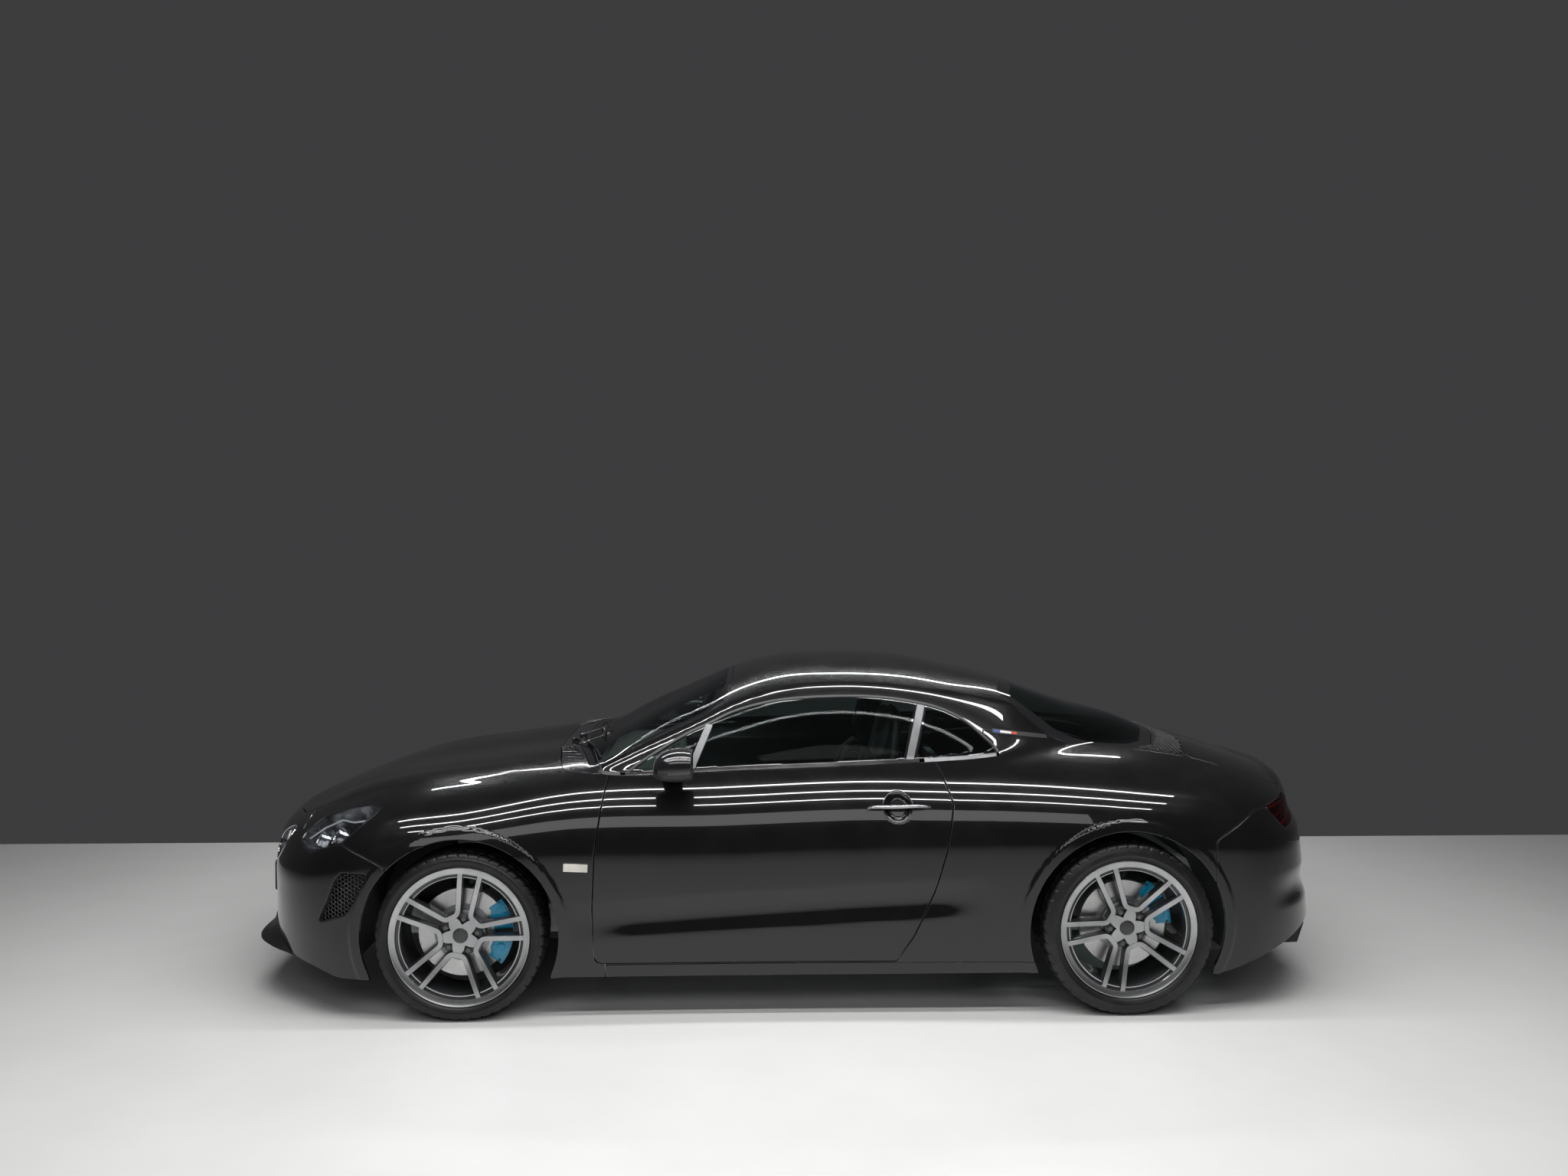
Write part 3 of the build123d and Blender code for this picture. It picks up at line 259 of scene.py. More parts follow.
def readGrid(a, u, v):
    # Bicubic reading of a padded grid at row u and column v
    u = np.clip(u, -0.99, rows - 0.01)
    v = np.clip(v, -0.99, columns - 0.01)
    iu = np.floor(u).astype(int)
    iv = np.floor(v).astype(int)
    wu, wv = cubicWeights(u - iu), cubicWeights(v - iv)
    total = 0
    for p in range(4):
        for q in range(4):
            total = total + (wu[..., p] * wv[..., q])[..., None] * a[iu + p + 1, iv + q + 1]
    return total


surface = paddedGrid(grid, mirrorY)
du = np.gradient(surface, axis=0)
dv = np.gradient(surface, axis=1)
normals = np.cross(du, dv)
normals /= np.maximum(np.linalg.norm(normals, axis=-1, keepdims=True), 1e-12)
if normals[rows // 2, columns // 2, 2] < 0:
    normals = -normals
normalGrid = normals
meanU = np.concatenate([[0], np.cumsum(np.median(np.linalg.norm(np.diff(grid, axis=0), axis=-1), axis=1))])
meanV = np.linspace(0, np.median(np.sum(np.linalg.norm(np.diff(grid, axis=1), axis=-1), axis=1)), columns)


def rawPoint(u, v):
    return readGrid(surface, u, v)


def rawNormal(u, v):
    n = readGrid(normalGrid, u, v)
    return n / np.maximum(np.linalg.norm(n, axis=-1, keepdims=True), 1e-9)


# Pressed forms stand off the smooth surface by this many millimetres
forms = {
    "archBand": 37.0, "archLift": 5.0, "scallop": 13.0, "ductLip": 12.0, "crease": 5.0,
    "handleX": -368.0, "handleZ": 758.0, "handleBowl": 54.0, "handleDeep": 11.0,
}


def bump(value, middle, half):
    t = np.clip(np.abs(value - middle) / half, 0, 1)
    return (1 - t * t) ** 2


def pressed(p):
    x, y, z = p[..., 0], np.abs(p[..., 1]), p[..., 2]
    lift = 0
    for axle, hub, arch in ((frontAxle, car["frontHub"], car["archFront"]),
                            (rearAxle, car["rearHub"], car["archRear"])):
        r = np.hypot(x - axle, z - hub)
        side = stepUp(y, 640, 720)
        edge = arch + forms["archBand"]
        lift = lift + side * forms["archLift"] * (1 - stepUp(r, edge - 6, edge + 8))
    # Hollow along the lower door, under a soft crease that climbs to the rear
    line = 298 - (x - 674) * 0.055
    deep = stepUp(x, 900, 560) * stepUp(x, -740, -480) * stepUp(y, 600, 700)
    lift = lift - deep * forms["scallop"] * bump(z, line + 64, 78)
    # Round bowl behind each door handle
    around = np.hypot(x - forms["handleX"], z - forms["handleZ"]) / forms["handleBowl"]
    lift = lift - forms["handleDeep"] * (1 - stepUp(around, 0.55, 1.0)) * stepUp(y, 600, 700)
    # Crease along the bonnet, inside each wing
    ridge = 520 + (x - frontAxle) * -0.16
    lift = lift + (forms["crease"] * bump(y, ridge, 120) * stepUp(x, 860, 1100)
                   * stepUp(x, 1960, 1700) * stepUp(z, 560, 640))
    # Lip at the end of the tail, hollow below it
    back = stepUp(x, -1880, -1960)
    lift = lift + forms["ductLip"] * back * bump(z, 792, 34)
    lift = lift - 15 * stepUp(x, -1700, -1960) * bump(z, 700, 66) * stepUp(y, 900, 780)
    # Groove above the lower edge of the rear bumper, which leaves a rounded lip under it
    lift = lift - 13 * stepUp(x, -1720, -1900) * bump(z, 432, 74)
    return lift


def skinPoint(u, v):
    p = rawPoint(u, v)
    return p + rawNormal(u, v) * pressed(p)[..., None]


def skinNormal(u, v):
    e = 0.35
    a = skinPoint(u + e, v) - skinPoint(u - e, v)
    b = skinPoint(u, v + e) - skinPoint(u, v - e)
    n = np.cross(a, b)
    size = np.linalg.norm(n, axis=-1, keepdims=True)
    n = n / np.maximum(size, 1e-12)
    base = rawNormal(u, v)
    n = np.where(np.sum(n * base, -1, keepdims=True) < 0, -n, n)
    flat = np.abs(rawPoint(u, v)[..., 1:2]) < 0.3
    n = np.where(flat, n * np.array([1, 0, 1]), n)
    n = n / np.maximum(np.linalg.norm(n, axis=-1, keepdims=True), 1e-12)
    return np.where(size < 1e-6, base, n)


def locate(points, view):
    # Row and column of the surface under each outline point, seen from the side, from above or from an end
    axes = {"side": (0, 2), "plan": (0, 1), "front": (1, 2), "back": (1, 2)}[view]
    facing = {"side": normals[2:-2, 2:-2, 1] > 0.22, "plan": normals[2:-2, 2:-2, 2] > 0.2,
              "front": normals[2:-2, 2:-2, 0] > 0.15, "back": normals[2:-2, 2:-2, 0] < -0.15}[view]
    coarse = grid[::3, ::3][..., axes]
    allowed = facing[::3, ::3]
    iu, iv = np.nonzero(allowed)
    places = coarse[iu, iv]
    target = np.array(points, float)
    u, v = np.zeros(len(target)), np.zeros(len(target))
    for k, t in enumerate(target):
        best = np.argmin(((places - t) ** 2).sum(1))
        u[k], v[k] = iu[best] * 3, iv[best] * 3
    for _ in range(12):
        p = rawPoint(u, v)[:, axes]
        a = rawPoint(u + 0.5, v)[:, axes] - rawPoint(u - 0.5, v)[:, axes]
        b = rawPoint(u, v + 0.5)[:, axes] - rawPoint(u, v - 0.5)[:, axes]
        d = target - p
        det = a[:, 0] * b[:, 1] - a[:, 1] * b[:, 0]
        det = np.where(np.abs(det) < 1e-3, np.sign(det + 1e-12) * 1e-3, det)
        su = (d[:, 0] * b[:, 1] - d[:, 1] * b[:, 0]) / det
        sv = (a[:, 0] * d[:, 1] - a[:, 1] * d[:, 0]) / det
        u = np.clip(u + np.clip(su, -6, 6), -0.9, rows - 0.1)
        v = np.clip(v + np.clip(sv, -6, 6), -0.9, columns - 0.1)
    return np.stack([u, v], 1)


def rounded(points, radius, closed=True):
    # The outline with its corners rounded
    pts = [np.array(p, float) for p in points]
    out = []
    n = len(pts)
    for k, p in enumerate(pts):
        if not closed and k in (0, n - 1):
            out.append(p)
            continue
        a, b = pts[k - 1] - p, pts[(k + 1) % n] - p
        la, lb = np.linalg.norm(a), np.linalg.norm(b)
        cosine = np.clip(a @ b / max(la * lb, 1e-9), -1, 1)
        half = math.acos(cosine) / 2
        cut = min(radius / max(math.tan(half), 0.05), la * 0.45, lb * 0.45)
        for t in (0, 0.25, 0.5, 0.75, 1):
            out.append((1 - t) ** 2 * (p + a / la * cut) + 2 * t * (1 - t) * p + t * t * (p + b / lb * cut))
    return out


def flowing(points, step=10.0):
    # A smooth closed curve through the points, in even short steps
    pts = np.array(points, float)
    n = len(pts)
    seq = np.concatenate([pts[-1:], pts, pts[:2]])
    out = []
    for k in range(n):
        p0, p1, p2, p3 = seq[k:k + 4]
        d = [max(np.linalg.norm(q - p) ** 0.5, 1e-3) for p, q in ((p0, p1), (p1, p2), (p2, p3))]
        m1 = (p1 - p0) / d[0] - (p2 - p0) / (d[0] + d[1]) + (p2 - p1) / d[1]
        m2 = (p2 - p1) / d[1] - (p3 - p1) / (d[1] + d[2]) + (p3 - p2) / d[2]
        m1, m2 = m1 * d[1], m2 * d[1]
        count = max(2, int(np.linalg.norm(p2 - p1) / step))
        t = np.linspace(0, 1, count, endpoint=False)[:, None]
        out.append((2 * t ** 3 - 3 * t ** 2 + 1) * p1 + (t ** 3 - 2 * t ** 2 + t) * m1
                   + (3 * t ** 2 - 2 * t ** 3) * p2 + (t ** 3 - t ** 2) * m2)
    return np.concatenate(out)


def evenSteps(points, step=9.0, closed=True):
    pts = np.array(points, float)
    if closed:
        pts = np.concatenate([pts, pts[:1]])
    along = np.concatenate([[0], np.cumsum(np.linalg.norm(np.diff(pts, axis=0), axis=1))])
    count = max(3, int(round(along[-1] / step)))
    wanted = np.linspace(0, along[-1], count + 1)
    if closed:
        wanted = wanted[:-1]
    return np.stack([np.interp(wanted, along, pts[:, 0]), np.interp(wanted, along, pts[:, 1])], 1)


def inside(points, ring):
    # Even-odd test of many points against one outline
    x, y = points[:, 0], points[:, 1]
    ax, ay = ring[:, 0], ring[:, 1]
    bx, by = np.roll(ax, -1), np.roll(ay, -1)
    hit = np.zeros(len(points), bool)
    for x1, y1, x2, y2 in zip(ax, ay, bx, by):
        if y1 == y2:
            continue
        hit ^= ((y1 > y) != (y2 > y)) & (x < (x2 - x1) * (y - y1) / (y2 - y1) + x1)
    return hit


def toFlat(uv):
    return np.stack([np.interp(uv[:, 0], np.arange(rows), meanU) + np.minimum(uv[:, 0], 0) * 8
                     + np.maximum(uv[:, 0] - rows + 1, 0) * 8,
                     np.interp(uv[:, 1], np.arange(columns), meanV) + np.minimum(uv[:, 1], 0) * meanV[1]
                     + np.maximum(uv[:, 1] - columns + 1, 0) * meanV[1]], 1)


def fromFlat(flat):
    return np.stack([np.interp(flat[:, 0], meanU, np.arange(rows)),
                     np.clip(flat[:, 1] / meanV[1], 0, columns - 1)], 1)
print("surface tools ready")
# Outlines of the panels, lamps and glass, in millimetres: (x, z) from the side, (x, y) from above,
# (y, z) from an end
outlines = {
    "screen": ("plan", 45, [(857, 0), (837, 350), (764, 662), (330, 548), (270, 500), (236, 300), (230, 0)]),
    "rearGlass": ("plan", 60, [(-868, 0), (-858, 250), (-815, 415), (-900, 462), (-1030, 490), (-1200, 502),
                               (-1350, 482), (-1440, 400), (-1505, 200), (-1528, 0)]),
    "bonnet": ("plan", 70, [(1975, 0), (1960, 260), (1900, 400), (1720, 480), (1410, 575), (1060, 600),
                            (880, 585),
                            (920, 300), (935, 0)]),
    "boot": ("plan", 45, [(rearAxle - 395, 0), (rearAxle - 380, 300), (rearAxle - 330, 520),
                          (rearAxle - 440, 560), (rearAxle - 640, 560),
                          (rearAxle - 760, 470), (rearAxle - 785, 250), (rearAxle - 790, 0)]),
    "scuttle": ("plan", 20, [(950, 0), (935, 300), (870, 640), (750, 690), (670, 690), (670, 0)]),
    "vent": ("plan", 20, [(-1300, 0), (-1380, 300), (-1330, 500), (rearAxle - 330, 525),
                          (rearAxle - 400, 300), (rearAxle - 450, 0)]),
    "sideGlass": ("side", 0, [(640, 846), (600, 885), (500, 948), (400, 1002), (325, 1034), (235, 1075),
                              (64, 1118),
                              (-190, 1134), (-350, 1128), (-479, 1108), (-570, 1084), (-655, 1042),
                              (-718, 990),
                              (-778, 925), (-776, 850), (-300, 830), (300, 820)]),
    "door": ("side", 34, [(732, 200), (738, 400), (730, 600), (710, 760), (680, 930), (-510, 930),
                          (-545, 860),
                          (-572, 770), (-545, 610), (-500, 450), (-425, 290), (-380, 225), (-368, 200)]),
    "headlamp": ("side", 14, [(1512, 746), (1577, 746), (1656, 727), (1769, 684), (1825, 640), (1834, 606),
                              (1769, 588), (1696, 616), (1637, 636), (1589, 680)]),
    "tailLamp": ("side", 12, [(rearAxle - 540, 744), (rearAxle - 650, 756), (rearAxle - 780, 754),
                              (rearAxle - 790, 690), (rearAxle - 700, 668),
                              (rearAxle - 632, 655)]),
    "cornerIntake": ("side", 12, [(1731, 345), (1688, 430), (1654, 512), (1630, 540), (1531, 540),
                                  (1556, 472),
                                  (1612, 387)]),
    "drivingLamp": ("front", 0, [(500 + 62 * math.cos(a), 572 + 62 * math.sin(a))
                                 for a in np.linspace(0, 2 * math.pi, 24, endpoint=False)]),
    "centreIntake": ("front", 22, [(0, 186), (340, 186), (400, 216), (360, 300), (0, 300)]),
}
seams = {
    "nose": [(frontAxle + 258, 140), (frontAxle + 258, 562), (frontAxle + 347, 604), (frontAxle + 432, 636),
             (frontAxle + 640, 636), (frontAxle + 640, 720)],
    "chin": [(1590, 139), (1650, 150), (1750, 180), (1880, 203), (2052, 205)],
    "lip": [(-1560, 140), (-1600, 150), (-1765, 214), (-1900, 262), (-1990, 290), (-2085, 305)],
    "tail": [(rearAxle - 320, 140), (rearAxle - 320, 640), (rearAxle - 480, 735), (rearAxle - 700, 760),
             (rearAxle - 790, 800)],
    "sill": [(692, 195), (-888, 195)],
    "wing": [(692, 140), (692, 900)],
    "strip": [(-700, 1006), (-760, 999), (-840, 988), (-940, 974), (-1060, 956)],
    "postFront": [(-405, 860), (-484, 1136)],
    "postRear": [(-437, 860), (-516, 1136)],
}


def halfOf(points, axis):
    # The part of a mirrored closed outline on the car's left, from centre line to centre line
    positive = points[:, axis] > 2
    start = next(k for k in range(len(points)) if positive[k] and not positive[k - 1])
    turned = np.roll(points, -start, axis=0)
    kept = turned[turned[:, axis] > 2]
    first, last = kept[0].copy(), kept[-1].copy()
    first[axis] = last[axis] = 0
    return np.concatenate([[first], kept, [last]])


rings, curves = {}, []
lastU, lastV = rows - 1.0, columns - 1.0
for name, (view, radius, points) in outlines.items():
    shape = list(points)
    if view == "plan" or name == "centreIntake":
        axis = 1 if view == "plan" else 0
        shape = shape + [((a, -b) if axis else (-a, b)) for a, b in reversed(shape)
                         if (b if axis else a) > 0.5]
    shape = rounded(shape, radius) if radius else flowing(shape, step=6)
    shape = evenSteps(shape, 8)
    if view == "plan" or name == "centreIntake":
        shape = halfOf(shape, axis)
        uv = locate(shape, view)
        if view == "plan":
            uv[[0, -1], 1] = lastV
            rings[name] = np.concatenate([uv, uv[-1:] + [0, 3], uv[:1] + [0, 3]])
        else:
            uv[[0, -1], 0] = lastU
            rings[name] = np.concatenate([uv, uv[-1:] + [3, 0], uv[:1] + [3, 0]])
        curves.append(uv)
    else:
        uv = locate(shape, view)
        rings[name] = uv
        curves.append(np.concatenate([uv, uv[:1]]))
for axle, hub, arch, name in ((frontAxle, car["frontHub"], car["archFront"], "frontArch"),
                              (rearAxle, car["rearHub"], car["archRear"], "rearArch")):
    start = math.asin((158 - hub) / arch)
    angles = np.linspace(start, math.pi - start, 110)
    uv = locate(np.stack([axle + arch * np.cos(angles), hub + arch * np.sin(angles)], 1), "side")
    uv[[0, -1], 1] = 0
    rings[name] = np.concatenate([uv, uv[-1:] - [0, 3], uv[:1] - [0, 3]])
    curves.append(uv)

# Where the glasshouse rises out of the body; a trim strip covers the join
spread = np.ones(9) / 9
joinLine = np.where(joinAt > 0, joinAt, lastV + 4)
joinLine = np.convolve(np.pad(joinLine, 4, mode="edge"), spread, mode="valid")
xRow = grid[:, columns // 2, 0]
joinRows = np.nonzero((xRow > -792) & (xRow < 800) & (joinLine < lastV))[0]
joinLow, joinHigh = joinLine - 1.7, joinLine + 1.7
for line in (joinLow, joinHigh):
    curves.append(np.stack([joinRows, line[joinRows]], 1).astype(float))
seamCurves = {}
for name, points in seams.items():
    uv = locate(evenSteps(rounded(points, 26, closed=False), 9, closed=False), "side")
    seamCurves[name] = uv
    curves.append(uv)


def joinAtRow(line, u):
    return np.interp(u, np.arange(rows), line)


def stripHeight(x):
    px, pz = np.array(sorted(seams["strip"])).T
    return np.interp(x, px, pz)


def postShift(x, z):
    return x - (-421 - (z - 860) * 79 / 276)


regionNames = ["hole", "screen", "rearGlass", "sideFront", "post", "sideRear", "roof", "bonnet", "boot",
               "headlamp",
               "drivingLamp", "cornerIntake", "centreIntake", "tailLamp", "door", "scuttle", "vent",
               "frontBumper",
               "rearBumper", "sill", "wing", "quarter"]
regionId = {name: k for k, name in enumerate(regionNames)}


def classify(uv, p):
    x, y, z = p.T
    low, high = joinAtRow(joinLow, uv[:, 0]), joinAtRow(joinHigh, uv[:, 0])
    inRing = {name: inside(uv, ring) for name, ring in rings.items()}
    above = (uv[:, 1] > high) & (x > -1500)
    glass = inRing["sideGlass"] & above
    shift = postShift(x, z)
    noseLine = np.interp(x, [frontAxle + 258, frontAxle + 347, frontAxle + 432], [562, 604, 636])
    tailLine = np.interp(-x, [320 - rearAxle, 480 - rearAxle, 700 - rearAxle, 790 - rearAxle],
                         [640, 735, 760, 800])
    choices = [
        (inRing["frontArch"] | inRing["rearArch"], "hole"),
        ((x > 1590) & (z < np.interp(x, *np.array(seams["chin"]).T)), "hole"),
        ((x < -1560) & (z < np.interp(-x, *(np.array(seams["lip"]) * [-1, 1]).T)), "hole"),
        (inRing["screen"], "screen"), (inRing["rearGlass"], "rearGlass"),
        (glass & (shift > 16), "sideFront"), (glass & (shift < -16), "sideRear"), (glass, "post"),
        (above & (x < 775) & (x > -725), "roof"),
        (above & (x <= -725) & (x > -1200) & (z > stripHeight(x)), "roof"),
        ((uv[:, 1] > low) & (uv[:, 1] <= high) & (x < 775) & (x > -778), "hole"),
        (inRing["bonnet"], "bonnet"), (inRing["boot"], "boot"), (inRing["headlamp"], "headlamp"),
        (inRing["drivingLamp"], "drivingLamp"), (inRing["cornerIntake"], "cornerIntake"),
        (inRing["centreIntake"], "centreIntake"), (inRing["tailLamp"] & (y > 560), "tailLamp"),
        (inRing["door"] & (uv[:, 1] <= low), "door"), (inRing["scuttle"], "scuttle"),
        (inRing["vent"], "vent"),
        ((x > frontAxle + 640) | ((x > frontAxle + 258) & (z < noseLine)), "frontBumper"),
        ((x < rearAxle - 790) | ((x < rearAxle - 320) & (z < tailLine)), "rearBumper"),
        ((z < 195) & (x < 692) & (x > -888), "sill"), (x > 692, "wing"),
    ]
    result = np.full(len(uv), regionId["quarter"])
    done = np.zeros(len(uv), bool)
    for mask, name in choices:
        result[mask & ~done] = regionId[name]
        done |= mask
    return result


# One triangulation of half the car, with every outline in it and staggered points between
domainPoints, domainEdges = [], []


def addCurve(flat):
    first = len(domainPoints)
    domainPoints.extend(Vector(p) for p in flat)
    domainEdges.extend((first + k, first + k + 1) for k in range(len(flat) - 1))


for uv in curves:
    uv = uv.copy()
    uv[:, 0] = np.clip(uv[:, 0], 0, lastU)
    uv[:, 1] = np.clip(uv[:, 1], 0, lastV)
    flat = toFlat(uv)
    keep = np.concatenate([[True], np.linalg.norm(np.diff(flat, axis=0), axis=1) > 0.4])
    addCurve(flat[keep])
width, tall = meanU[-1], meanV[-1]
acrossSteps, upSteps = int(width / 12), int(tall / 12)
for a, b, count in (((0, 0), (width, 0), acrossSteps), ((width, 0), (width, tall), upSteps),
                    ((width, tall), (0, tall), acrossSteps), ((0, tall), (0, 0), upSteps)):
    addCurve(np.stack([np.linspace(a[0], b[0], count + 1), np.linspace(a[1], b[1], count + 1)], 1))
curveTree = KDTree(len(domainPoints))
for k, p in enumerate(domainPoints):
    curveTree.insert((p.x, p.y, 0), k)
curveTree.balance()
fineStep = 9.0
lattice = []
for row, b in enumerate(np.arange(fineStep, tall, fineStep * 0.87)):
    a = np.arange(fineStep * (1 + 0.5 * (row % 2)), width, fineStep)
    lattice.append(np.stack([a, np.full(len(a), b), np.full(len(a), row), np.arange(len(a))], 1))
lattice = np.concatenate(lattice)
latticeAt = fromFlat(lattice[:, :2])
latticePoint = rawPoint(latticeAt[:, 0], latticeAt[:, 1])
archDistance = np.minimum(np.hypot(latticePoint[:, 0] - frontAxle, latticePoint[:, 2] - car["frontHub"])
                          - car["archFront"],
                          np.hypot(latticePoint[:, 0] - rearAxle, latticePoint[:, 2] - car["rearHub"])
                          - car["archRear"])
bowlDistance = np.hypot(latticePoint[:, 0] - forms["handleX"], latticePoint[:, 2] - forms["handleZ"])
fine = (archDistance < 56) | (bowlDistance < 66) | (latticePoint[:, 0] < -1900) | (latticePoint[:, 0] > 1990)
coarse = (lattice[:, 2] % 2 == 0) & ((lattice[:, 3] + (lattice[:, 2] % 4 == 2)) % 2 == 0)
clear = np.array([curveTree.find((a, b, 0))[2] > 5.5 for a, b in lattice[:, :2]])
chosen = lattice[(fine | coarse) & clear & (archDistance > -6)]
domainPoints.extend(Vector(p) for p in chosen[:, :2])
found = delaunay_2d_cdt(domainPoints, domainEdges, [], 0, 1e-4, False)
flatPoints = np.array([tuple(p) for p in found[0]])
triangles = np.array(found[2])
at = fromFlat(flatPoints)
onEdge = flatPoints[:, 1] > tall - 0.01
at[onEdge, 1] = lastV
middle = flatPoints[triangles].mean(1)
middleAt = fromFlat(middle)
regionOf = classify(middleAt, rawPoint(middleAt[:, 0], middleAt[:, 1]))
a, b, c = flatPoints[triangles[:, 0]], flatPoints[triangles[:, 1]], flatPoints[triangles[:, 2]]
areas = 0.5 * ((b[:, 0] - a[:, 0]) * (c[:, 1] - a[:, 1]) - (b[:, 1] - a[:, 1]) * (c[:, 0] - a[:, 0]))
triangles[areas < 0] = triangles[areas < 0][:, ::-1]
keepTriangle = np.abs(areas) > 0.02
triangles, regionOf = triangles[keepTriangle], regionOf[keepTriangle]
allPoints = skinPoint(at[:, 0], at[:, 1])
allNormals = skinNormal(at[:, 0], at[:, 1])
centred = np.abs(rawPoint(at[:, 0], at[:, 1])[:, 1]) < 0.4
allPoints[centred, 1] = 0
allNormals[centred, 1] = 0
allNormals /= np.maximum(np.linalg.norm(allNormals, axis=1, keepdims=True), 1e-9)
# The triangles' own direction has to agree with the outward normal
firstTriangle = triangles[len(triangles) // 2]
corner = allPoints[firstTriangle]
if np.dot(np.cross(corner[1] - corner[0], corner[2] - corner[0]), allNormals[firstTriangle[0]]) < 0:
    triangles = triangles[:, ::-1]
print("surface divided:", len(flatPoints), "points,", len(triangles), "triangles")
nodeNames = set(frame["nodes"])
bodyOf = {node: body for body, members in frame["record"]["behaviour"]["bodies"].items() for node in members}


def newMesh(name, points, faces, pointNormals=None, attributes=None, faceMaterials=None):
    # Points in millimetres; the piece's object stays at the origin
    mesh = bpy.data.meshes.new(name)
    mesh.from_pydata((np.asarray(points, float) / 1000).tolist(), [],
                     [tuple(int(i) for i in f) for f in faces])
    mesh.polygons.foreach_set("use_smooth", [True] * len(mesh.polygons))
    if faceMaterials is not None:
        mesh.polygons.foreach_set("material_index", np.asarray(faceMaterials, np.int32))
    for key, values in (attributes or {}).items():
        layer = mesh.attributes.new(key, "FLOAT", "POINT")
        layer.data.foreach_set("value", np.asarray(values, np.float32))
    mesh.update()
    if pointNormals is not None:
        mesh.normals_split_custom_set_from_vertices(np.asarray(pointNormals, float).tolist())
    obj = bpy.data.objects.new(name, mesh)
    bpy.context.scene.collection.objects.link(obj)
    return obj


def finishPiece(obj, body, materials, nodes=()):
    for material in materials if isinstance(materials, (list, tuple)) else [materials]:
        obj.data.materials.append(material)
    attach(obj, body)
    if nodes:
        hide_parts(*nodes)
    return obj


def regionMesh(names, bothSides):
    # The points, normals and triangles of some regions; mirrored and welded where both sides are wanted
    ids = [regionId[n] for n in names]
    tris = triangles[np.isin(regionOf, ids)]
    used, inverse = np.unique(tris, return_inverse=True)
    tris = inverse.reshape(tris.shape)
    points, norms = allPoints[used].copy(), allNormals[used].copy()
    if not bothSides:
        return points, norms, tris
    onCentre = np.abs(points[:, 1]) < 0.05
    flip = np.array([1, -1, 1])
    other = np.where(onCentre, np.arange(len(points)), 0)
    fresh = np.nonzero(~onCentre)[0]
    other[fresh] = len(points) + np.arange(len(fresh))
    return (np.concatenate([points, points[fresh] * flip]), np.concatenate([norms, norms[fresh] * flip]),
            np.concatenate([tris, other[tris][:, ::-1]]))


def weldClose(points, norms, tris):
    # Merge points that share a place, such as those gathered at the nose and tail
    keys = np.round(points / 0.02).astype(np.int64)
    _, first, inverse = np.unique(keys, axis=0, return_index=True, return_inverse=True)
    tris = inverse.reshape(-1)[tris]
    good = (tris[:, 0] != tris[:, 1]) & (tris[:, 1] != tris[:, 2]) & (tris[:, 2] != tris[:, 0])
    tris = tris[good]
    _, once = np.unique(np.sort(tris, axis=1), axis=0, return_index=True)
    return points[first], norms[first], tris[np.sort(once)]


def boundaryLoops(tris):
    directed = {}
    for a, b in np.concatenate([tris[:, [0, 1]], tris[:, [1, 2]], tris[:, [2, 0]]]).tolist():
        directed[(a, b)] = True
    following = {}
    for a, b in directed:
        if (b, a) not in directed:
            following.setdefault(a, []).append(b)
    loops = []
    while following:
        start = next(iter(following))
        loop, here = [], start
        while here in following:
            options = following[here]
            step = options.pop()
            if not options:
                del following[here]
            loop.append(here)
            here = step
            if here == start:
                break
        if len(loop) > 3:
            loops.append(loop)
    return loops


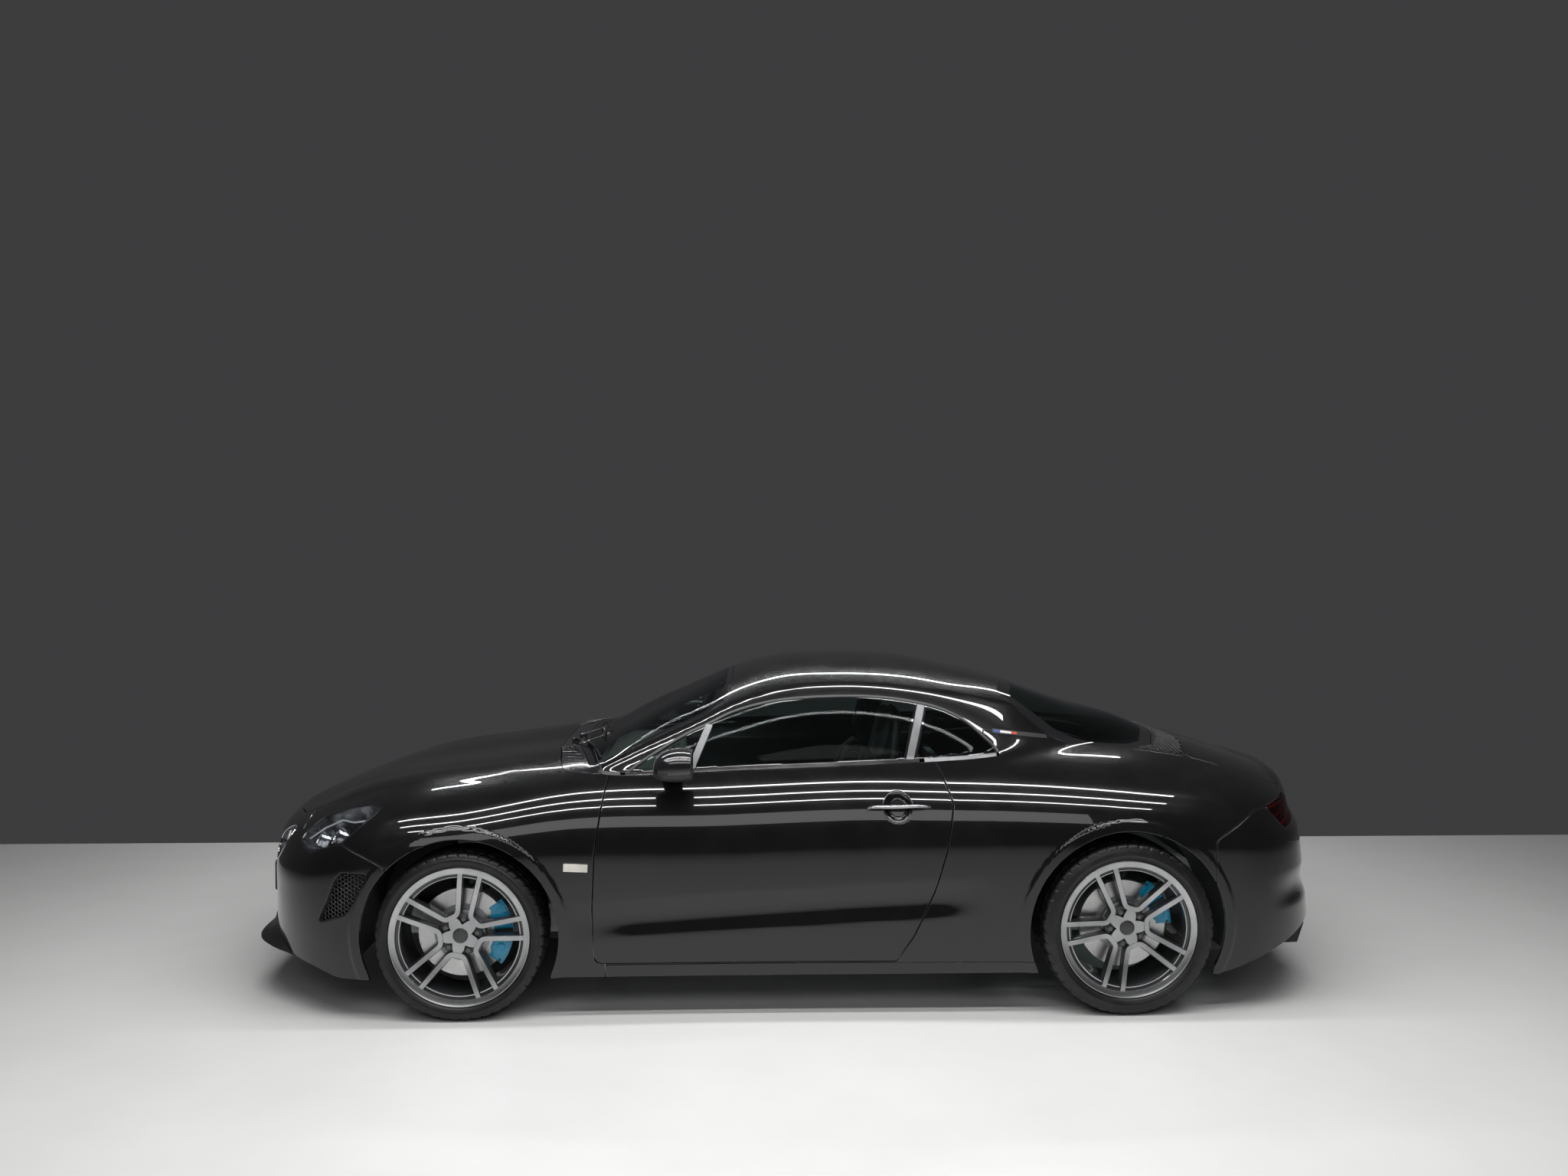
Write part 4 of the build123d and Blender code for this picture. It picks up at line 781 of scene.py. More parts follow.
def slab(points, norms, tris, inset, radius, depth, sink=0.0):
    # A panel: the outer skin pulled in from its outline, a rounded edge, a flange and an inner skin
    points, norms, tris = weldClose(points, norms, tris)
    loops = boundaryLoops(tris)
    points = points - norms * sink
    ringPoints, ringNormals, ringFaces = [], [], []
    count = len(points)
    outer = points.copy()
    edgeAt = []
    base = count
    angles = np.radians([35, 65, 90])
    lastRing = {}
    for loop in loops:
        loop = np.array(loop)
        p, n = points[loop], norms[loop]
        ahead = np.roll(p, -1, axis=0) - p
        ahead /= np.maximum(np.linalg.norm(ahead, axis=1, keepdims=True), 1e-6)
        outAhead = np.cross(ahead, n)
        outBehind = np.roll(outAhead, 1, axis=0)
        out = outAhead + outBehind
        out /= np.maximum(np.linalg.norm(out, axis=1, keepdims=True), 1e-6)
        miter = 1 / np.clip(np.sum(out * outAhead, 1, keepdims=True), 0.55, 1)
        out -= n * np.sum(out * n, 1, keepdims=True)
        out /= np.maximum(np.linalg.norm(out, axis=1, keepdims=True), 1e-6)
        edgeAt.append(p)
        ring0 = p - out * (inset + radius) * miter
        outer[loop] = ring0
        ringRows = [loop]
        for angle in angles:
            ringPoints.append(ring0 + out * radius * math.sin(angle) - n * radius * (1 - math.cos(angle)))
            ringNormals.append(out * math.sin(angle) + n * math.cos(angle))
            ringRows.append(base + np.arange(len(loop)))
            base += len(loop)
        ringPoints.append(ring0 + out * radius - n * depth)
        ringNormals.append(out - n * 0.6)
        ringRows.append(base + np.arange(len(loop)))
        base += len(loop)
        for a, b in zip(loop.tolist(), ringRows[-1].tolist()):
            lastRing[a] = b
        for r0, r1 in zip(ringRows, ringRows[1:]):
            n0, n1 = np.roll(r0, -1), np.roll(r1, -1)
            ringFaces.append(np.stack([r0, r1, n1, n0], 1))
    innerMap = np.arange(count) + base
    inner = outer - norms * depth
    for a, b in lastRing.items():
        innerMap[a] = b
    everything = np.concatenate([outer] + ringPoints + [inner])
    allNorms = np.concatenate([norms] + ringNormals + [-norms])
    faces = tris.tolist() + (np.concatenate(ringFaces).tolist()
                             if ringFaces else []) + innerMap[tris][:, ::-1].tolist()
    # Distance of every point from the outline, for borders and worn edges
    tree = KDTree(sum(len(e) for e in edgeAt) or 1)
    k = 0
    for e in edgeAt:
        for q in e:
            tree.insert(q, k)
            k += 1
    if not k:
        tree.insert((0, 0, 1e6), 0)
    tree.balance()
    edge = np.array([tree.find(q)[2] for q in everything])
    keep = np.unique([i for f in faces for i in f])
    renumber = np.full(len(everything), -1)
    renumber[keep] = np.arange(len(keep))
    return everything[keep], allNorms[keep], [[renumber[i] for i in f] for f in faces], edge[keep]


def makePanel(name, regions, body, material, nodes, inset, side=None, radius=2.4, depth=14.0,
              sink=0.0):
    # side: None for a panel across the centre line, else +1 for left and -1 for right
    points, norms, tris = regionMesh(regions, side is None)
    if side == -1:
        flip = np.array([1, -1, 1])
        points, norms, tris = points * flip, norms * flip, tris[:, ::-1]
    p, n, f, edge = slab(points, norms, tris, inset, radius, depth, sink)
    obj = newMesh(name, p, f, n, {"edge": edge})
    return finishPiece(obj, body, material, [m for m in nodes if m in nodeNames])
class Value:
    # Shader maths written as Python: each operator adds its Math node
    def __init__(self, tree, socket):
        self.tree, self.socket = tree, socket

    def combine(self, operation, a, b=None):
        node = self.tree.nodes.new("ShaderNodeMath")
        node.operation = operation
        for place, item in zip(node.inputs, (a, b)):
            if isinstance(item, Value):
                self.tree.links.new(item.socket, place)
            elif item is not None:
                place.default_value = item
        return Value(self.tree, node.outputs[0])

    def __add__(self, other):
        return self.combine("ADD", self, other)

    def __radd__(self, other):
        return self.combine("ADD", other, self)

    def __sub__(self, other):
        return self.combine("SUBTRACT", self, other)

    def __rsub__(self, other):
        return self.combine("SUBTRACT", other, self)

    def __mul__(self, other):
        return self.combine("MULTIPLY", self, other)

    def __rmul__(self, other):
        return self.combine("MULTIPLY", other, self)

    def __pow__(self, other):
        return self.combine("POWER", self, other)

    def apply(self, operation, other=None):
        return self.combine(operation, self, other)

    def clamped(self):
        return self.combine("MINIMUM", self.combine("MAXIMUM", self, 0.0), 1.0)

    def ramp(self, start, end):
        # 0 below start, 1 above end
        return ((self - start) * (1.0 / (end - start))).clamped()


class Finish:
    # One material: its tree, its Principled shader and a method for every other node
    def __init__(self, name, **sockets):
        self.material = bpy.data.materials.new(name)
        self.material.use_nodes = True
        self.tree = self.material.node_tree
        self.shader = self.tree.nodes["Principled BSDF"]
        self.output = self.tree.nodes["Material Output"]
        for key, value in sockets.items():
            self.put(key, value)

    def put(self, key, value):
        names = {"color": "Base Color", "roughness": "Roughness", "metallic": "Metallic",
                 "coat": "Coat Weight",
                 "coatRoughness": "Coat Roughness", "normal": "Normal", "ior": "IOR", "sheen": "Sheen Weight",
                 "sheenRoughness": "Sheen Roughness", "specular": "Specular IOR Level"}
        socket = self.shader.inputs[names[key]]
        if isinstance(value, Value):
            self.tree.links.new(value.socket, socket)
        elif isinstance(value, (tuple, list)):
            socket.default_value = (*value, 1.0) if len(value) == 3 else value
        else:
            socket.default_value = value

    def add(self, kind, settings=None, output=0, **values):
        node = self.tree.nodes.new(kind)
        for key, value in (settings or {}).items():
            setattr(node, key, value)
        for key, value in values.items():
            socket = node.inputs[int(key[1:])] if key[0] == "i" and key[1:].isdigit() else node.inputs[key]
            if isinstance(value, Value):
                self.tree.links.new(value.socket, socket)
            elif isinstance(value, tuple) and len(value) == 3 and socket.type == "RGBA":
                socket.default_value = (*value, 1.0)
            else:
                socket.default_value = value
        return Value(self.tree, node.outputs[output])

    def place(self):
        return self.add("ShaderNodeTexCoord", output=3)

    def noise(self, scale, detail=3.0, rough=0.5, stretch=None):
        vector = self.place()
        if stretch:
            vector = self.add("ShaderNodeMapping", i0=vector, i3=stretch)
        return self.add("ShaderNodeTexNoise", i0=vector, Scale=scale, Detail=detail, Roughness=rough)

    def cells(self, scale, feature="F1"):
        return self.add("ShaderNodeTexVoronoi", {"feature": feature}, i0=self.place(), Scale=scale)

    def named(self, attribute):
        return self.add("ShaderNodeAttribute", {"attribute_name": attribute}, output=2)

    def mix(self, factor, first, second):
        return self.add("ShaderNodeMix", {"data_type": "RGBA"}, 2, i0=factor, i6=first, i7=second)

    def bump(self, height, strength, distance):
        self.put("normal", self.add("ShaderNodeBump", Height=height, Strength=strength, Distance=distance))


def paint(name, color, second, worn=0.35):
    # Deep clear-coated paint: a fine orange peel, faint dust and a little wear at the panel edges
    m = Finish(name, roughness=0.22, coat=1.0, coatRoughness=0.012, ior=1.5, specular=0.08)
    flake = m.cells(1800.0)
    dust = m.noise(7.0, 5.0, 0.6)
    edge = m.named("edge").ramp(5.0, 2.0)
    base = m.mix(dust.ramp(0.45, 0.75) * 0.5 + flake * 0.12, color, second)
    m.put("color", m.mix(edge * worn, base, (0.05, 0.05, 0.052)))
    m.put("roughness", dust.ramp(0.4, 0.8) * 0.1 + 0.2)
    peel = m.noise(420.0, 1.0, 0.5)
    m.bump(peel, 0.02, 0.0004)
    return m.material


def plastic(name, color, rough=0.5, grain=900.0, coat=0.0, depth=0.00035):
    # Moulded plastic with a fine grain and dusty patches
    m = Finish(name, coat=coat)
    speck = m.cells(grain)
    patch = m.noise(9.0, 4.0)
    light = tuple(min(1.0, c * 1.6 + 0.004) for c in color)
    m.put("color", m.mix(patch.ramp(0.35, 0.75), color, light))
    m.put("roughness", patch * 0.14 + (rough - 0.07))
    m.bump(speck, 0.35, depth)
    return m.material


def metal(name, color, rough=0.3, brushed=(1.0, 1.0, 1.0), scale=260.0, depth=0.0002):
    # Bare metal with fine brushed or cast marks
    m = Finish(name, metallic=1.0)
    marks = m.noise(scale, 4.0, 0.6, stretch=brushed)
    stain = m.noise(12.0, 5.0, 0.6)
    dark = tuple(c * 0.72 for c in color)
    m.put("color", m.mix(stain.ramp(0.35, 0.8), color, dark))
    m.put("roughness", marks * 0.16 + stain * 0.1 + (rough - 0.13))
    m.bump(marks, 0.3, depth)
    return m.material


def glass(name, tint, clearness, border=0.0, rough=0.0):
    # A see-through pane: clear face on, a mirror at a glance, with a black printed border where one is given
    m = Finish(name, color=(0.012, 0.012, 0.013), roughness=0.06)
    m.put("roughness", m.noise(30.0, 4.0) * 0.04 + 0.005 + rough)
    clear = m.tree.nodes.new("ShaderNodeBsdfTransparent")
    clear.inputs[0].default_value = (*tint, 1.0)
    mixer = m.tree.nodes.new("ShaderNodeMixShader")
    facing = m.add("ShaderNodeLayerWeight", output="Facing", Blend=0.5)
    amount = (facing ** 5.0 * 0.92 + (1.06 - clearness)).clamped()
    if border:
        amount = amount.apply("MAXIMUM", m.named("edge").ramp(border + 3.0, border))
    m.tree.links.new(amount.socket, mixer.inputs[0])
    m.tree.links.new(clear.outputs[0], mixer.inputs[1])
    m.tree.links.new(m.shader.outputs[0], mixer.inputs[2])
    m.tree.links.new(mixer.outputs[0], m.output.inputs["Surface"])
    return m.material


def leather(name, color, grain=420.0):
    m = Finish(name, sheen=0.25, sheenRoughness=0.5)
    pores = m.cells(grain, "DISTANCE_TO_EDGE")
    worn = m.noise(16.0, 5.0, 0.6)
    lighter = tuple(min(1.0, c * 1.9 + 0.008) for c in color)
    m.put("color", m.mix(worn.ramp(0.4, 0.75), color, lighter))
    m.put("roughness", worn * 0.2 + 0.42)
    m.bump(pores.ramp(0.0, 0.12), 0.35, 0.0004)
    return m.material


def rubber(name, color=(0.010, 0.010, 0.0105)):
    m = Finish(name, specular=0.35)
    dust = m.noise(22.0, 6.0, 0.65)
    fineGrain = m.cells(1500.0)
    m.put("color", m.mix(dust.ramp(0.5, 0.9), color, (0.032, 0.031, 0.029)))
    m.put("roughness", dust * 0.2 + 0.3)
    m.bump(fineGrain, 0.25, 0.0003)
    return m.material


finishes = {
    "paint": paint("glossBlackPaint", (0.0045, 0.0045, 0.005), (0.009, 0.009, 0.0095)),
    "satin": plastic("satinBlackPlastic", (0.013, 0.0132, 0.014), 0.48),
    "gloss": plastic("glossBlackTrim", (0.008, 0.008, 0.009), 0.16, 2200.0, 1.0, 0.00005),
    "underseal": plastic("blackUnderseal", (0.03, 0.03, 0.03), 0.75, 350.0, 0.0, 0.0012),
    "screenGlass": glass("windscreenGlass", (0.80, 0.86, 0.84), 0.97, 24.0),
    "sideGlass": glass("sideGlass", (0.72, 0.79, 0.77), 0.96, 7.0),
    "darkGlass": glass("rearGlass", (0.62, 0.72, 0.68), 0.95, 46.0),
    "lensGlass": glass("clearLens", (0.93, 0.94, 0.95), 0.985, 3.0),
    "rim": metal("machinedAlloy", (0.47, 0.475, 0.485), 0.3, (1, 1, 1), 300.0),
    "rimDark": plastic("darkWheelLacquer", (0.016, 0.0165, 0.018), 0.35, 1600.0, 0.6, 0.0001),
    "disc": metal("turnedDiscSteel", (0.62, 0.62, 0.62), 0.34, (1, 30, 1), 180.0),
    "caliper": paint("blueCaliperPaint", (0.015, 0.36, 0.62), (0.03, 0.42, 0.68), 0.0),
    "alloy": metal("castAlloy", (0.42, 0.43, 0.44), 0.5, (1, 1, 1), 90.0, 0.0006),
    "iron": metal("darkIron", (0.16, 0.16, 0.165), 0.55, (1, 1, 1), 120.0, 0.0008),
    "pipe": metal("polishedPipe", (0.62, 0.60, 0.57), 0.2, (30, 1, 1), 150.0),
    "rubber": rubber("blackRubber"),
    "leather": leather("blackLeather", (0.014, 0.014, 0.015)),
    "chrome": metal("brightTrim", (0.75, 0.76, 0.77), 0.14, (1, 1, 1), 400.0, 0.00005),
    "greyTrim": metal("satinGreyTrim", (0.17, 0.172, 0.176), 0.42, (1, 20, 1), 200.0, 0.0001),
    "handleMetal": metal("smokedHandleMetal", (0.30, 0.30, 0.31), 0.2, (1, 1, 1), 300.0, 0.00005),
    "dashBlue": plastic("blueDash", (0.012, 0.05, 0.30), 0.3, 1500.0, 0.5, 0.0001),
    "dashWhite": plastic("whiteDash", (0.62, 0.62, 0.60), 0.3, 1500.0, 0.5, 0.0001),
    "dashRed": plastic("redDash", (0.55, 0.035, 0.02), 0.3, 1500.0, 0.5, 0.0001),
    "lampTray": metal("smokedLampTray", (0.34, 0.345, 0.36), 0.24, (1, 1, 1), 120.0, 0.00005),
    "lampBall": glass("lampBallGlass", (0.75, 0.8, 0.86), 0.75, 0.0),
    "lampBar": plastic("frostedLightBar", (0.72, 0.74, 0.77), 0.22, 900.0, 1.0, 0.0001),
    "tailRed": plastic("redLightBlade", (0.52, 0.006, 0.008), 0.18, 900.0, 1.0, 0.0001),
    "tailDark": plastic("darkRedReflector", (0.20, 0.004, 0.006), 0.3, 500.0, 0.6, 0.0004),
    "tailGlass": glass("smokedRedLens", (0.62, 0.16, 0.15), 0.97, 3.0),
    "indicatorLens": plastic("paleIndicatorLens", (0.60, 0.58, 0.53), 0.14, 700.0, 1.0, 0.0002),
}
paintWork = finishes["paint"]
shut, seam = 2.3, 0.8
makePanel("bonnet_skin", ["bonnet"], "bonnet", paintWork, ["bonnet"], shut)
makePanel("boot_lid_skin", ["boot"], "boot_lid", paintWork, ["boot_lid"], shut)
makePanel("roof_skin", ["roof"], "root", paintWork, ["roof_panel"], seam, depth=18.0)
makePanel("front_bumper_skin", ["frontBumper"], "root", paintWork, ["front_bumper"], seam)
makePanel("rear_bumper_skin", ["rearBumper"], "root", paintWork, ["rear_bumper"], seam)
makePanel("scuttle_skin", ["scuttle"], "root", finishes["gloss"], ["scuttle"], seam,
          radius=1.5)
makePanel("engine_vent_frame", ["vent"], "root", finishes["gloss"], ["engine_vent"], seam,
          radius=1.5)
makePanel("windscreen_glass", ["screen"], "root", finishes["screenGlass"], ["windscreen"], 1.2,
          radius=0.8, depth=5.0, sink=1.5)
makePanel("rear_window_glass", ["rearGlass"], "root", finishes["darkGlass"], ["rear_window"],
          1.2,
          radius=0.8, depth=5.0, sink=1.5)
for side, word in ((1, "left"), (-1, "right")):
    makePanel("door_skin_" + word, ["door"], "door_" + word, paintWork, [], shut, side)
    makePanel("front_wing_skin_" + word, ["wing"], "root", paintWork, ["front_wing_" + word], seam,
              side)
    makePanel("rear_quarter_skin_" + word, ["quarter"], "root", paintWork, ["rear_quarter_" + word],
              seam,
              side)
    makePanel("door_glass_pane_" + word, ["sideFront"], "door_" + word, finishes["sideGlass"],
              ["door_glass_" + word], 1.5, side, 0.8, 4.5, 2.0)
for name, regions, slotName, material, nodes, radius, depth, sink in (
        ("sill_skins", ["sill"], "paint", paintWork, ["sill_covers"], 2.0, 12.0, 0.0),
        ("quarter_panes", ["sideRear"], "clear_glass", finishes["sideGlass"], ["quarter_windows"], 0.8, 4.5,
         2.0),
        ("window_posts", ["post"], "satin_black", finishes["greyTrim"], [], 1.0, 8.0, 0.5),
        ("head_lamp_lenses", ["headlamp"], "lamp_glass", finishes["lensGlass"], ["front_lamps"], 1.2, 3.0,
         0.6),
        ("driving_lamp_lenses", ["drivingLamp"], "lamp_glass", finishes["lensGlass"], ["front_lamps"], 1.2,
         3.0, 3.0),
        ("tail_lamp_lenses", ["tailLamp"], "lamp_red", finishes["tailGlass"], ["tail_lamps"], 1.2, 3.0, 0.6)):
    for side, word in ((1, "left"), (-1, "right")):
        makePanel(name + "_" + word, regions, "root", material, nodes, 0.9, side, radius, depth,
                  sink)
print("panels made")
def spun(profile, steps=96):
    # A closed (radius, y) outline turned about the axle
    prof = np.array(profile, float)
    angles = np.linspace(0, 2 * math.pi, steps, endpoint=False)
    points = np.stack([prof[None, :, 0] * np.cos(angles)[:, None],
                       np.repeat(prof[None, :, 1], steps, 0),
                       prof[None, :, 0] * np.sin(angles)[:, None]], -1).reshape(-1, 3)
    n = len(prof)
    a = np.arange(steps)[:, None] * n
    b = ((np.arange(steps) + 1) % steps)[:, None] * n
    i, j = np.arange(n)[None], ((np.arange(n) + 1) % n)[None]
    faces = np.stack([a + i, b + i, b + j, a + j], -1).reshape(-1, 4)
    return points, faces.tolist()


def joinParts(parts):
    # Several (points, faces, material number) as one
    points, faces, marks, start = [], [], [], 0
    for p, f, m in parts:
        points.append(np.asarray(p, float))
        faces += [[i + start for i in face] for face in f]
        marks += [m] * len(f) if np.isscalar(m) else list(m)
        start += len(p)
    return np.concatenate(points), faces, marks


def solid(name, points, faces, marks=None, sharp=32.0, bevel=0.0, segments=2, levels=0):
    # A closed mesh with its normals pointing outwards, its edges rounded where a bevel is given
    obj = newMesh(name, points, faces, None, None, marks)
    work = bmesh.new()
    work.from_mesh(obj.data)
    bmesh.ops.remove_doubles(work, verts=work.verts, dist=1e-6)
    bmesh.ops.recalc_face_normals(work, faces=work.faces)
    work.to_mesh(obj.data)
    work.free()
    if bevel or levels:
        if bevel:
            rounder = obj.modifiers.new("edges", "BEVEL")
            rounder.width, rounder.segments, rounder.limit_method = bevel / 1000, segments, "ANGLE"
            rounder.angle_limit = math.radians(sharp)
            rounder.harden_normals = False
        if levels:
            smoother = obj.modifiers.new("smooth", "SUBSURF")
            smoother.levels = smoother.render_levels = levels
        settle(obj)
    obj.data.polygons.foreach_set("use_smooth", [True] * len(obj.data.polygons))
    obj.data.set_sharp_from_angle(angle=math.radians(sharp))
    return obj


def settle(obj):
    # Applies the object's modifiers
    graph = bpy.context.evaluated_depsgraph_get()
    mesh = bpy.data.meshes.new_from_object(obj.evaluated_get(graph))
    obj.modifiers.clear()
    obj.data = mesh


def moved(obj, matrix):
    # Bakes a place, a turn or a mirror into the mesh
    obj.data.transform(matrix)
    if matrix.determinant() < 0:
        obj.data.flip_normals()
    obj.data.update()
    return obj


def copyOf(obj, name, matrix):
    other = obj.copy()
    other.data = obj.data.copy()
    other.name = name
    bpy.context.scene.collection.objects.link(other)
    return moved(other, matrix)


def at3(x, y, z):
    return Matrix.Translation(Vector((x, y, z)) / 1000)


mirrorSide = Matrix.Diagonal((1, -1, 1, 1))


def extruded(outline, y0, y1):
    # An (x, z) outline carried along Y
    n = len(outline)
    pts = [(x, y0, z) for x, z in outline] + [(x, y1, z) for x, z in outline]
    faces = [[i, (i + 1) % n, n + (i + 1) % n, n + i] for i in range(n)]
    return np.array(pts, float), faces + [list(range(n))[::-1], list(range(n, 2 * n))]


def tubeFaces(n, m, closed=False):
    # Faces between n rings of m points: capped at both ends, or running round to the first ring
    faces = [[i * m + j, i * m + (j + 1) % m, (i + 1) % n * m + (j + 1) % m, (i + 1) % n * m + j]
             for i in range(n if closed else n - 1) for j in range(m)]
    if not closed:
        faces += [list(range(m))[::-1], list(range((n - 1) * m, n * m))]
    return faces


def sweptBar(path, section):
    # A bar along a path of (x, y, z) points lying roughly in the wheel's face; section is (across, depth)
    path, section = np.array(path, float), np.array(section, float)
    ahead = np.gradient(path, axis=0)
    ahead /= np.linalg.norm(ahead, axis=1, keepdims=True)
    outward = np.array([0, 1.0, 0])
    side = np.cross(ahead, outward)
    side /= np.linalg.norm(side, axis=1, keepdims=True)
    points = (path[:, None] + side[:, None] * section[None, :, :1]
              + outward[None, None] * section[None, :, 1:]).reshape(-1, 3)
    return points, tubeFaces(len(path), len(section))


# Wheels: ten slim spokes in five pairs, joined by bridges near the hub
wheelSizes = {"lip": 252.5, "barrel": 214.0, "spokeEnd": 233.0, "bend": 80.0, "spreadHub": 23.0,
              "spreadRim": 36.0,
              "face": 8.5, "spokeDepth": 30.0, "pairs": 5}


def wheelRim(name, half, firstAngle):
    w = wheelSizes
    lip, barrel = w["lip"], w["barrel"]
    ringProfile = [(lip, half - 10), (lip, half - 1), (lip - 2, half + 1), (lip - 4, half + 1),
                   (lip - 8, half - 1.5),
                   (229, half - 5), (227.5, half - 7), (227, half - 13), (219, half - 16), (218, half - 13.5),
                   (214, half - 13.5), (213, half - 18), (barrel - 3, half - 30), (barrel - 6, 0),
                   (barrel - 3, 20 - half), (lip - 14, 4 - half), (lip - 3, -half), (lip, -half),
                   (lip, 8 - half),
                   (barrel + 7, 22 - half), (barrel + 4, half - 30), (lip - 12, half - 14)]
    p, f = spun(ringProfile, 160)
    n = len(ringProfile)
    faceMark = [0 if (k % n) in (0, 1, 2, 3, 4, 9) else 1 for k in range(len(f))]
    parts = [(p, f, faceMark)]
    hubY, rimY = half - 24, half - 5
    section = [(-w["face"], 0), (w["face"], 0), (w["face"] + 2.5, -7), (w["face"] + 5, -w["spokeDepth"]),
               (-w["face"] - 5, -w["spokeDepth"]), (-w["face"] - 2.5, -7)]
    step = 2 * math.pi / w["pairs"]
    for k in range(w["pairs"]):
        centre = math.radians(firstAngle) + k * step

        def onSpoke(pair, sign, r):
            share = (r - w["bend"]) / (w["spokeEnd"] - w["bend"])
            off = sign * (w["spreadHub"] + (w["spreadRim"] - w["spreadHub"]) * share)
            along = math.sqrt(max(r * r - off * off, 0))
            x = along * math.cos(pair) - off * math.sin(pair)
            z = along * math.sin(pair) + off * math.cos(pair)
            return np.array([x, hubY + (rimY - hubY) * stepUp(share, 0.0, 1.05), z])
        ends = [onSpoke(centre, 1, r) for r in np.linspace(w["spokeEnd"], w["bend"] + 12, 9)]
        corner = onSpoke(centre, 1, w["bend"] - 4)
        corner2 = onSpoke(centre + step, -1, w["bend"] - 4)
        back = [onSpoke(centre + step, -1, r) for r in np.linspace(w["bend"] + 12, w["spokeEnd"], 9)]
        bend1 = [(1 - t) ** 2 * ends[-1] + 2 * t * (1 - t) * corner + t * t * (corner * 0.72 + corner2 * 0.28)
                 for t in (0.25, 0.5, 0.75, 1)]
        bend2 = [(1 - t) ** 2 * (corner * 0.28 + corner2 * 0.72) + 2 * t * (1 - t) * corner2 + t * t * back[0]
                 for t in (0, 0.25, 0.5, 0.75)]
        q, g = sweptBar(ends + bend1 + bend2 + back, section)
        m = len(section)
        marks = [0 if (i % m) == 0 and i < len(g) - 2 else 1 for i in range(len(g))]
        parts.append((q, g, marks))
    # Hub: a rounded star whose arms reach the bridges, and the plain centre cap
    angles = np.linspace(0, 2 * math.pi, 180, endpoint=False)
    lobe = 0.5 - 0.5 * np.cos(w["pairs"] * (angles - math.radians(firstAngle)))
    outline = 41 + 33 * lobe ** 0.7
    rings = []
    for scale, y in ((1.0, half - 62), (1.0, hubY - 5), (0.965, hubY - 2), (0.42, hubY - 2),
                     (0.40, half - 62)):
        r = outline * scale if scale > 0.5 else np.full(180, 27.5)
        rings.append(np.stack([r * np.cos(angles), np.full(180, y), r * np.sin(angles)], 1))
    q = np.concatenate(rings)
    g = [[a * 180 + i, a * 180 + (i + 1) % 180, b * 180 + (i + 1) % 180, b * 180 + i]
         for a, b in ((0, 1), (1, 2), (2, 3), (3, 4), (4, 0)) for i in range(180)]
    parts.append((q, g, [1] * 180 + [0] * 360 + [1] * 360))
    q, g = spun([(27, half - 60), (27, hubY - 1), (25.5, hubY + 1), (23, hubY + 1.6), (22, hubY + 0.2),
                 (8, hubY + 1.2),
                 (0.01, hubY + 1.4), (0.01, half - 60)], 60)
    parts.append((q, g, 1))
    q, g = spun([(77, 41), (77, half - 42), (74, half - 40), (30, half - 40), (30, 41)], 90)
    parts.append((q, g, 1))
    return solid(name, *joinParts(parts), sharp=28)


def wheelTyre(name, radius, half, rimHalf):
    # Sidewall rings and a grooved tread; the rows run round the tyre
    steps = 384
    lip = wheelSizes["lip"]
    side = [(lip + 0.5, rimHalf - 12), (lip + 0.5, rimHalf - 3), (lip + 3, rimHalf + 1),
            (lip + 8, rimHalf + 4.5),
            (lip + 10, rimHalf + 4.0), (lip + 12, rimHalf + 5.5), (lip + 20, half - 0.8),
            (lip + 22, half - 0.1),
            (lip + 24, half - 0.8), (lip + 30, half - 1.6), (radius - 22, half - 4),
            (radius - 19, half - 6.4),
            (radius - 16, half - 6.6), (radius - 9, half - 12)]
    crownHalf = half - 17
    across = np.linspace(crownHalf, -crownHalf, 42)
    crown = [(radius - 1.2 - 3.2 * (abs(y) / crownHalf) ** 3, y) for y in across]
    prof = side + crown + [(r, -y) for r, y in reversed(side)]
    prof += [(lip - 4, 12 - rimHalf), (lip - 4, rimHalf - 12)]
    points, faces = spun(prof, steps)
    n = len(prof)
    turn = np.repeat(np.arange(steps), n)
    row = np.tile(np.arange(n), steps)
    r = np.hypot(points[:, 0], points[:, 2])
    y = points[:, 1]
    tread = (row >= len(side) - 2) & (row < len(side) + 44)
    groove = np.zeros(len(points))
    for place in (-0.62, -0.21, 0.21, 0.62):
        groove = np.maximum(groove, 6.0 * (np.abs(y - place * crownHalf) < 4.2))
    band = np.abs(y) / crownHalf
    slant = (turn / 8.0 + band * 0.9 + np.sign(y) * 0.25) % 1.0
    groove = np.maximum(groove, 4.5 * (slant < 0.15) * (band > 0.25) * (band < 1.12))
    slant = (turn / 16.0 - band * 1.4) % 1.0
    groove = np.maximum(groove, 3.5 * (slant < 0.08) * (band <= 0.6))
    shrink = np.where(tread, (r - groove) / np.maximum(r, 1), 1)
    points[:, 0] *= shrink
    points[:, 2] *= shrink
    return solid(name, points, faces, sharp=38)


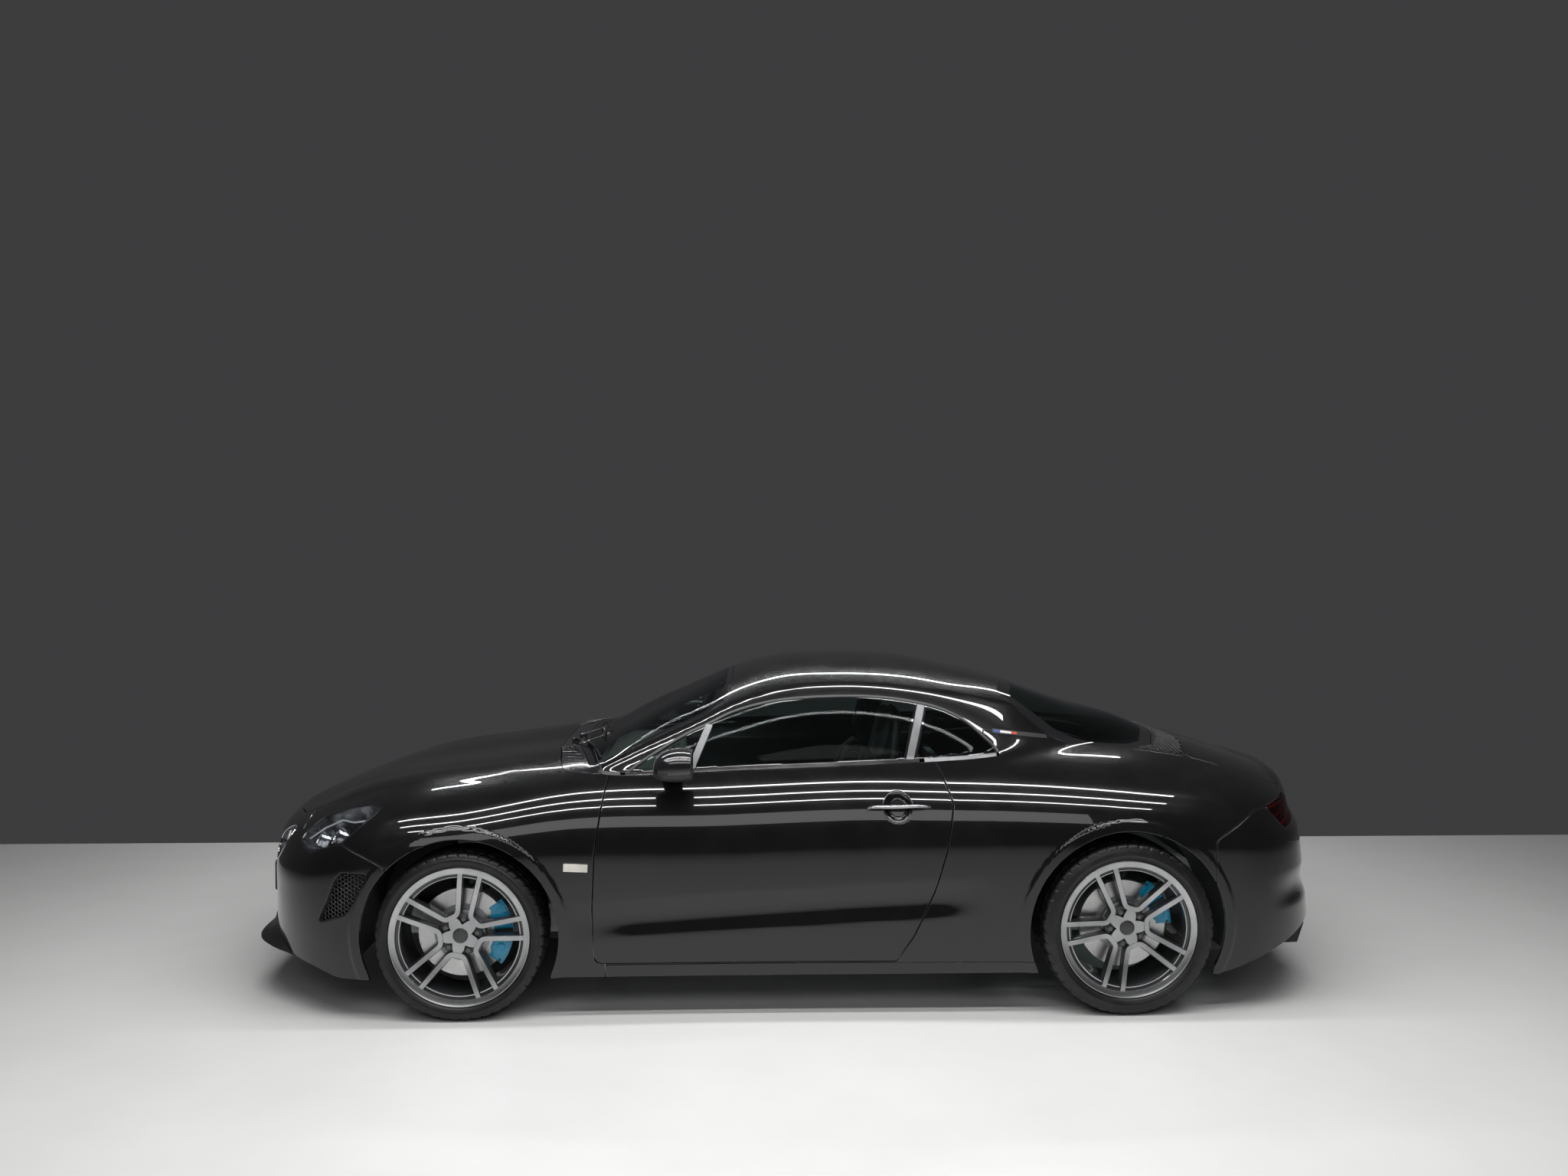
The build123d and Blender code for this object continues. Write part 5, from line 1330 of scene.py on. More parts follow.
def discAndBell(name):
    # Vented disc with its bell: two friction rings with vanes between them
    parts = []
    ring = [(160, 20), (160, 13), (158.8, 12.2), (104, 12.2), (104, 20)]
    parts.append((*spun(ring, 120), 0))
    ring = [(160, 1.8), (160, -6), (104, -6), (104, 1.8), (158.8, 1.8)]
    parts.append((*spun(ring, 120), 0))
    for k in range(48):
        a, b = 2 * math.pi * k / 48, 2 * math.pi * (k + 0.28) / 48
        outline = [(108 * math.cos(a), 108 * math.sin(a)),
                   (157 * math.cos(a + 0.06), 157 * math.sin(a + 0.06)),
                   (157 * math.cos(b + 0.06), 157 * math.sin(b + 0.06)),
                   (108 * math.cos(b), 108 * math.sin(b))]
        parts.append((*extruded(outline, 1.9, 12.1), 0))
    bell = [(104, 13), (104, 19), (86, 22), (84, 38), (80, 40), (33, 40), (33, 36), (78, 35), (80, 19),
            (98, 13)]
    parts.append((*spun(bell, 90), 1))
    return solid(name, *joinParts(parts), sharp=30)


print("wheel makers ready")
# Wheels, tyres and discs, at the places of the CAD wheels
wheelNodes = {"front": {"half": 95.0, "tyreHalf": 102.5, "radius": 306.0, "angle": 100.0},
              "rear": {"half": 108.0, "tyreHalf": 117.5, "radius": 317.0, "angle": 68.0}}
wheelFinish = [finishes["rim"], finishes["rimDark"], finishes["chrome"]]


def wheelPlace(end, word):
    # From the wheel's own axes to its place on the car; the right side is mirrored
    low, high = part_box("rim_%s_%s" % (end, word))
    turn = mirrorSide if word == "right" else Matrix.Identity(4)
    return Matrix.Translation((Vector(low) + Vector(high)) / 2) @ turn


for end, sizes in wheelNodes.items():
    rim = wheelRim("rim_alloy_%s_left" % end, sizes["half"], sizes["angle"])
    tyre = wheelTyre("tyre_tread_%s_left" % end, sizes["radius"], sizes["tyreHalf"], sizes["half"])
    disc = discAndBell("disc_vented_%s_left" % end)
    for word in ("left", "right"):
        for obj, label, slotName, looks, node in (
                (rim, "rim_alloy", "wheel_grey", wheelFinish, "rim"),
                (tyre, "tyre_tread", "tyre_rubber", finishes["rubber"], "tyre"),
                (disc, "disc_vented", "disc_steel", [finishes["disc"], finishes["alloy"]], "disc")):
            piece = copyOf(obj, "%s_%s_%s" % (label, end, word), wheelPlace(end, word))
            node = "%s_%s_%s" % (node, end, word)
            finishPiece(piece, bodyOf[node], looks, [node])
    for obj in (rim, tyre, disc):
        bpy.data.objects.remove(obj)
print("wheels made")
def gridSlab(top, norms, depth):
    # A closed strip from a grid of top points: rows along it, columns across
    n, m = top.shape[:2]
    low = top - norms * depth
    points = np.concatenate([top.reshape(-1, 3), low.reshape(-1, 3)])
    k = n * m
    faces = []
    for i in range(n - 1):
        for j in range(m - 1):
            a = i * m + j
            faces.append([a, a + 1, a + m + 1, a + m])
            faces.append([k + a, k + a + m, k + a + m + 1, k + a + 1])
        for j, flip in ((0, 0), (m - 1, 1)):
            a = i * m + j
            faces.append([a, a + m, k + a + m, k + a][::-1 if flip else 1])
    for i, flip in ((0, 1), (n - 1, 0)):
        for j in range(m - 1):
            a = i * m + j
            faces.append([a, a + 1, k + a + 1, k + a][::-1 if flip == 0 else 1])
    return points, faces


def pipe(path, radius, sides=10, up=(0, 0, 1), flat=1.0):
    # A round or flattened bar along a path of points in millimetres
    path = np.array(path, float)
    ahead = np.gradient(path, axis=0)
    ahead /= np.linalg.norm(ahead, axis=1, keepdims=True)
    side = np.cross(ahead, np.array(up, float))
    side /= np.maximum(np.linalg.norm(side, axis=1, keepdims=True), 1e-6)
    over = np.cross(side, ahead)
    angles = np.linspace(0, 2 * math.pi, sides, endpoint=False)
    size = np.broadcast_to(np.asarray(radius, float), (len(path),))[:, None, None]
    points = path[:, None] + (side[:, None] * np.cos(angles)[None, :, None]
                              + over[:, None] * np.sin(angles)[None, :, None] * flat) * size
    return points.reshape(-1, 3), tubeFaces(len(path), sides)


def curveThrough(points, step=12.0):
    # A smooth path through a few points
    return evenSteps3(catmull(np.array(points, float)), step)


def catmull(points, parts=12):
    pad = np.concatenate([2 * points[:1] - points[1:2], points, 2 * points[-1:] - points[-2:-1]])
    out = []
    for k in range(len(points) - 1):
        p0, p1, p2, p3 = pad[k:k + 4]
        for t in np.linspace(0, 1, parts, endpoint=False):
            out.append(0.5 * (2 * p1 + (p2 - p0) * t + (2 * p0 - 5 * p1 + 4 * p2 - p3) * t * t
                              + (3 * p1 - p0 - 3 * p2 + p3) * t ** 3))
    out.append(points[-1])
    return np.array(out)


def evenSteps3(points, step):
    gone = np.concatenate([[0], np.cumsum(np.linalg.norm(np.diff(points, axis=0), axis=1))])
    want = np.linspace(0, gone[-1], max(3, int(gone[-1] / step) + 1))
    return np.stack([np.interp(want, gone, points[:, k]) for k in range(3)], 1)


def onSkin(uv):
    return skinPoint(uv[:, 0], uv[:, 1])


def offSkin(uv):
    return skinNormal(uv[:, 0], uv[:, 1])


def ribbonOn(uv, width, rise=1.5, depth=5.0, closed=False):
    # A trim strip that follows a path on the body
    p, n = onSkin(uv), offSkin(uv)
    ahead = (np.roll(p, -1, 0) - np.roll(p, 1, 0)) if closed else np.gradient(p, axis=0)
    ahead /= np.maximum(np.linalg.norm(ahead, axis=1, keepdims=True), 1e-6)
    across = np.cross(n, ahead)
    across /= np.maximum(np.linalg.norm(across, axis=1, keepdims=True), 1e-6)
    half = np.broadcast_to(np.asarray(width, float) / 2, (len(p),))
    section = [(-1, 0, -depth), (-1, 0, rise * 0.35), (-1, 0.9, rise), (1, -0.9, rise), (1, 0, rise * 0.35),
               (1, 0, -depth)]
    sections = [p + across * (sign * half + shift)[:, None] + n * high for sign, shift, high in section]
    return np.stack(sections, 1).reshape(-1, 3), tubeFaces(len(p), len(section), closed)


def onSide(points, step=10.0):
    # (x, z) points of the side view as places on the body, evenly spaced
    return locate(evenSteps(np.array(points, float), step, closed=False), "side")


def bothSides(maker, name, bodies, slotName, looks, nodes=(None, None)):
    # Makes a left piece and its mirror image; maker returns points, faces and, where it has them, marks
    made = solid(name + "_left", *maker)
    other = copyOf(made, name + "_right", mirrorSide)
    finishPiece(made, bodies[0], looks, [n for n in nodes[:1] if n])
    finishPiece(other, bodies[1], looks, [n for n in nodes[1:] if n])
    return made, other


def loft(stations, sides=40, square=2.6, axis=0):
    # Superellipse rings: (place, a, b, half a, half b), where a and b are the two other axes
    angles = np.linspace(0, 2 * math.pi, sides, endpoint=False)
    c, s = np.cos(angles), np.sin(angles)
    px, py = np.sign(c) * np.abs(c) ** (2 / square), np.sign(s) * np.abs(s) ** (2 / square)
    others = [k for k in (0, 1, 2) if k != axis]
    points = np.zeros((len(stations), sides, 3))
    for row, (place, a, b, ha, hb) in enumerate(stations):
        points[row, :, axis] = place
        points[row, :, others[0]] = a + px * ha
        points[row, :, others[1]] = b + py * hb
    return points.reshape(-1, 3), tubeFaces(len(stations), sides)


# Doors: a core inside each skin, with its card, pull, pocket and speaker
doorBodies = ("door_left", "door_right")
doorSizes = {"inside": 735.0, "behind": 13.0}
for side, word in ((1, "left"), (-1, "right")):
    core = frame["nodes"]["door_" + word].copy()
    core.data = core.data.copy()
    core.name = "door_core_" + word
    core.parent = None
    bpy.context.scene.collection.objects.link(core)
    for key in list(core.keys()):
        del core[key]
    work = bmesh.new()
    work.from_mesh(core.data)
    bmesh.ops.remove_doubles(work, verts=work.verts, dist=1e-5)
    centre = Vector((0.09, 0, 0.55))
    for vert in work.verts:
        deep = (abs(vert.co.y) - doorSizes["inside"] / 1000)
        if deep > 0:
            vert.co.y -= side * min(deep, doorSizes["behind"] / 1000 + deep * 0.03)
        vert.co.x = centre.x + (vert.co.x - centre.x) * 0.9935
        vert.co.z = centre.z + (vert.co.z - centre.z) * 0.990
    work.to_mesh(core.data)
    work.free()
    core.data.materials.clear()
    core.data.polygons.foreach_set("use_smooth", [True] * len(core.data.polygons))
    core.data.set_sharp_from_angle(angle=math.radians(30))
    finishPiece(core, "door_" + word, finishes["leather"], ["door_" + word])

doorInner = doorSizes["inside"]
card = loft([(doorInner + 3, 60, 470, 560, 225), (doorInner - 5, 60, 470, 556, 222),
             (doorInner - 9, 60, 470, 545, 214),
             (doorInner - 10, 60, 470, 500, 180)], 72, 7, axis=1)
rest = loft([(doorInner - 2, -20, 600, 290, 34), (doorInner - 34, -20, 602, 286, 32),
             (doorInner - 44, -20, 603, 276, 24),
             (doorInner - 47, -20, 604, 262, 14)], 48, 4, axis=1)
pocket = loft([(doorInner - 4, 120, 320, 300, 62), (doorInner - 26, 120, 316, 296, 56),
               (doorInner - 30, 120, 315, 286, 48),
               (doorInner - 30, 120, 315, 278, 40), (doorInner - 12, 120, 315, 274, 36)], 48, 4, axis=1)
speaker = spun([(0.01, -14), (74, -14), (78, -10), (78, 4), (0.01, 4)], 48)
speaker = (speaker[0] + np.array([470, doorInner, 350]), speaker[1])
pull = pipe(curveThrough([(150, doorInner - 4, 690), (150, doorInner - 30, 694), (60, doorInner - 36, 704),
                          (-40, doorInner - 30, 712), (-40, doorInner - 4, 714)]), 9, 10)
bothSides(joinParts([(*card, 0), (*rest, 0), (*pocket, 0), (*speaker, 1), (*pull, 2)]), "door_card",
          doorBodies,
          "trim_black", [finishes["leather"], finishes["satin"], finishes["greyTrim"]])

# Handles: a pointed bar across a round recess
handle = {"z": 758.0, "front": -259.0, "rear": -485.0, "recessX": -368.0, "recess": 55.0}


def onDoor(x, z, out=0.0):
    uv = locate(np.array([[x, z]]), "side")
    return (onSkin(uv) + offSkin(uv) * out)[0]


barPath = [onDoor(x, handle["z"] + dz, out) for x, dz, out in
           ((handle["front"], -3, 1.0), (-285, -1, 12.0), (-330, 0, 19.0), (-380, 1, 19.5), (-430, 1, 17.0),
            (-470, 1, 9.0), (handle["rear"], 1, 2.0))]
barPath = curveThrough(barPath, 7.0)
share = np.linspace(0, 1, len(barPath))
grip = pipe(barPath, 3.6 + 8.4 * np.sin(np.pi * np.clip(share * 0.86 + 0.1, 0, 1)) ** 0.6, 14, flat=0.72)
ring = [(handle["recessX"] + handle["recess"] * math.cos(a), handle["z"] + handle["recess"] * math.sin(a))
        for a in np.linspace(0, 2 * math.pi, 73)[:-1]]
recessEdge = ribbonOn(locate(np.array(ring), "side"), 3.0, 0.8, 4.0, closed=True)
bothSides(joinParts([(*grip, 0), (*recessEdge, 1)]), "door_handle", doorBodies, "satin_black",
          [finishes["handleMetal"], finishes["gloss"]])

# Mirrors: a gloss cap over a satin lower shell, an arm to the door and a recessed glass
head = loft([(384, 866, 925, 80, 38), (378, 866, 925, 90, 47), (382, 866, 925, 94, 51),
             (400, 866, 925, 98, 55),
             (430, 866, 924, 99.5, 57), (462, 865, 922, 97, 54), (490, 863, 918, 88, 46),
             (507, 861, 914, 70, 35),
             (516, 859, 911, 44, 21), (519, 858, 910, 14, 7)], 56, 2.9)
headMarks = []
for face in head[1]:
    middle = np.mean(head[0][face], axis=0)
    headMarks.append(2 if middle[0] < 381 or len(face) > 4
                     and middle[0] < 400 else (1 if middle[2] < 906 else 0))
arm = loft([(716, 456, 842, 44, 9), (735, 455, 849, 40, 11), (762, 452, 862, 35, 13), (790, 448, 880, 33, 15),
            (812, 446, 893, 30, 13)], 32, 2.4, axis=1)
glassPlate = loft([(383.6, 866, 925, 78, 36), (382.6, 866, 925, 77, 35)], 56, 2.9)
lipRing = loft([(820, 452, 905, 60, 3), (905, 452, 905, 58, 3)], 24, 3, axis=1)
bothSides(joinParts([(*head, headMarks), (*arm, 1), (*glassPlate, 3), (*lipRing, 1)]), "mirror_head",
          doorBodies,
          "satin_black", [finishes["gloss"], finishes["satin"], finishes["satin"], finishes["chrome"]],
          ("mirror_left", "mirror_right"))
print("doors made")

# Trim round the side glass
def joinStrip(x0, x1, wide, rise, depth):
    # The strip that covers the join between body and glasshouse
    picked = joinRows[(xRow[joinRows] >= x0) & (xRow[joinRows] <= x1)]
    low, high = joinLow[picked] - wide, joinHigh[picked] + wide
    across = np.linspace(0, 1, 7)
    uv = np.stack([np.repeat(picked[:, None], 7, 1), low[:, None] + (high - low)[:, None] * across], -1)
    flat = uv.reshape(-1, 2).astype(float)
    p, n = onSkin(flat), offSkin(flat)
    lift = np.tile(rise * np.sin(np.pi * np.clip(across, 0.04, 0.96)) ** 0.35, len(picked))
    return gridSlab((p + n * lift[:, None]).reshape(-1, 7, 3), n.reshape(-1, 7, 3), depth)


bothSides(joinStrip(-478, 640, 0.5, 1.6, 7.0), "belt_seal", doorBodies, "satin_black", [finishes["gloss"]])
bothSides(joinStrip(-776, -479, 0.8, 2.4, 7.0), "belt_end_trim", ("root", "root"), "satin_black",
          [finishes["greyTrim"]])
bothSides(joinStrip(641, 800, 0.5, 1.2, 7.0), "belt_front_trim", ("root", "root"), "satin_black",
          [finishes["satin"]])

# The surround of the side glass, from the front corner over the top to the rear corner
edgeRing = rings["sideGlass"]
aboveJoin = edgeRing[:, 1] > joinAtRow(joinHigh, edgeRing[:, 0]) + 0.8
start = next(k for k in range(len(edgeRing)) if aboveJoin[k] and not aboveJoin[k - 1])
surround = np.roll(edgeRing, -start, axis=0)
surround = surround[np.roll(aboveJoin, -start)]
bothSides(ribbonOn(surround, 11.0, 1.8, 6.0), "window_surround", ("root", "root"), "satin_black",
          [finishes["satin"]])
outerLine = surround.copy()
bothSides(ribbonOn(outerLine, 2.4, 2.6, 4.0), "window_bead", ("root", "root"), "satin_black",
          [finishes["greyTrim"]])

# The divider behind the mirror and the slim one ahead of it ride on the door
divider = onSide([(322, 1030), (388, 880)], 8)
thin = onSide([(398, 950), (372, 880)], 8)
bothSides(joinParts([(*ribbonOn(divider, 27.0, 2.0, 6.0), 0), (*ribbonOn(thin, 7.0, 1.6, 6.0), 0)]),
          "glass_divider",
          doorBodies, "satin_black", [finishes["greyTrim"]])

# The strip on the rear pillar: satin, with three short dashes of colour
strip = {"start": (-765, 1000), "end": (-993, 967), "width": 21.0,
         "dashes": ((0.03, 0.13), (0.14, 0.34), (0.35, 0.44))}
sx, sz = np.array(strip["start"], float), np.array(strip["end"], float)


def alongStrip(a, b):
    return onSide([tuple(sx + (sz - sx) * a), tuple(sx + (sz - sx) * (a + b) / 2), tuple(sx + (sz - sx) * b)],
                  6)


stripParts = [(*ribbonOn(alongStrip(0.0, 1.0), strip["width"], 1.4, 4.0), 0)]
for number, (a, b) in enumerate(strip["dashes"]):
    stripParts.append((*ribbonOn(alongStrip(a, b), strip["width"] * 0.52, 2.0, 2.4), number + 1))
bothSides(joinParts(stripParts), "pillar_strip", ("root", "root"), "satin_black",
          [finishes["satin"], finishes["dashBlue"], finishes["dashWhite"], finishes["dashRed"]])

# Side indicators: a slim lens in a dark frame
blink = onSide([(752, 553), (795, 555), (838, 557)], 8)
bothSides(joinParts([(*ribbonOn(blink, 37.0, 1.0, 3.0), 0), (*ribbonOn(blink, 29.0, 2.2, 2.0), 1)]),
          "side_indicator",
          ("root", "root"), "lamp_glass", [finishes["satin"], finishes["indicatorLens"]])
print("trim made")
def bucket(region, inset, lip, deep, wall=2.5, draft=7.0):
    # A closed tray set into the body behind a lens or a mesh: a floor, drafted sides and a rim
    points, norms, tris = weldClose(*regionMesh([region], region in ("centreIntake",)))
    loops = boundaryLoops(tris)
    count = len(points)
    floorFront, floorBack = points - norms * deep, points - norms * (deep + wall)
    extra, faces, base = [], [], 2 * count
    for loop in loops:
        loop = np.array(loop)
        p, n = points[loop], norms[loop]
        ahead = np.roll(p, -1, axis=0) - p
        out = np.cross(ahead, n)
        out = out + np.roll(out, 1, axis=0)
        out -= n * np.sum(out * n, 1, keepdims=True)
        out /= np.maximum(np.linalg.norm(out, axis=1, keepdims=True), 1e-6)
        floorFront[loop] = p - out * (inset + draft) - n * deep
        floorBack[loop] = p - out * (inset + draft - wall) - n * (deep + wall)
        rimIn, rimOut = p - out * inset - n * lip, p - out * (inset - wall) - n * lip
        m = len(loop)
        a, b = base + np.arange(m), base + m + np.arange(m)
        extra += [rimIn, rimOut]
        base += 2 * m
        following = np.roll(np.arange(m), -1)
        faces += np.stack([loop, a, a[following], loop[following]], 1).tolist()
        faces += np.stack([a, b, b[following], a[following]], 1).tolist()
        faces += np.stack([b, loop + count, (loop + count)[following], b[following]], 1).tolist()
    faces += tris.tolist() + (tris[:, ::-1] + count).tolist()
    return np.concatenate([floorFront, floorBack] + extra), faces


def aimed(points, place, direction):
    # Carries a part spun about +Y to a place, its axis along a direction
    turn = Vector((0, 1, 0)).rotation_difference(Vector(direction)).to_matrix()
    return np.asarray(points) @ np.array(turn).T + np.array(place)


def projector(radius, place, direction):
    # A lamp unit: a bright bezel, a dark barrel and a clear ball of glass
    parts = []
    p, f = spun([(radius + 7, -34), (radius + 7, 0), (radius + 4.5, 3.2), (radius + 1, 1.5), (radius, -3),
                 (radius, -12), (radius + 3.5, -34)], 48)
    parts.append((aimed(p, place, direction), f, 1))
    angles = np.linspace(0.02, math.pi / 2, 9)
    dome = [(radius * math.sin(a), -12 + radius * 0.46 * math.cos(a))
            for a in angles] + [(radius, -14), (0.01, -14)]
    p, f = spun(dome, 48)
    parts.append((aimed(p, place, direction), f, 2))
    p, f = spun([(0.01, -15), (radius + 1, -15), (radius * 0.7, -36), (0.01, -38)], 40)
    parts.append((aimed(p, place, direction), f, 0))
    return parts


def lampRing(radius, place, direction, wide=3.0):
    # A thin ring of light set on edge
    p, f = spun([(radius, -3), (radius, 2), (radius - wide, 2), (radius - wide, -3)], 60)
    return aimed(p, place, direction), f


# Head lamps: a black tray with two projectors, a light bar and a fluted wall behind them
lampSizes = {"deep": 62.0, "outer": (1690, 664), "inner": (1772, 640), "outerRadius": 27.0,
             "innerRadius": 23.0}
lampLooks = [finishes["lampTray"], finishes["chrome"], finishes["lampBall"], finishes["satin"],
             finishes["lampBar"]]
parts = [(*bucket("headlamp", 1.6, 3.8, lampSizes["deep"]), 0)]
for key, radius in (("outer", lampSizes["outerRadius"]), ("inner", lampSizes["innerRadius"])):
    uv = locate(np.array([lampSizes[key]], float), "side")
    place = (onSkin(uv) - offSkin(uv) * 24.0)[0]
    aim = offSkin(uv)[0] * 0.62 + np.array([0.5, 0.05, 0.0])
    aim /= np.linalg.norm(aim)
    parts += projector(radius, place, aim)
barPath = onSide([(1560, 716), (1620, 704), (1680, 700), (1750, 668), (1806, 628)], 8)
p, n = onSkin(barPath), offSkin(barPath)
parts.append((*pipe(p - n * 14.0, 3.6, 10), 4))
for k, share in enumerate(np.linspace(0.0, 1.0, 9)):
    uv = locate(np.array([[1556 + 92 * share, 728 - 26 * share]]), "side")
    base, out = onSkin(uv)[0], offSkin(uv)[0]
    parts.append((*pipe(np.array([base - out * 56, base - out * 20]), 2.6, 8, up=(1, 0, 0)), 3))
bothSides(joinParts(parts), "head_lamp_unit", ("root", "root"), "lamp_glass", lampLooks)

# Driving lamps: a deep bezel ring round a reflector and a ball
drive = locate(np.array([[500.0, 572.0]]), "front")
place, out = onSkin(drive)[0], offSkin(drive)[0]
aim = out * 0.5 + np.array([0.6, 0, 0])
aim /= np.linalg.norm(aim)
parts = [(*bucket("drivingLamp", 1.6, 7.0, 48.0, draft=14.0), 0)]
parts += projector(30.0, place - out * 22, aim)
ringPath = onSkin(rings["drivingLamp"]) - offSkin(rings["drivingLamp"]) * 1.2
ringPath = np.concatenate([ringPath, ringPath[:2]])
parts.append((*pipe(ringPath, 3.4, 10), 1))
parts.append((*lampRing(50, place - out * 24, aim, 4.0), 4))
bothSides(joinParts(parts), "driving_lamp_unit", ("root", "root"), "lamp_glass", lampLooks)

# Tail lamps: a red light blade over a dark tray, with a clear lower strip
parts = [(*bucket("tailLamp", 1.6, 3.8, 40.0, draft=5.0), 0)]
blade = onSide([(rearAxle - 562, 738), (rearAxle - 640, 741), (rearAxle - 720, 738), (rearAxle - 772, 728)],
               8)
p, n = onSkin(blade), offSkin(blade)
parts.append((*pipe(p - n * 11.0, 5.2, 12), 1))
lower = onSide([(rearAxle - 628, 676), (rearAxle - 690, 686), (rearAxle - 760, 706)], 8)
p, n = onSkin(lower), offSkin(lower)
parts.append((*pipe(p - n * 13.0, 4.2, 12), 2))
middleBlade = onSide([(rearAxle - 590, 706), (rearAxle - 660, 714), (rearAxle - 730, 720),
                      (rearAxle - 775, 716)], 8)
p, n = onSkin(middleBlade), offSkin(middleBlade)
parts.append((*pipe(p - n * 17.0, 7.0, 12, flat=0.6), 3))
bothSides(joinParts(parts), "tail_lamp_unit", ("root", "root"), "lamp_red",
          [finishes["tailDark"], finishes["tailRed"], finishes["lampBar"], finishes["tailDark"]])

# Corner intakes: a black duct; the honeycomb set into it is made further on
parts = [(*bucket("cornerIntake", 0.4, 2.0, 55.0, draft=10.0), 0)]
bothSides(joinParts(parts), "corner_duct", ("root", "root"), "satin_black", [finishes["satin"]])
print("lamps made")
def repeatTree():
    # Geometry Nodes: copies of a part set round the axle or along a line
    tree = bpy.data.node_groups.new("repeatPart", "GeometryNodeTree")
    for name, kind in (("Part", "Geometry"), ("Count", "Int"), ("Radius", "Float"), ("Start", "Float"),
                       ("Step", "Vector"), ("Along Line", "Bool"), ("Finish", "Material")):
        tree.interface.new_socket(name=name, in_out="INPUT", socket_type="NodeSocket" + kind)
    tree.interface.new_socket(name="Geometry", in_out="OUTPUT", socket_type="NodeSocketGeometry")

    def add(kind, settings=None, **values):
        node = tree.nodes.new(kind)
        for key, value in (settings or {}).items():
            setattr(node, key, value)
        for key, value in values.items():
            place = node.inputs[int(key[1:])] if key[0] == "i" and key[1:].isdigit() else node.inputs[key]
            if hasattr(value, "links"):
                tree.links.new(value, place)
            else:
                place.default_value = value
        return node

    start, end = tree.nodes.new("NodeGroupInput"), tree.nodes.new("NodeGroupOutput")
    given = start.outputs
    number = add("GeometryNodeInputIndex").outputs[0]
    share = add("ShaderNodeMath", {"operation": "DIVIDE"}, i0=number, i1=given["Count"]).outputs[0]
    turned = add("ShaderNodeMath", {"operation": "MULTIPLY_ADD"}, i0=share, i1=2 * math.pi,
                 i2=given["Start"]).outputs[0]
    cosine = add("ShaderNodeMath", {"operation": "COSINE"}, i0=turned).outputs[0]
    sine = add("ShaderNodeMath", {"operation": "SINE"}, i0=turned).outputs[0]
    across = add("ShaderNodeMath", {"operation": "MULTIPLY"}, i0=cosine, i1=given["Radius"]).outputs[0]
    upward = add("ShaderNodeMath", {"operation": "MULTIPLY"}, i0=sine, i1=given["Radius"]).outputs[0]
    ringPlace = add("ShaderNodeCombineXYZ", X=across, Z=upward).outputs[0]
    against = add("ShaderNodeMath", {"operation": "MULTIPLY"}, i0=turned, i1=-1.0).outputs[0]
    ringTurn = add("ShaderNodeCombineXYZ", Y=against).outputs[0]
    linePlace = add("ShaderNodeVectorMath", {"operation": "SCALE"}, i0=given["Step"], Scale=number).outputs[0]
    place = add("GeometryNodeSwitch", {"input_type": "VECTOR"}, i0=given["Along Line"], i1=ringPlace,
                i2=linePlace)
    turn = add("GeometryNodeSwitch", {"input_type": "VECTOR"}, i0=given["Along Line"], i1=ringTurn)
    spots = add("GeometryNodePoints", Count=given["Count"], Position=place.outputs[0]).outputs[0]
    spread = add("GeometryNodeInstanceOnPoints", Points=spots, Instance=given["Part"],
                 Rotation=turn.outputs[0])
    real = add("GeometryNodeRealizeInstances", Geometry=spread.outputs[0])
    finish = add("GeometryNodeSetMaterial", Geometry=real.outputs[0], Material=given["Finish"])
    tree.links.new(finish.outputs[0], end.inputs[0])
    return tree


repeating = repeatTree()


def repeated(obj, material, **values):
    # Runs the tree on an object, then keeps the plain mesh
    modifier = obj.modifiers.new("repeat", "NODES")
    modifier.node_group = repeating
    sockets = {item.name: item.identifier for item in repeating.interface.items_tree
               if item.in_out == "INPUT"}
    modifier[sockets["Finish"]] = material
    for key, value in values.items():
        modifier[sockets[key.replace("_", " ")]] = value
    obj.data.update()
    settle(obj)
    obj.data.materials.clear()
    return obj


# Wheel bolts, by the repeating tree
boltSizes = {"radius": 60.0, "head": 9.6, "tall": 12.0, "seat": 12.5}
for end, sizes in wheelNodes.items():
    base = sizes["half"] - 40
    hexagon = [(boltSizes["head"] * math.cos(a), boltSizes["head"] * math.sin(a))
               for a in np.linspace(0, 2 * math.pi, 7)[:-1]]
    shank = spun([(0.01, base), (boltSizes["seat"], base), (boltSizes["seat"], base + 3), (9.0, base + 5),
                  (0.01, base + 5)], 24)
    head = extruded(hexagon, base + 4.5, base + boltSizes["tall"])
    bolt = solid("bolt", *joinParts([(*shank, 0), (*head, 0)]), bevel=0.8)
    bolt.data.materials.clear()
    bolt = repeated(bolt, finishes["iron"], Count=5, Radius=boltSizes["radius"] / 1000,
                    Start=math.radians(sizes["angle"]))
    for word in ("left", "right"):
        piece = copyOf(bolt, "wheel_bolts_%s_%s" % (end, word), wheelPlace(end, word))
        finishPiece(piece, bodyOf["rim_%s_%s" % (end, word)], finishes["iron"])
    bpy.data.objects.remove(bolt)

# Calipers: two lobes over the disc with a pad window between them
caliperSizes = {"inner": 112.0, "outer": 182.0}


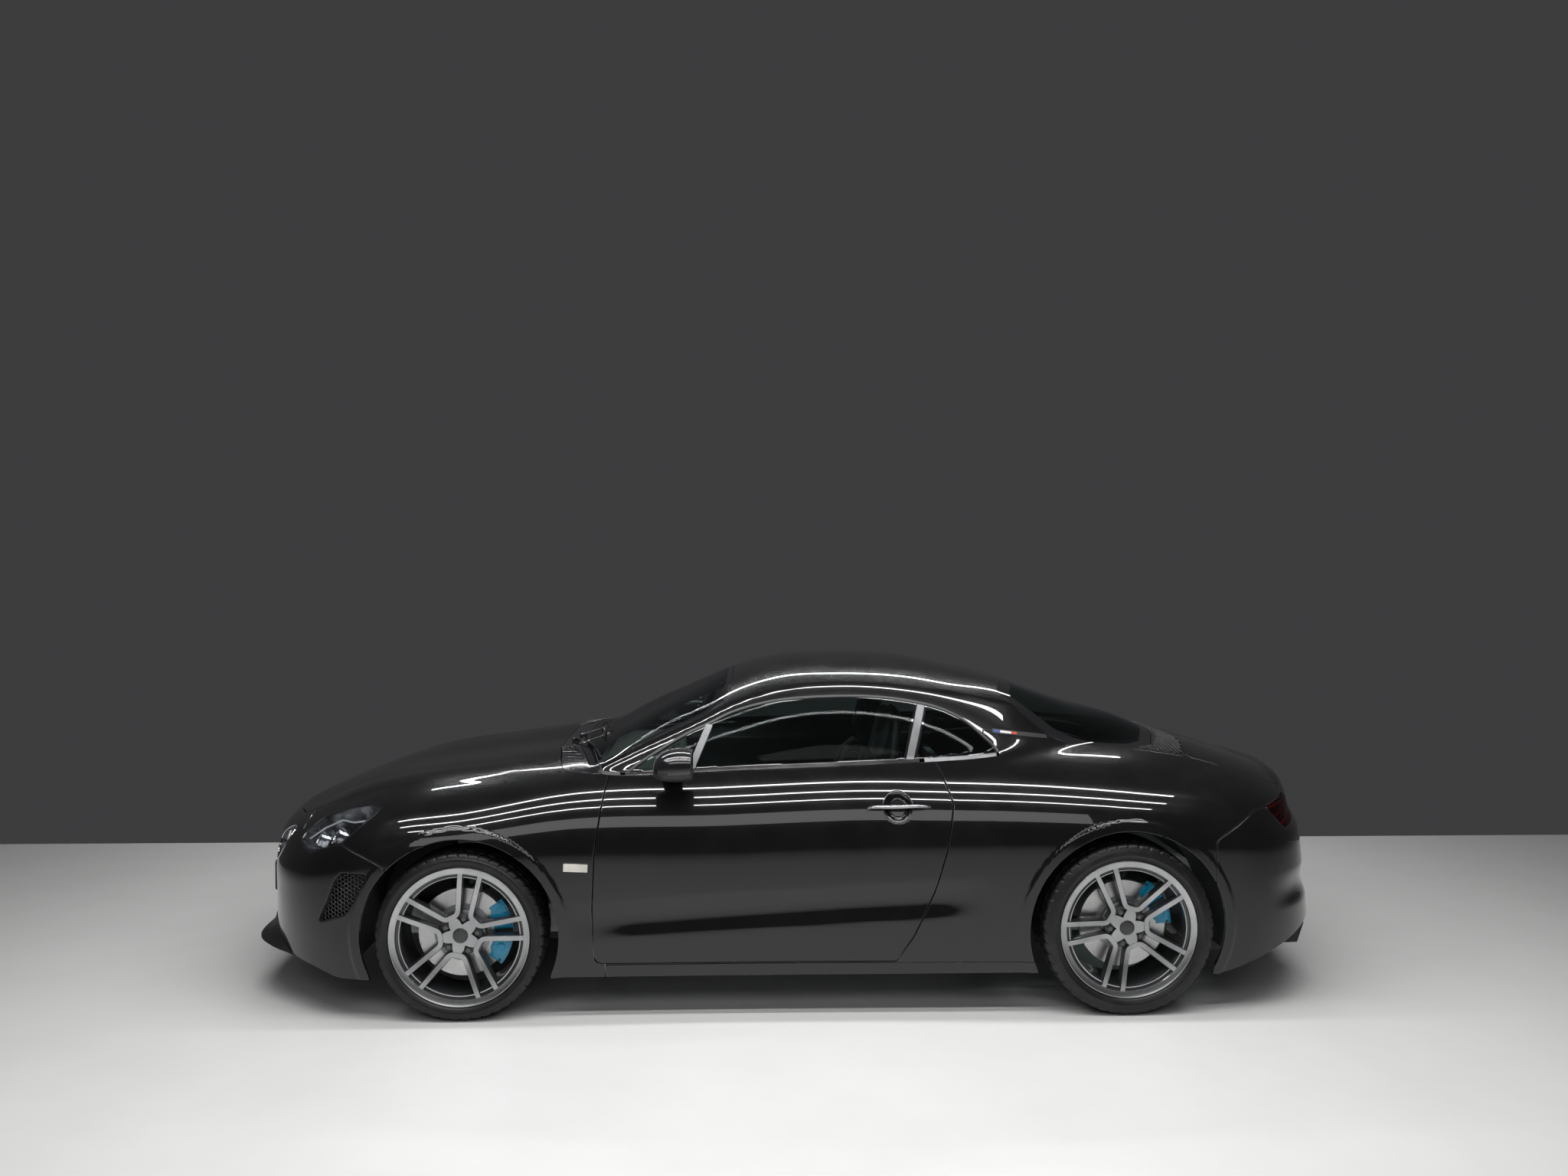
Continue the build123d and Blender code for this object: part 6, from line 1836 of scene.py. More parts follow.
def caliperParts(middle, halfAngle, outside):
    c = caliperSizes
    parts = []
    m, h = math.radians(middle), math.radians(halfAngle)

    def arc(r, a0, a1, count=12):
        return [(r * math.cos(a), r * math.sin(a)) for a in np.linspace(a0, a1, count)]
    body = arc(c["outer"], m - h, m + h, 24) + arc(c["inner"] + 14, m + h * 1.04, m + h * 0.9, 3) \
        + arc(c["inner"], m + h * 0.7, m - h * 0.7, 14) + arc(c["inner"] + 14, m - h * 0.9, m - h * 1.04, 3)
    parts.append((*extruded(body, 22.0, outside - 5), 0))
    for sign in (1, -1):
        lobe = arc(c["outer"] - 5, m + sign * h * 0.16, m + sign * h * 0.88, 10) \
            + arc(c["inner"] + 8, m + sign * h * 0.78, m + sign * h * 0.16, 8)
        if sign < 0:
            lobe = lobe[::-1]
        parts.append((*extruded(lobe, outside - 6, outside), 0))
    low = arc(c["outer"] - 2, m - h * 0.1, m + h * 0.1, 5) + arc(c["inner"] + 4, m + h * 0.1, m - h * 0.1, 5)
    parts.append((*extruded(low, outside - 7, outside - 2.5), 1))
    for sign in (1, -1):
        a = m + sign * h * 0.52
        cup, f = spun([(0.01, outside - 3), (15, outside - 3), (15, outside + 0.6), (13, outside + 1.6),
                       (0.01, outside + 1.6)], 30)
        parts.append((cup + np.array([148 * math.cos(a), 0, 148 * math.sin(a)]), f, 0))
        screw, f = spun([(0.01, outside - 3), (5, outside - 3), (5, outside + 3), (0.01, outside + 3)], 6)
        parts.append((screw + np.array([168 * math.cos(m + sign * h * 0.95), 0,
                                        168 * math.sin(m + sign * h * 0.95)]), f, 2))
    return joinParts(parts)


caliperLooks = [finishes["caliper"], finishes["satin"], finishes["iron"]]
for end, middle, halfAngle, outside, nodes in (("front", 180.0, 41.0, 26.0, True),
                                               ("rear", 150.0, 30.0, 26.0, False)):
    obj = solid("caliper_%s" % end, *caliperParts(middle, halfAngle, outside), bevel=2.2, segments=3)
    for word in ("left", "right"):
        piece = copyOf(obj, "caliper_%s_%s_body" % (end, word), wheelPlace(end, word))
        node = "caliper_front_" + word if nodes else "rear_calipers"
        finishPiece(piece, bodyOf[node], caliperLooks, [node])
    bpy.data.objects.remove(obj)
print("running gear made")
def limb(stations, sides=36, square=2.8):
    # A closed form along a path in the XZ plane: stations are (x, y, z, half width across Y, half thickness)
    stations = np.array(stations, float)
    ahead = np.gradient(stations[:, :3], axis=0)
    ahead /= np.linalg.norm(ahead, axis=1, keepdims=True)
    across = np.tile([0.0, 1.0, 0.0], (len(stations), 1))
    normal = np.cross(ahead, across)
    normal /= np.linalg.norm(normal, axis=1, keepdims=True)
    angles = np.linspace(0, 2 * math.pi, sides, endpoint=False)
    c, s = np.cos(angles), np.sin(angles)
    px, py = np.sign(c) * np.abs(c) ** (2 / square), np.sign(s) * np.abs(s) ** (2 / square)
    points = (stations[:, None, :3] + across[:, None] * (px[None, :, None] * stations[:, 3][:, None, None])
              + normal[:, None] * (py[None, :, None] * stations[:, 4][:, None, None]))
    return points.reshape(-1, 3), tubeFaces(len(stations), sides)


def pillow(path, widths, thick, rows=22, square=3.0, pinch=0.86):
    # A pad whose ends and corners are rounded off
    path = np.array(path, float)
    gone = np.concatenate([[0], np.cumsum(np.linalg.norm(np.diff(path, axis=0), axis=1))])
    share = 0.5 - 0.5 * np.cos(np.linspace(0, math.pi, rows))
    want = share * gone[-1]
    centre = np.stack([np.interp(want, gone, path[:, k]) for k in range(3)], 1)
    width = np.interp(want, gone, widths)
    heavy = np.interp(want, gone, thick)
    fromEnd = np.minimum(want, gone[-1] - want)
    roundOff = np.sqrt(np.clip(1 - (1 - np.clip(fromEnd / heavy, 0, 1)) ** 2, 0.004, 1))
    corner = np.sqrt(np.clip(1 - (1 - np.clip(fromEnd / (heavy * 1.2), 0, 1)) ** 2, 0.05,
                             1)) * (1 - pinch) + pinch
    return limb(np.column_stack([centre, width * corner, heavy * roundOff]), 44, square)


def padSimulated(obj, voxel, pressure, cap, frames=20):
    # Fills the pad as cloth over a stuffed form: remesh, inflate, hold back points that move too far
    shaper = obj.modifiers.new("remesh", "REMESH")
    shaper.mode, shaper.voxel_size, shaper.use_smooth_shade = "VOXEL", voxel / 1000, True
    settle(obj)
    start = np.zeros(len(obj.data.vertices) * 3)
    obj.data.vertices.foreach_get("co", start)
    cloth = obj.modifiers.new("cloth", "CLOTH")
    cloth.settings.use_pressure = True
    cloth.settings.uniform_pressure_force = pressure
    cloth.settings.effector_weights.gravity = 0
    cloth.settings.quality = 4
    cloth.point_cache.frame_start, cloth.point_cache.frame_end = 1, frames
    for number in range(1, frames + 1):
        bpy.context.scene.frame_set(number)
    settle(obj)
    bpy.context.scene.frame_set(1)
    end = np.zeros(len(start))
    obj.data.vertices.foreach_get("co", end)
    move = (end - start).reshape(-1, 3)
    far = np.linalg.norm(move, axis=1, keepdims=True)
    move *= np.minimum(1, cap / 1000 / np.maximum(far, 1e-9))
    obj.data.vertices.foreach_set("co", (start.reshape(-1, 3) + move).ravel())
    obj.data.update()
    return obj


# Seats: a shell with side bolsters, quilted inserts and a fixed head rest
seatSizes = {"y": 355.0, "insert": 122.0, "channelDeep": 5.5}
seatY = seatSizes["y"]
shell = [(*limb([(-222, seatY, 230, 196, 20), (-238, seatY, 300, 203, 26), (-300, seatY, 560, 204, 28),
                 (-352, seatY, 760, 200, 27), (-392, seatY, 900, 168, 26), (-404, seatY, 1000, 138, 24),
                 (-408, seatY, 1052, 118, 20), (-408, seatY, 1066, 96, 8)], 40, 3.4), 0),
         (*limb([(-320, seatY, 186, 150, 10), (-300, seatY, 190, 196, 20), (60, seatY, 205, 200, 26),
                 (140, seatY, 222, 196, 26), (158, seatY, 226, 170, 14)], 40, 3.6), 0)]
for y in (seatY - 120, seatY + 120):
    shell.append((*limb([(-330, y, 172, 14, 6), (-328, y, 172, 15, 7), (120, y, 172, 15, 7),
                         (122, y, 172, 14, 6)], 12, 4), 1))
seatShell = solid("seat_shell_left", *joinParts(shell), sharp=34, bevel=1.5)
cushions = [
    pillow([(-150, seatY, 262), (-60, seatY, 258), (60, seatY, 272), (172, seatY, 292)],
           [seatSizes["insert"] - 6, seatSizes["insert"], seatSizes["insert"] + 4, seatSizes["insert"] - 2],
           [34, 36, 36, 30]),
    pillow([(-192, seatY, 330), (-235, seatY, 500), (-285, seatY, 690), (-326, seatY, 836)],
           [seatSizes["insert"] - 4, seatSizes["insert"], seatSizes["insert"] + 2, 104], [30, 33, 33, 28]),
    pillow([(-336, seatY, 862), (-356, seatY, 930), (-372, seatY, 1000), (-380, seatY, 1072)],
           [118, 112, 104, 92], [26, 29, 28, 22]),
]
for side in (1, -1):
    y = seatY + side * 163
    cushions.append(pillow([(-150, y, 282), (-40, y, 278), (80, y, 290), (166, y, 296)], [38, 42, 42, 34],
                           [34, 40, 38, 28],
                           square=2.4))
    y = seatY + side * 158
    cushions.append(pillow([(-176, y, 350), (-222, y, 500), (-262, y, 640), (-312, y + side * -14, 800)],
                           [36, 44, 44, 30], [34, 44, 42, 26], square=2.3))
pads = solid("seat_pads_left", *joinParts([(*c, 0) for c in cushions]), sharp=60)
padSimulated(pads, 6.0, 4.0, 7.0)
padPoints = np.zeros(len(pads.data.vertices) * 3)
pads.data.vertices.foreach_get("co", padPoints)
padPoints = padPoints.reshape(-1, 3) * 1000
padNormals = np.zeros(len(pads.data.vertices) * 3)
pads.data.vertices.foreach_get("normal", padNormals)
padNormals = padNormals.reshape(-1, 3)
onInsert = np.abs(padPoints[:, 1] - seatY) < seatSizes["insert"] - 8
front = padNormals @ np.array([0.8, 0, 0.6]) > 0.25
along = np.where(padPoints[:, 2] > 318, padPoints[:, 2] * 1.03, -padPoints[:, 0])
groove = np.exp(-(((along + 16) % 62 - 31) / 4.2) ** 2) * seatSizes["channelDeep"]
groove *= np.clip((seatSizes["insert"] - 8 - np.abs(padPoints[:, 1] - seatY)) / 14, 0,
                  1) * (padPoints[:, 2] < 850)
padPoints -= padNormals * (groove * onInsert * front)[:, None]
pads.data.vertices.foreach_set("co", (padPoints / 1000).ravel())
pads.data.update()
softer = pads.modifiers.new("smooth", "SUBSURF")
softer.levels = softer.render_levels = 1
thinner = pads.modifiers.new("thin", "DECIMATE")
thinner.ratio = 0.27
settle(pads)
pads.data.polygons.foreach_set("use_smooth", [True] * len(pads.data.polygons))
slots = []
for y in (seatY - 46, seatY + 46):
    slots.append((*limb([(-336, y, 874, 20, 5), (-340, y, 884, 26, 6), (-345, y, 898, 26, 6),
                         (-349, y, 908, 20, 5)], 20, 2.2), 0))
trimSlots = solid("seat_slots_left", *joinParts(slots), bevel=1.0)
for side, word in ((1, "left"), (-1, "right")):
    turn = Matrix.Identity(4) if side == 1 else mirrorSide
    for part, label, look, slotName in ((seatShell, "seat_shell", [finishes["satin"], finishes["iron"]],
                                         "trim_black"),
                                        (trimSlots, "seat_slots", finishes["greyTrim"], "trim_black"),
                                        (pads, "seat_cushions", finishes["leather"], "trim_black")):
        piece = copyOf(part, "%s_%s" % (label, word), turn)
        finishPiece(piece, "root", look, ["seats"])
for part in (seatShell, trimSlots, pads):
    bpy.data.objects.remove(part)
print("seats made")

# Dashboard, hood, screen, vents and console
dashSizes = {"half": 632.0, "screen": (476, 0, 792),
             "vents": ((465, 560), (455, 195), (455, -195), (465, -560))}
profile = [(782, 566), (782, 796), (700, 834), (560, 838), (466, 812), (446, 776), (456, 704), (520, 606)]
parts = [(*extruded(profile, -dashSizes["half"], dashSizes["half"]), 0)]
tunnelTop = [(-415, 380), (-415, 474), (180, 464), (350, 512), (470, 610), (640, 600), (640, 380)]
parts.append((*extruded(tunnelTop, -118, 118), 0))
dash = solid("dash_body", *joinParts(parts), bevel=16.0, segments=4)
finishPiece(dash, "root", finishes["leather"], ["dashboard"])
details = []
hood = limb([(438, 355, 800, 10, 5), (440, 355, 804, 128, 18), (470, 355, 822, 140, 20),
             (520, 355, 834, 138, 14),
             (600, 355, 836, 120, 7), (640, 355, 836, 90, 3)], 40, 3.2)
details.append((*hood, 0))
details.append((*loft([(452, 355, 790, 112, 30), (446, 355, 790, 116, 34), (443, 355, 790, 112, 30)], 40, 3),
                1))
sx, sy, sz = dashSizes["screen"]
details.append((*loft([(sx + 16, sy, sz, 96, 52), (sx - 6, sy, sz + 3, 102, 58),
                       (sx - 12, sy, sz + 4, 101, 57), (sx - 15, sy, sz + 4, 96, 52)], 40, 8), 1))
for x, y in dashSizes["vents"]:
    ring, f = spun([(44, 0), (44, 14), (38, 18), (34, 12), (34, 0)], 48)
    details.append((aimed(ring, (x - 4, y, 748), (-1, 0, 0.12)), f, 2))
    for k in range(-2, 3):
        details.append((*pipe(np.array([(x - 12, y - 32, 748 + k * 12), (x - 12, y + 32, 748 + k * 12)]), 3.0,
                              8,
                              flat=0.4), 1))
    cup, f = spun([(34, 0), (34, 4), (0.01, 4), (0.01, 0)], 32)
    details.append((aimed(cup, (x - 2, y, 748), (-1, 0, 0.12)), f, 1))
for k in range(3):
    p, f = spun([(17, 0), (17, 5), (14, 7), (0.01, 7), (0.01, 0)], 36)
    details.append((aimed(p, (250 - k * 44, 0, 489 - k * 8), (-0.2, 0, 1)), f, 2))
    details.append((*pipe(np.array([(452, -50 + k * 50, 700), (446, -50 + k * 50, 700)]), 12, 20), 2))
details.append((*loft([(-330, 0, 478, 66, 10), (-326, 0, 484, 72, 22), (-40, 0, 486, 72, 24),
                       (-30, 0, 480, 60, 16)], 36, 4), 0))
dashDetails = solid("dash_details", *joinParts(details), sharp=34)
finishPiece(dashDetails, "root", [finishes["leather"], finishes["gloss"], finishes["greyTrim"]],
            ["dashboard"])

# Steering wheel, built flat and then leant onto its column
wheelForm = {"radius": 168.0, "tube": 14.0, "flat": 132.0}


def hoop(radius, tube, flatAt, steps=96, sides=16):
    angles = np.linspace(0, 2 * math.pi, steps, endpoint=False)
    x, y = radius * np.cos(angles), radius * np.sin(angles)
    y = np.where(y < -flatAt, -flatAt - (-y - flatAt) * 0.25, y)
    path = np.stack([x, y, np.full(steps, 14.0)], 1)
    ahead = np.roll(path, -1, 0) - np.roll(path, 1, 0)
    ahead /= np.linalg.norm(ahead, axis=1, keepdims=True)
    out = np.cross(ahead, [0, 0, 1.0])
    ring = np.linspace(0, 2 * math.pi, sides, endpoint=False)
    points = path[:, None] + (out[:, None] * np.cos(ring)[None, :, None]
                              + np.array([0, 0, 1.0])[None, None] * np.sin(ring)[None, :, None] * 1.12) * tube
    return points.reshape(-1, 3), tubeFaces(steps, sides, closed=True)


def plate(outline, z0, z1):
    n = len(outline)
    pts = [(x, y, z0) for x, y in outline] + [(x, y, z1) for x, y in outline]
    return np.array(pts, float), [[i, (i + 1) % n, n + (i + 1) % n, n + i] for i in range(n)] \
        + [list(range(n))[::-1], list(range(n, 2 * n))]


wheelParts = [(*hoop(wheelForm["radius"], wheelForm["tube"], wheelForm["flat"]), 0)]
for sign in (1, -1):
    arm = [(sign * 40, 22), (sign * 158, 16), (sign * 160, -14), (sign * 120, -26), (sign * 44, -30)]
    wheelParts.append((*plate(arm[::sign], 8, 18), 1))
    wheelParts.append((*plate([(sign * 62, 12), (sign * 130, 8), (sign * 132, -10), (sign * 66, -18)][::sign],
                              18, 22), 2))
wheelParts.append((*plate([(-22, -40), (-15, -134), (-8, -140), (8, -140), (15, -134), (22, -40)][::-1], 8,
                          18), 1))
hub = [(52 * math.copysign(abs(math.cos(a)) ** 0.8, math.cos(a)),
        46 * math.copysign(abs(math.sin(a)) ** 0.8, math.sin(a)))
       for a in np.linspace(0, 2 * math.pi, 33)[:-1]]
wheelParts.append((*plate(hub, 2, 30), 2))
steer = solid("steering_wheel_form", *joinParts(wheelParts), bevel=2.0, segments=2)
axisOut = Vector((-1, 0, 0.42)).normalized()
sideOut = Vector((0, 1, 0))
upOut = axisOut.cross(sideOut)
if upOut.z < 0:
    sideOut, upOut = -sideOut, -upOut
lean = Matrix((sideOut, upOut, axisOut)).transposed().to_4x4()
lean.translation = Vector((0.400, 0.355, 0.740))
moved(steer, lean)
column = solid("column", *spun([(0.01, -148), (21, -148), (21, -20), (34, -14), (40, 0), (40, 3), (0.01, 3)],
                               40))
turn = Vector((0, 1, 0)).rotation_difference(axisOut).to_matrix().to_4x4()
turn.translation = Vector((0.400, 0.355, 0.740))
moved(column, turn)
finishPiece(steer, "steering_wheel",
            [finishes["leather"], finishes["chrome"], finishes["satin"]], ["steering_wheel"])
finishPiece(column, "steering_wheel", finishes["satin"], ["steering_wheel"])
print("cabin made")
# Front splitter: a sharp blade under the bumper, hollowed above its edge
splitterSizes = {"edge": [(2087, 0, 197), (2087, 120, 197), (2086, 240, 197), (2081, 340, 198),
                          (2066, 430, 200),
                          (2026, 530, 203), (1955, 620, 203), (1868, 690, 198), (1775, 742, 182),
                          (1690, 776, 160),
                          (1622, 798, 142)],
                 "section": [(0, 0), (-16, 9), (-36, 27), (-52, 56), (-62, 92), (-92, 96), (-112, 58),
                             (-190, -4),
                             (-190, -20), (-56, -15), (-7, -6)]}
edgePath = evenSteps3(catmull(np.array(splitterSizes["edge"], float)), 16.0)
edgePath = np.concatenate([edgePath[::-1] * [1, -1, 1], edgePath[1:]])
ahead = np.gradient(edgePath, axis=0)
ahead /= np.linalg.norm(ahead, axis=1, keepdims=True)
outward = np.stack([ahead[:, 1], -ahead[:, 0], np.zeros(len(ahead))], 1)
outward /= np.linalg.norm(outward, axis=1, keepdims=True)
if outward[len(outward) // 2, 0] < 0:
    outward = -outward
shrink = np.clip((edgePath[:, 0] - 1600) / 260, 0.22, 1)
section = np.array(splitterSizes["section"], float)
points = (edgePath[:, None] + outward[:, None] * (section[None, :, :1] * (0.4 + 0.6 * shrink)[:, None, None])
          + np.array([0, 0, 1.0]) * (section[None, :, 1:] * shrink[:, None, None]))
m, n = len(section), len(edgePath)
faces = [[i * m + k, i * m + (k + 1) % m, (i + 1) * m + (k + 1) % m, (i + 1) * m + k] for i in range(n - 1)
         for k in range(m)]
faces += [list(range(m))[::-1], list(range((n - 1) * m, n * m))]
blade = solid("splitter_blade", points.reshape(-1, 3), faces, sharp=26, bevel=0.9)
finishPiece(blade, "root", finishes["satin"], ["front_splitter"])

# Rear diffuser: a ramp that turns up inside the bumper's lip, with side plates and fins
diffuser = {"ramp": [(-1575, 149), (-1700, 158), (-1850, 186), (-1960, 220), (-2010, 242), (-2030, 268),
                     (-2034, 330)],
            "half": 610.0, "tuck": 105.0, "fins": 5, "spacing": 190.0, "wall": 6.0}
rampPath = evenSteps3(catmull(np.array([(x, 0, z) for x, z in diffuser["ramp"]], float)), 16.0)
ramp = np.stack([np.stack([rampPath[:, 0], np.full(len(rampPath), y), rampPath[:, 2]], 1)
                 for y in np.linspace(-diffuser["half"], diffuser["half"], 33)], 1)
spread = np.clip((ramp[:, :, 0] + 1575) / -455, 0, 1)
ramp[:, :, 0] += spread * diffuser["tuck"] * (np.abs(ramp[:, :, 1]) / diffuser["half"]) ** 2.6
along, acrossRamp = np.gradient(ramp, axis=0), np.gradient(ramp, axis=1)
rampNormal = np.cross(along, acrossRamp)
rampNormal /= np.linalg.norm(rampNormal, axis=2, keepdims=True)
parts = [(*gridSlab(ramp, rampNormal, diffuser["wall"]), 0)]
plateOutline = [(-1575, 150), (-1700, 158), (-1850, 190), (-1925, 216), (-1935, 300), (-1860, 280),
                (-1760, 240), (-1600, 190)]
for y in (-608, 608):
    parts.append((*extruded(plateOutline, y - 4, y + 4), 0))
body = solid("diffuser_ramp", *joinParts(parts), sharp=30, bevel=1.2)
finishPiece(body, "root", finishes["satin"])
fin = solid("fin", *extruded([(-1700, 152), (-1850, 170), (-1985, 212), (-2008, 240), (-1960, 222),
                              (-1850, 190), (-1700, 164)],
                             -3.0, 3.0), bevel=1.0)
moved(fin, at3(0, -0.5 * diffuser["spacing"] * (diffuser["fins"] - 1), 0))
fin = repeated(fin, finishes["satin"], Count=diffuser["fins"], Step=(0.0, diffuser["spacing"] / 1000, 0.0),
               Along_Line=True)
fin.name = "diffuser_fins"
finishPiece(fin, "root", finishes["satin"])


def cellTree():
    # Geometry Nodes: a hexagonal ring on every point, turned to face along the point's own direction
    tree = bpy.data.node_groups.new("honeycomb", "GeometryNodeTree")
    for name, kind in (("Geometry", "Geometry"), ("Cell Radius", "Float"), ("Wall", "Float"),
                       ("Depth", "Float"),
                       ("Finish", "Material")):
        tree.interface.new_socket(name=name, in_out="INPUT", socket_type="NodeSocket" + kind)
    tree.interface.new_socket(name="Geometry", in_out="OUTPUT", socket_type="NodeSocketGeometry")
    start, end = tree.nodes.new("NodeGroupInput"), tree.nodes.new("NodeGroupOutput")
    ringCurve = tree.nodes.new("GeometryNodeCurvePrimitiveCircle")
    ringCurve.inputs["Resolution"].default_value = 6
    edge = tree.nodes.new("GeometryNodeCurvePrimitiveQuadrilateral")
    sweep = tree.nodes.new("GeometryNodeCurveToMesh")
    facing = tree.nodes.new("GeometryNodeInputNamedAttribute")
    facing.data_type = "FLOAT_VECTOR"
    facing.inputs["Name"].default_value = "facing"
    turn = tree.nodes.new("FunctionNodeAlignRotationToVector")
    turn.axis = "Z"
    spread = tree.nodes.new("GeometryNodeInstanceOnPoints")
    real = tree.nodes.new("GeometryNodeRealizeInstances")
    finish = tree.nodes.new("GeometryNodeSetMaterial")
    link = tree.links.new
    link(start.outputs["Cell Radius"], ringCurve.inputs["Radius"])
    link(start.outputs["Wall"], edge.inputs["Width"])
    link(start.outputs["Depth"], edge.inputs["Height"])
    link(ringCurve.outputs["Curve"], sweep.inputs["Curve"])
    link(edge.outputs["Curve"], sweep.inputs["Profile Curve"])
    link(start.outputs["Geometry"], spread.inputs["Points"])
    link(sweep.outputs["Mesh"], spread.inputs["Instance"])
    link(facing.outputs["Attribute"], turn.inputs["Vector"])
    link(turn.outputs["Rotation"], spread.inputs["Rotation"])
    link(spread.outputs["Instances"], real.inputs["Geometry"])
    link(real.outputs["Geometry"], finish.inputs["Geometry"])
    link(start.outputs["Finish"], finish.inputs["Material"])
    link(finish.outputs["Geometry"], end.inputs[0])
    return tree


honeycomb = cellTree()


def cellSheet(name, places, facings, size, wall, depth, material):
    mesh = bpy.data.meshes.new(name)
    mesh.from_pydata((np.asarray(places) / 1000).tolist(), [], [])
    layer = mesh.attributes.new("facing", "FLOAT_VECTOR", "POINT")
    layer.data.foreach_set("vector", np.asarray(facings, np.float32).ravel())
    obj = bpy.data.objects.new(name, mesh)
    bpy.context.scene.collection.objects.link(obj)
    modifier = obj.modifiers.new("cells", "NODES")
    modifier.node_group = honeycomb
    sockets = {item.name: item.identifier for item in honeycomb.interface.items_tree
               if item.in_out == "INPUT"}
    modifier[sockets["Cell Radius"]] = size / 1000
    modifier[sockets["Wall"]] = wall / 1000
    modifier[sockets["Depth"]] = depth / 1000
    modifier[sockets["Finish"]] = material
    obj.data.update()
    settle(obj)
    obj.data.materials.clear()
    return obj


def hexLattice(ring, size):
    low, high = ring.min(0), ring.max(0)
    dx, dz = size * 1.5, size * math.sqrt(3)
    across, up = (int((high[0] - low[0]) / dx) + 2, int((high[1] - low[1]) / dz) + 2)
    spots = np.array([(low[0] + i * dx, low[1] + (k + 0.5 * (i % 2)) * dz)
                      for i in range(across) for k in range(up)])
    return spots[inside(spots, ring)]


meshSizes = {"cell": 9.0, "wall": 1.5, "depth": 7.0, "sunk": 17.0, "centreX": 2004.0}
cornerRing = np.array(rounded(outlines["cornerIntake"][2], 10))
spots = locate(hexLattice(cornerRing, meshSizes["cell"]), "side")
cornerMesh = cellSheet("corner_mesh_left", onSkin(spots) - offSkin(spots) * meshSizes["sunk"], offSkin(spots),
                       meshSizes["cell"], meshSizes["wall"], meshSizes["depth"], finishes["gloss"])
otherMesh = copyOf(cornerMesh, "corner_mesh_right", mirrorSide)
finishPiece(cornerMesh, "root", finishes["gloss"], ["front_grille"])
finishPiece(otherMesh, "root", finishes["gloss"], ["front_grille"])
centreSpots = hexLattice(np.array([(-392, 206), (392, 206), (372, 302), (-372, 302)], float), 11.0)
places = np.stack([np.full(len(centreSpots), meshSizes["centreX"]), centreSpots[:, 0], centreSpots[:, 1]], 1)
places[:, 0] -= (np.abs(places[:, 1]) / 400) ** 2 * 46
centreMesh = cellSheet("centre_mesh", places, np.tile([1.0, 0, 0], (len(places), 1)), 11.0, 1.7, 8.0,
                       finishes["gloss"])
finishPiece(centreMesh, "root", finishes["gloss"], ["front_grille"])
duct = solid("centre_duct", *loft([(1986, 0, 252, 384, 56), (1985, 0, 252, 396, 62), (1940, 0, 252, 396, 62),
                                   (1936, 0, 252, 380, 50)], 48, 9))
finishPiece(duct, "root", finishes["satin"])

# Wipers and the scuttle's slots


def onPlan(points, lift=0.0, step=14.0):
    uv = locate(evenSteps(np.array(points, float), step, closed=False), "plan")
    return onSkin(uv) + offSkin(uv) * lift, offSkin(uv)


parts = []
for pivot, tip, bladeA, bladeB in (((868, -360), (742, 40), (790, -130), (748, 300)),
                                   ((884, 120), (760, 470), (815, 285), (728, 610))):
    arm, n = onPlan([pivot, ((pivot[0] * 0.65 + tip[0] * 0.35) - 8, pivot[1] * 0.6 + tip[1] * 0.4), tip],
                    13.0)
    parts.append((*pipe(arm, np.linspace(7.0, 4.0, len(arm)), 8, flat=0.6), 0))
    rubberPath, n = onPlan([bladeA, ((bladeA[0] + bladeB[0]) / 2 - 2, (bladeA[1] + bladeB[1]) / 2), bladeB],
                           5.0)
    parts.append((*pipe(rubberPath, 4.2, 8, flat=1.2), 1))
    top, n = onPlan([bladeA, ((bladeA[0] + bladeB[0]) / 2 - 2, (bladeA[1] + bladeB[1]) / 2), bladeB], 9.5)
    parts.append((*pipe(top, 3.0, 6, flat=0.6), 0))
    cap, f = spun([(0.01, -6), (17, -6), (16, 8), (10, 13), (0.01, 14)], 30)
    base, n = onPlan([pivot, (pivot[0] - 1, pivot[1] + 1)], 2.0, 0.5)
    parts.append((aimed(cap, base[0], n[0]), f, 0))
wipers = solid("wipers", *joinParts(parts), sharp=40)
finishPiece(wipers, "root", [finishes["gloss"], finishes["rubber"]])
slat = []
for side in (1, -1):
    for k in range(7):
        y = 330 + k * 38
        path, n = onPlan([(916 - k * 9.5, y), (858 - k * 10.5, y + 26)], 1.2, 8.0)
        if side == -1:
            path = path * [1, -1, 1]
        slat.append((*pipe(path, 5.0, 8, flat=0.5), 0))
scuttleSlats = solid("scuttle_slats", *joinParts(slat), sharp=40)
finishPiece(scuttleSlats, "root", finishes["gloss"])

# Honeycomb over the engine vent behind the rear glass
cells = hexLattice(np.array([(-1290, 0), (-1290, 540), (rearAxle - 460, 540), (rearAxle - 460, 0)], float),
                   12.0)
uv = locate(cells, "plan")
keep = inside(uv, rings["vent"]) & ~inside(uv, rings["rearGlass"])
for dx, dy in ((24, 0), (-24, 0), (0, 24)):
    near = locate(cells + [dx, dy], "plan")
    keep &= inside(near, rings["vent"]) & ~inside(near, rings["rearGlass"])
places, facings = onSkin(uv[keep]), offSkin(uv[keep])
away = cells[keep][:, 1] > 4
places = np.concatenate([places, places[away] * [1, -1, 1]])
facings = np.concatenate([facings, facings[away] * [1, -1, 1]])
ventMesh = cellSheet("engine_vent_mesh", places + facings * 1.2, facings, 12.0, 2.6, 5.0, finishes["satin"])
finishPiece(ventMesh, "root", finishes["satin"])
print("front and rear fittings made")
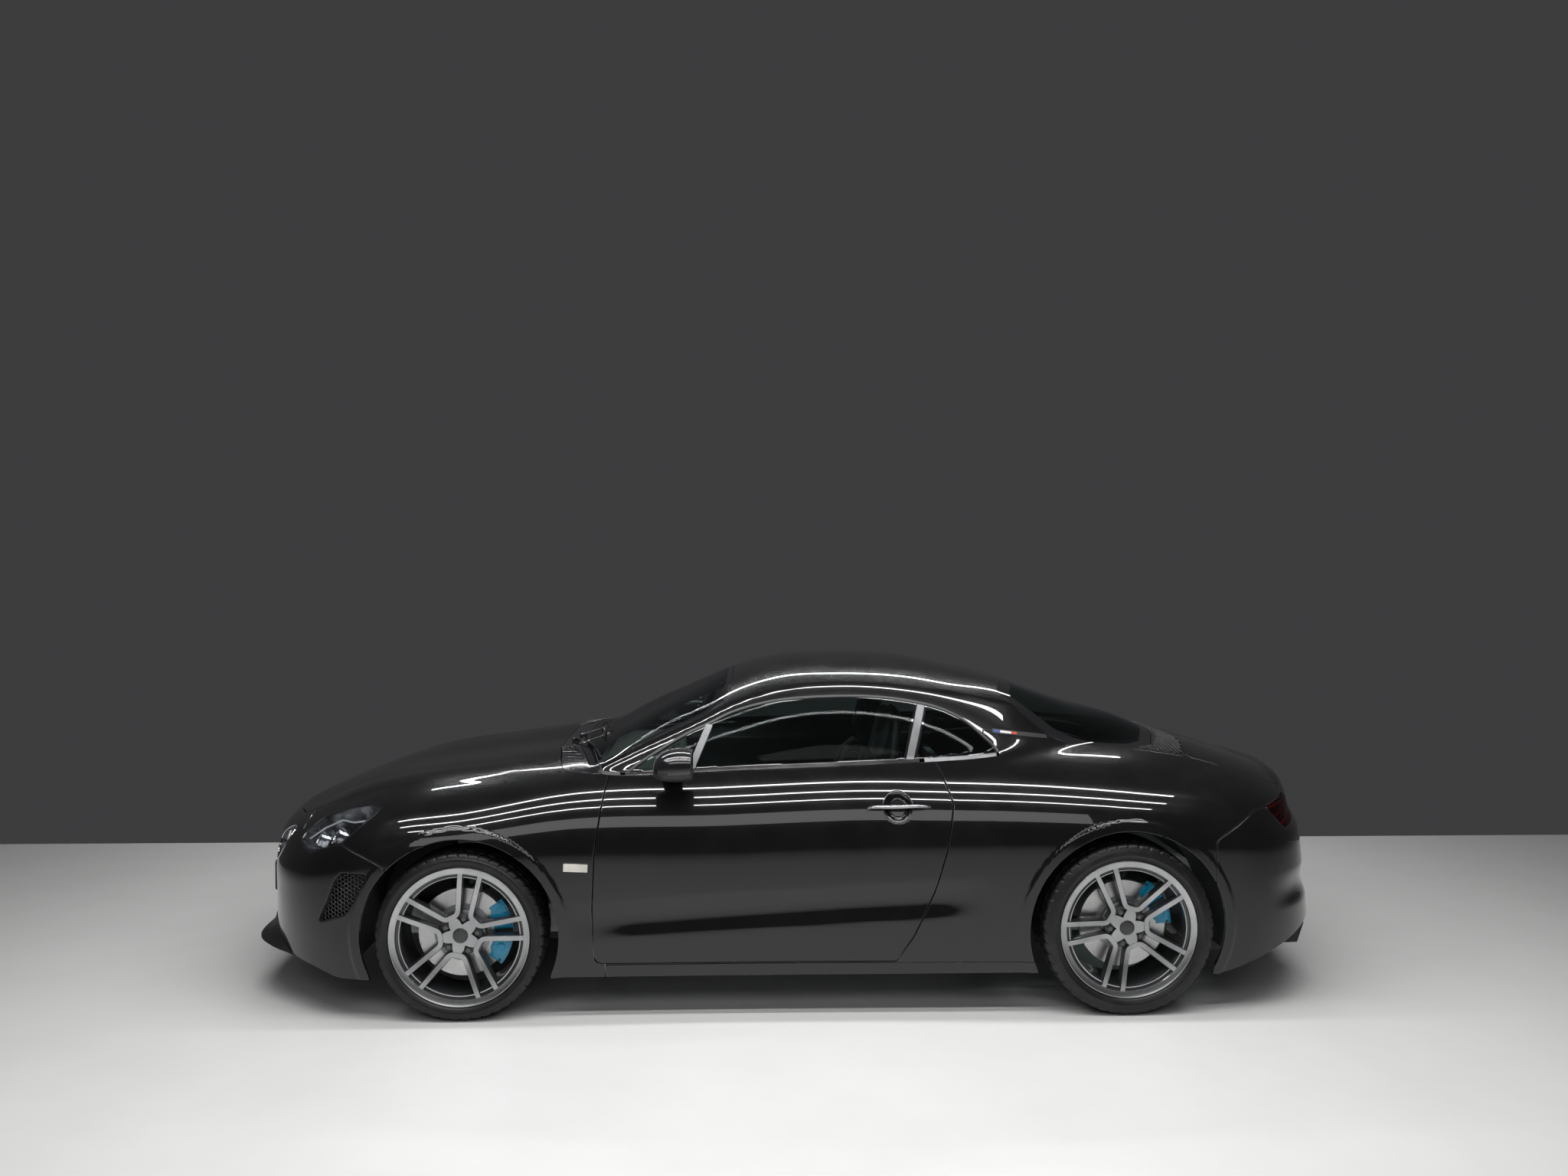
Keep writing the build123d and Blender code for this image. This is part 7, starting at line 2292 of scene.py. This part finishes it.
for node, obj in frame["nodes"].items():
    slotName = {s["node"]: s["material_slot"] for s in frame["record"]["subparts"]}[node]
    obj.data.materials.clear()
    obj.data.materials.append(finishes[{"paint": "underseal", "satin_black": "satin", "gloss_black": "gloss",
                                        "clear_glass": "sideGlass", "lamp_glass": "lensGlass",
                                        "lamp_red": "lensGlass",
                                        "wheel_grey": "rim", "tyre_rubber": "rubber", "disc_steel": "disc",
                                        "caliper_blue": "caliper", "cast_alloy": "alloy",
                                        "trim_black": "leather",
                                        "iron": "iron", "steel_pipe": "pipe"}[slotName]])

# Floor, lights and camera
studio = {"floorHalf": 9.0, "backEdge": -1.95, "floorColor": (0.80, 0.80, 0.79),
          "wallColor": (0.046, 0.046, 0.048),
          "stripWatts": 56.0, "stripLength": 5.2, "stripWidth": 0.10, "stripHeight": 3.15}
floorMesh = bpy.data.meshes.new("floor")
w = studio["floorHalf"]
floorMesh.from_pydata([(-w, studio["backEdge"], 0), (w, studio["backEdge"], 0), (w, w, 0), (-w, w, 0)], [],
                      [(0, 1, 2, 3)])
floor = bpy.data.objects.new("floor", floorMesh)
bpy.context.scene.collection.objects.link(floor)
floorFinish = Finish("paleFloor", specular=0.5)
floorNoise = floorFinish.noise(2.2, 5.0, 0.55)
floorFinish.put("color", floorFinish.mix(floorNoise.ramp(0.3, 0.7), studio["floorColor"],
                                         tuple(c * 0.94 for c in studio["floorColor"])))
floorFinish.put("roughness", floorNoise * 0.12 + 0.26)
floorMesh.materials.append(floorFinish.material)

world = bpy.data.worlds.new("studioWorld")
bpy.context.scene.world = world
world.use_nodes = True
world.node_tree.nodes["Background"].inputs[0].default_value = (*studio["wallColor"], 1)


def areaLight(name, place, size, watts, aim=(0, 0, -1)):
    lamp = bpy.data.lights.new(name, "AREA")
    lamp.shape = "RECTANGLE"
    lamp.size, lamp.size_y = size
    lamp.energy = watts
    obj = bpy.data.objects.new(name, lamp)
    obj.location = place
    obj.rotation_euler = Vector(aim).to_track_quat("-Z", "Y").to_euler()
    bpy.context.scene.collection.objects.link(obj)


for k, y in enumerate((-2.2, 0.7, 1.5, 2.3)):
    areaLight("strip%d" % k, (0.0, y, studio["stripHeight"]), (studio["stripLength"], studio["stripWidth"]),
              studio["stripWatts"])
areaLight("softFront", (0.5, 5.5, 3.6), (6.0, 1.6), 60.0, (0.0, -1.0, -0.62))

camera = bpy.data.cameras.new("camera")
cameraObject = bpy.data.objects.new("camera", camera)
bpy.context.scene.collection.objects.link(cameraObject)
camera.sensor_width, camera.lens = 36, 29.39
yaw, pitch, roll = 0.0389, 0.0333, 0.0029
ahead = Vector((-math.sin(yaw), -math.cos(yaw), 0))
rightward = Vector((-math.cos(yaw), math.sin(yaw), 0))
upward = Vector((0, 0, 1))
aheadDown = ahead * math.cos(pitch) - upward * math.sin(pitch)
upTilted = upward * math.cos(pitch) + ahead * math.sin(pitch)
across = rightward * math.cos(roll) + upTilted * math.sin(roll)
over = upTilted * math.cos(roll) - rightward * math.sin(roll)
matrix = Matrix((across, over, -aheadDown)).transposed().to_4x4()
matrix.translation = Vector((0.2288, 5.4434, 1.7111))
cameraObject.matrix_world = matrix
bpy.context.scene.camera = cameraObject
bpy.context.scene.view_settings.view_transform = "Standard"
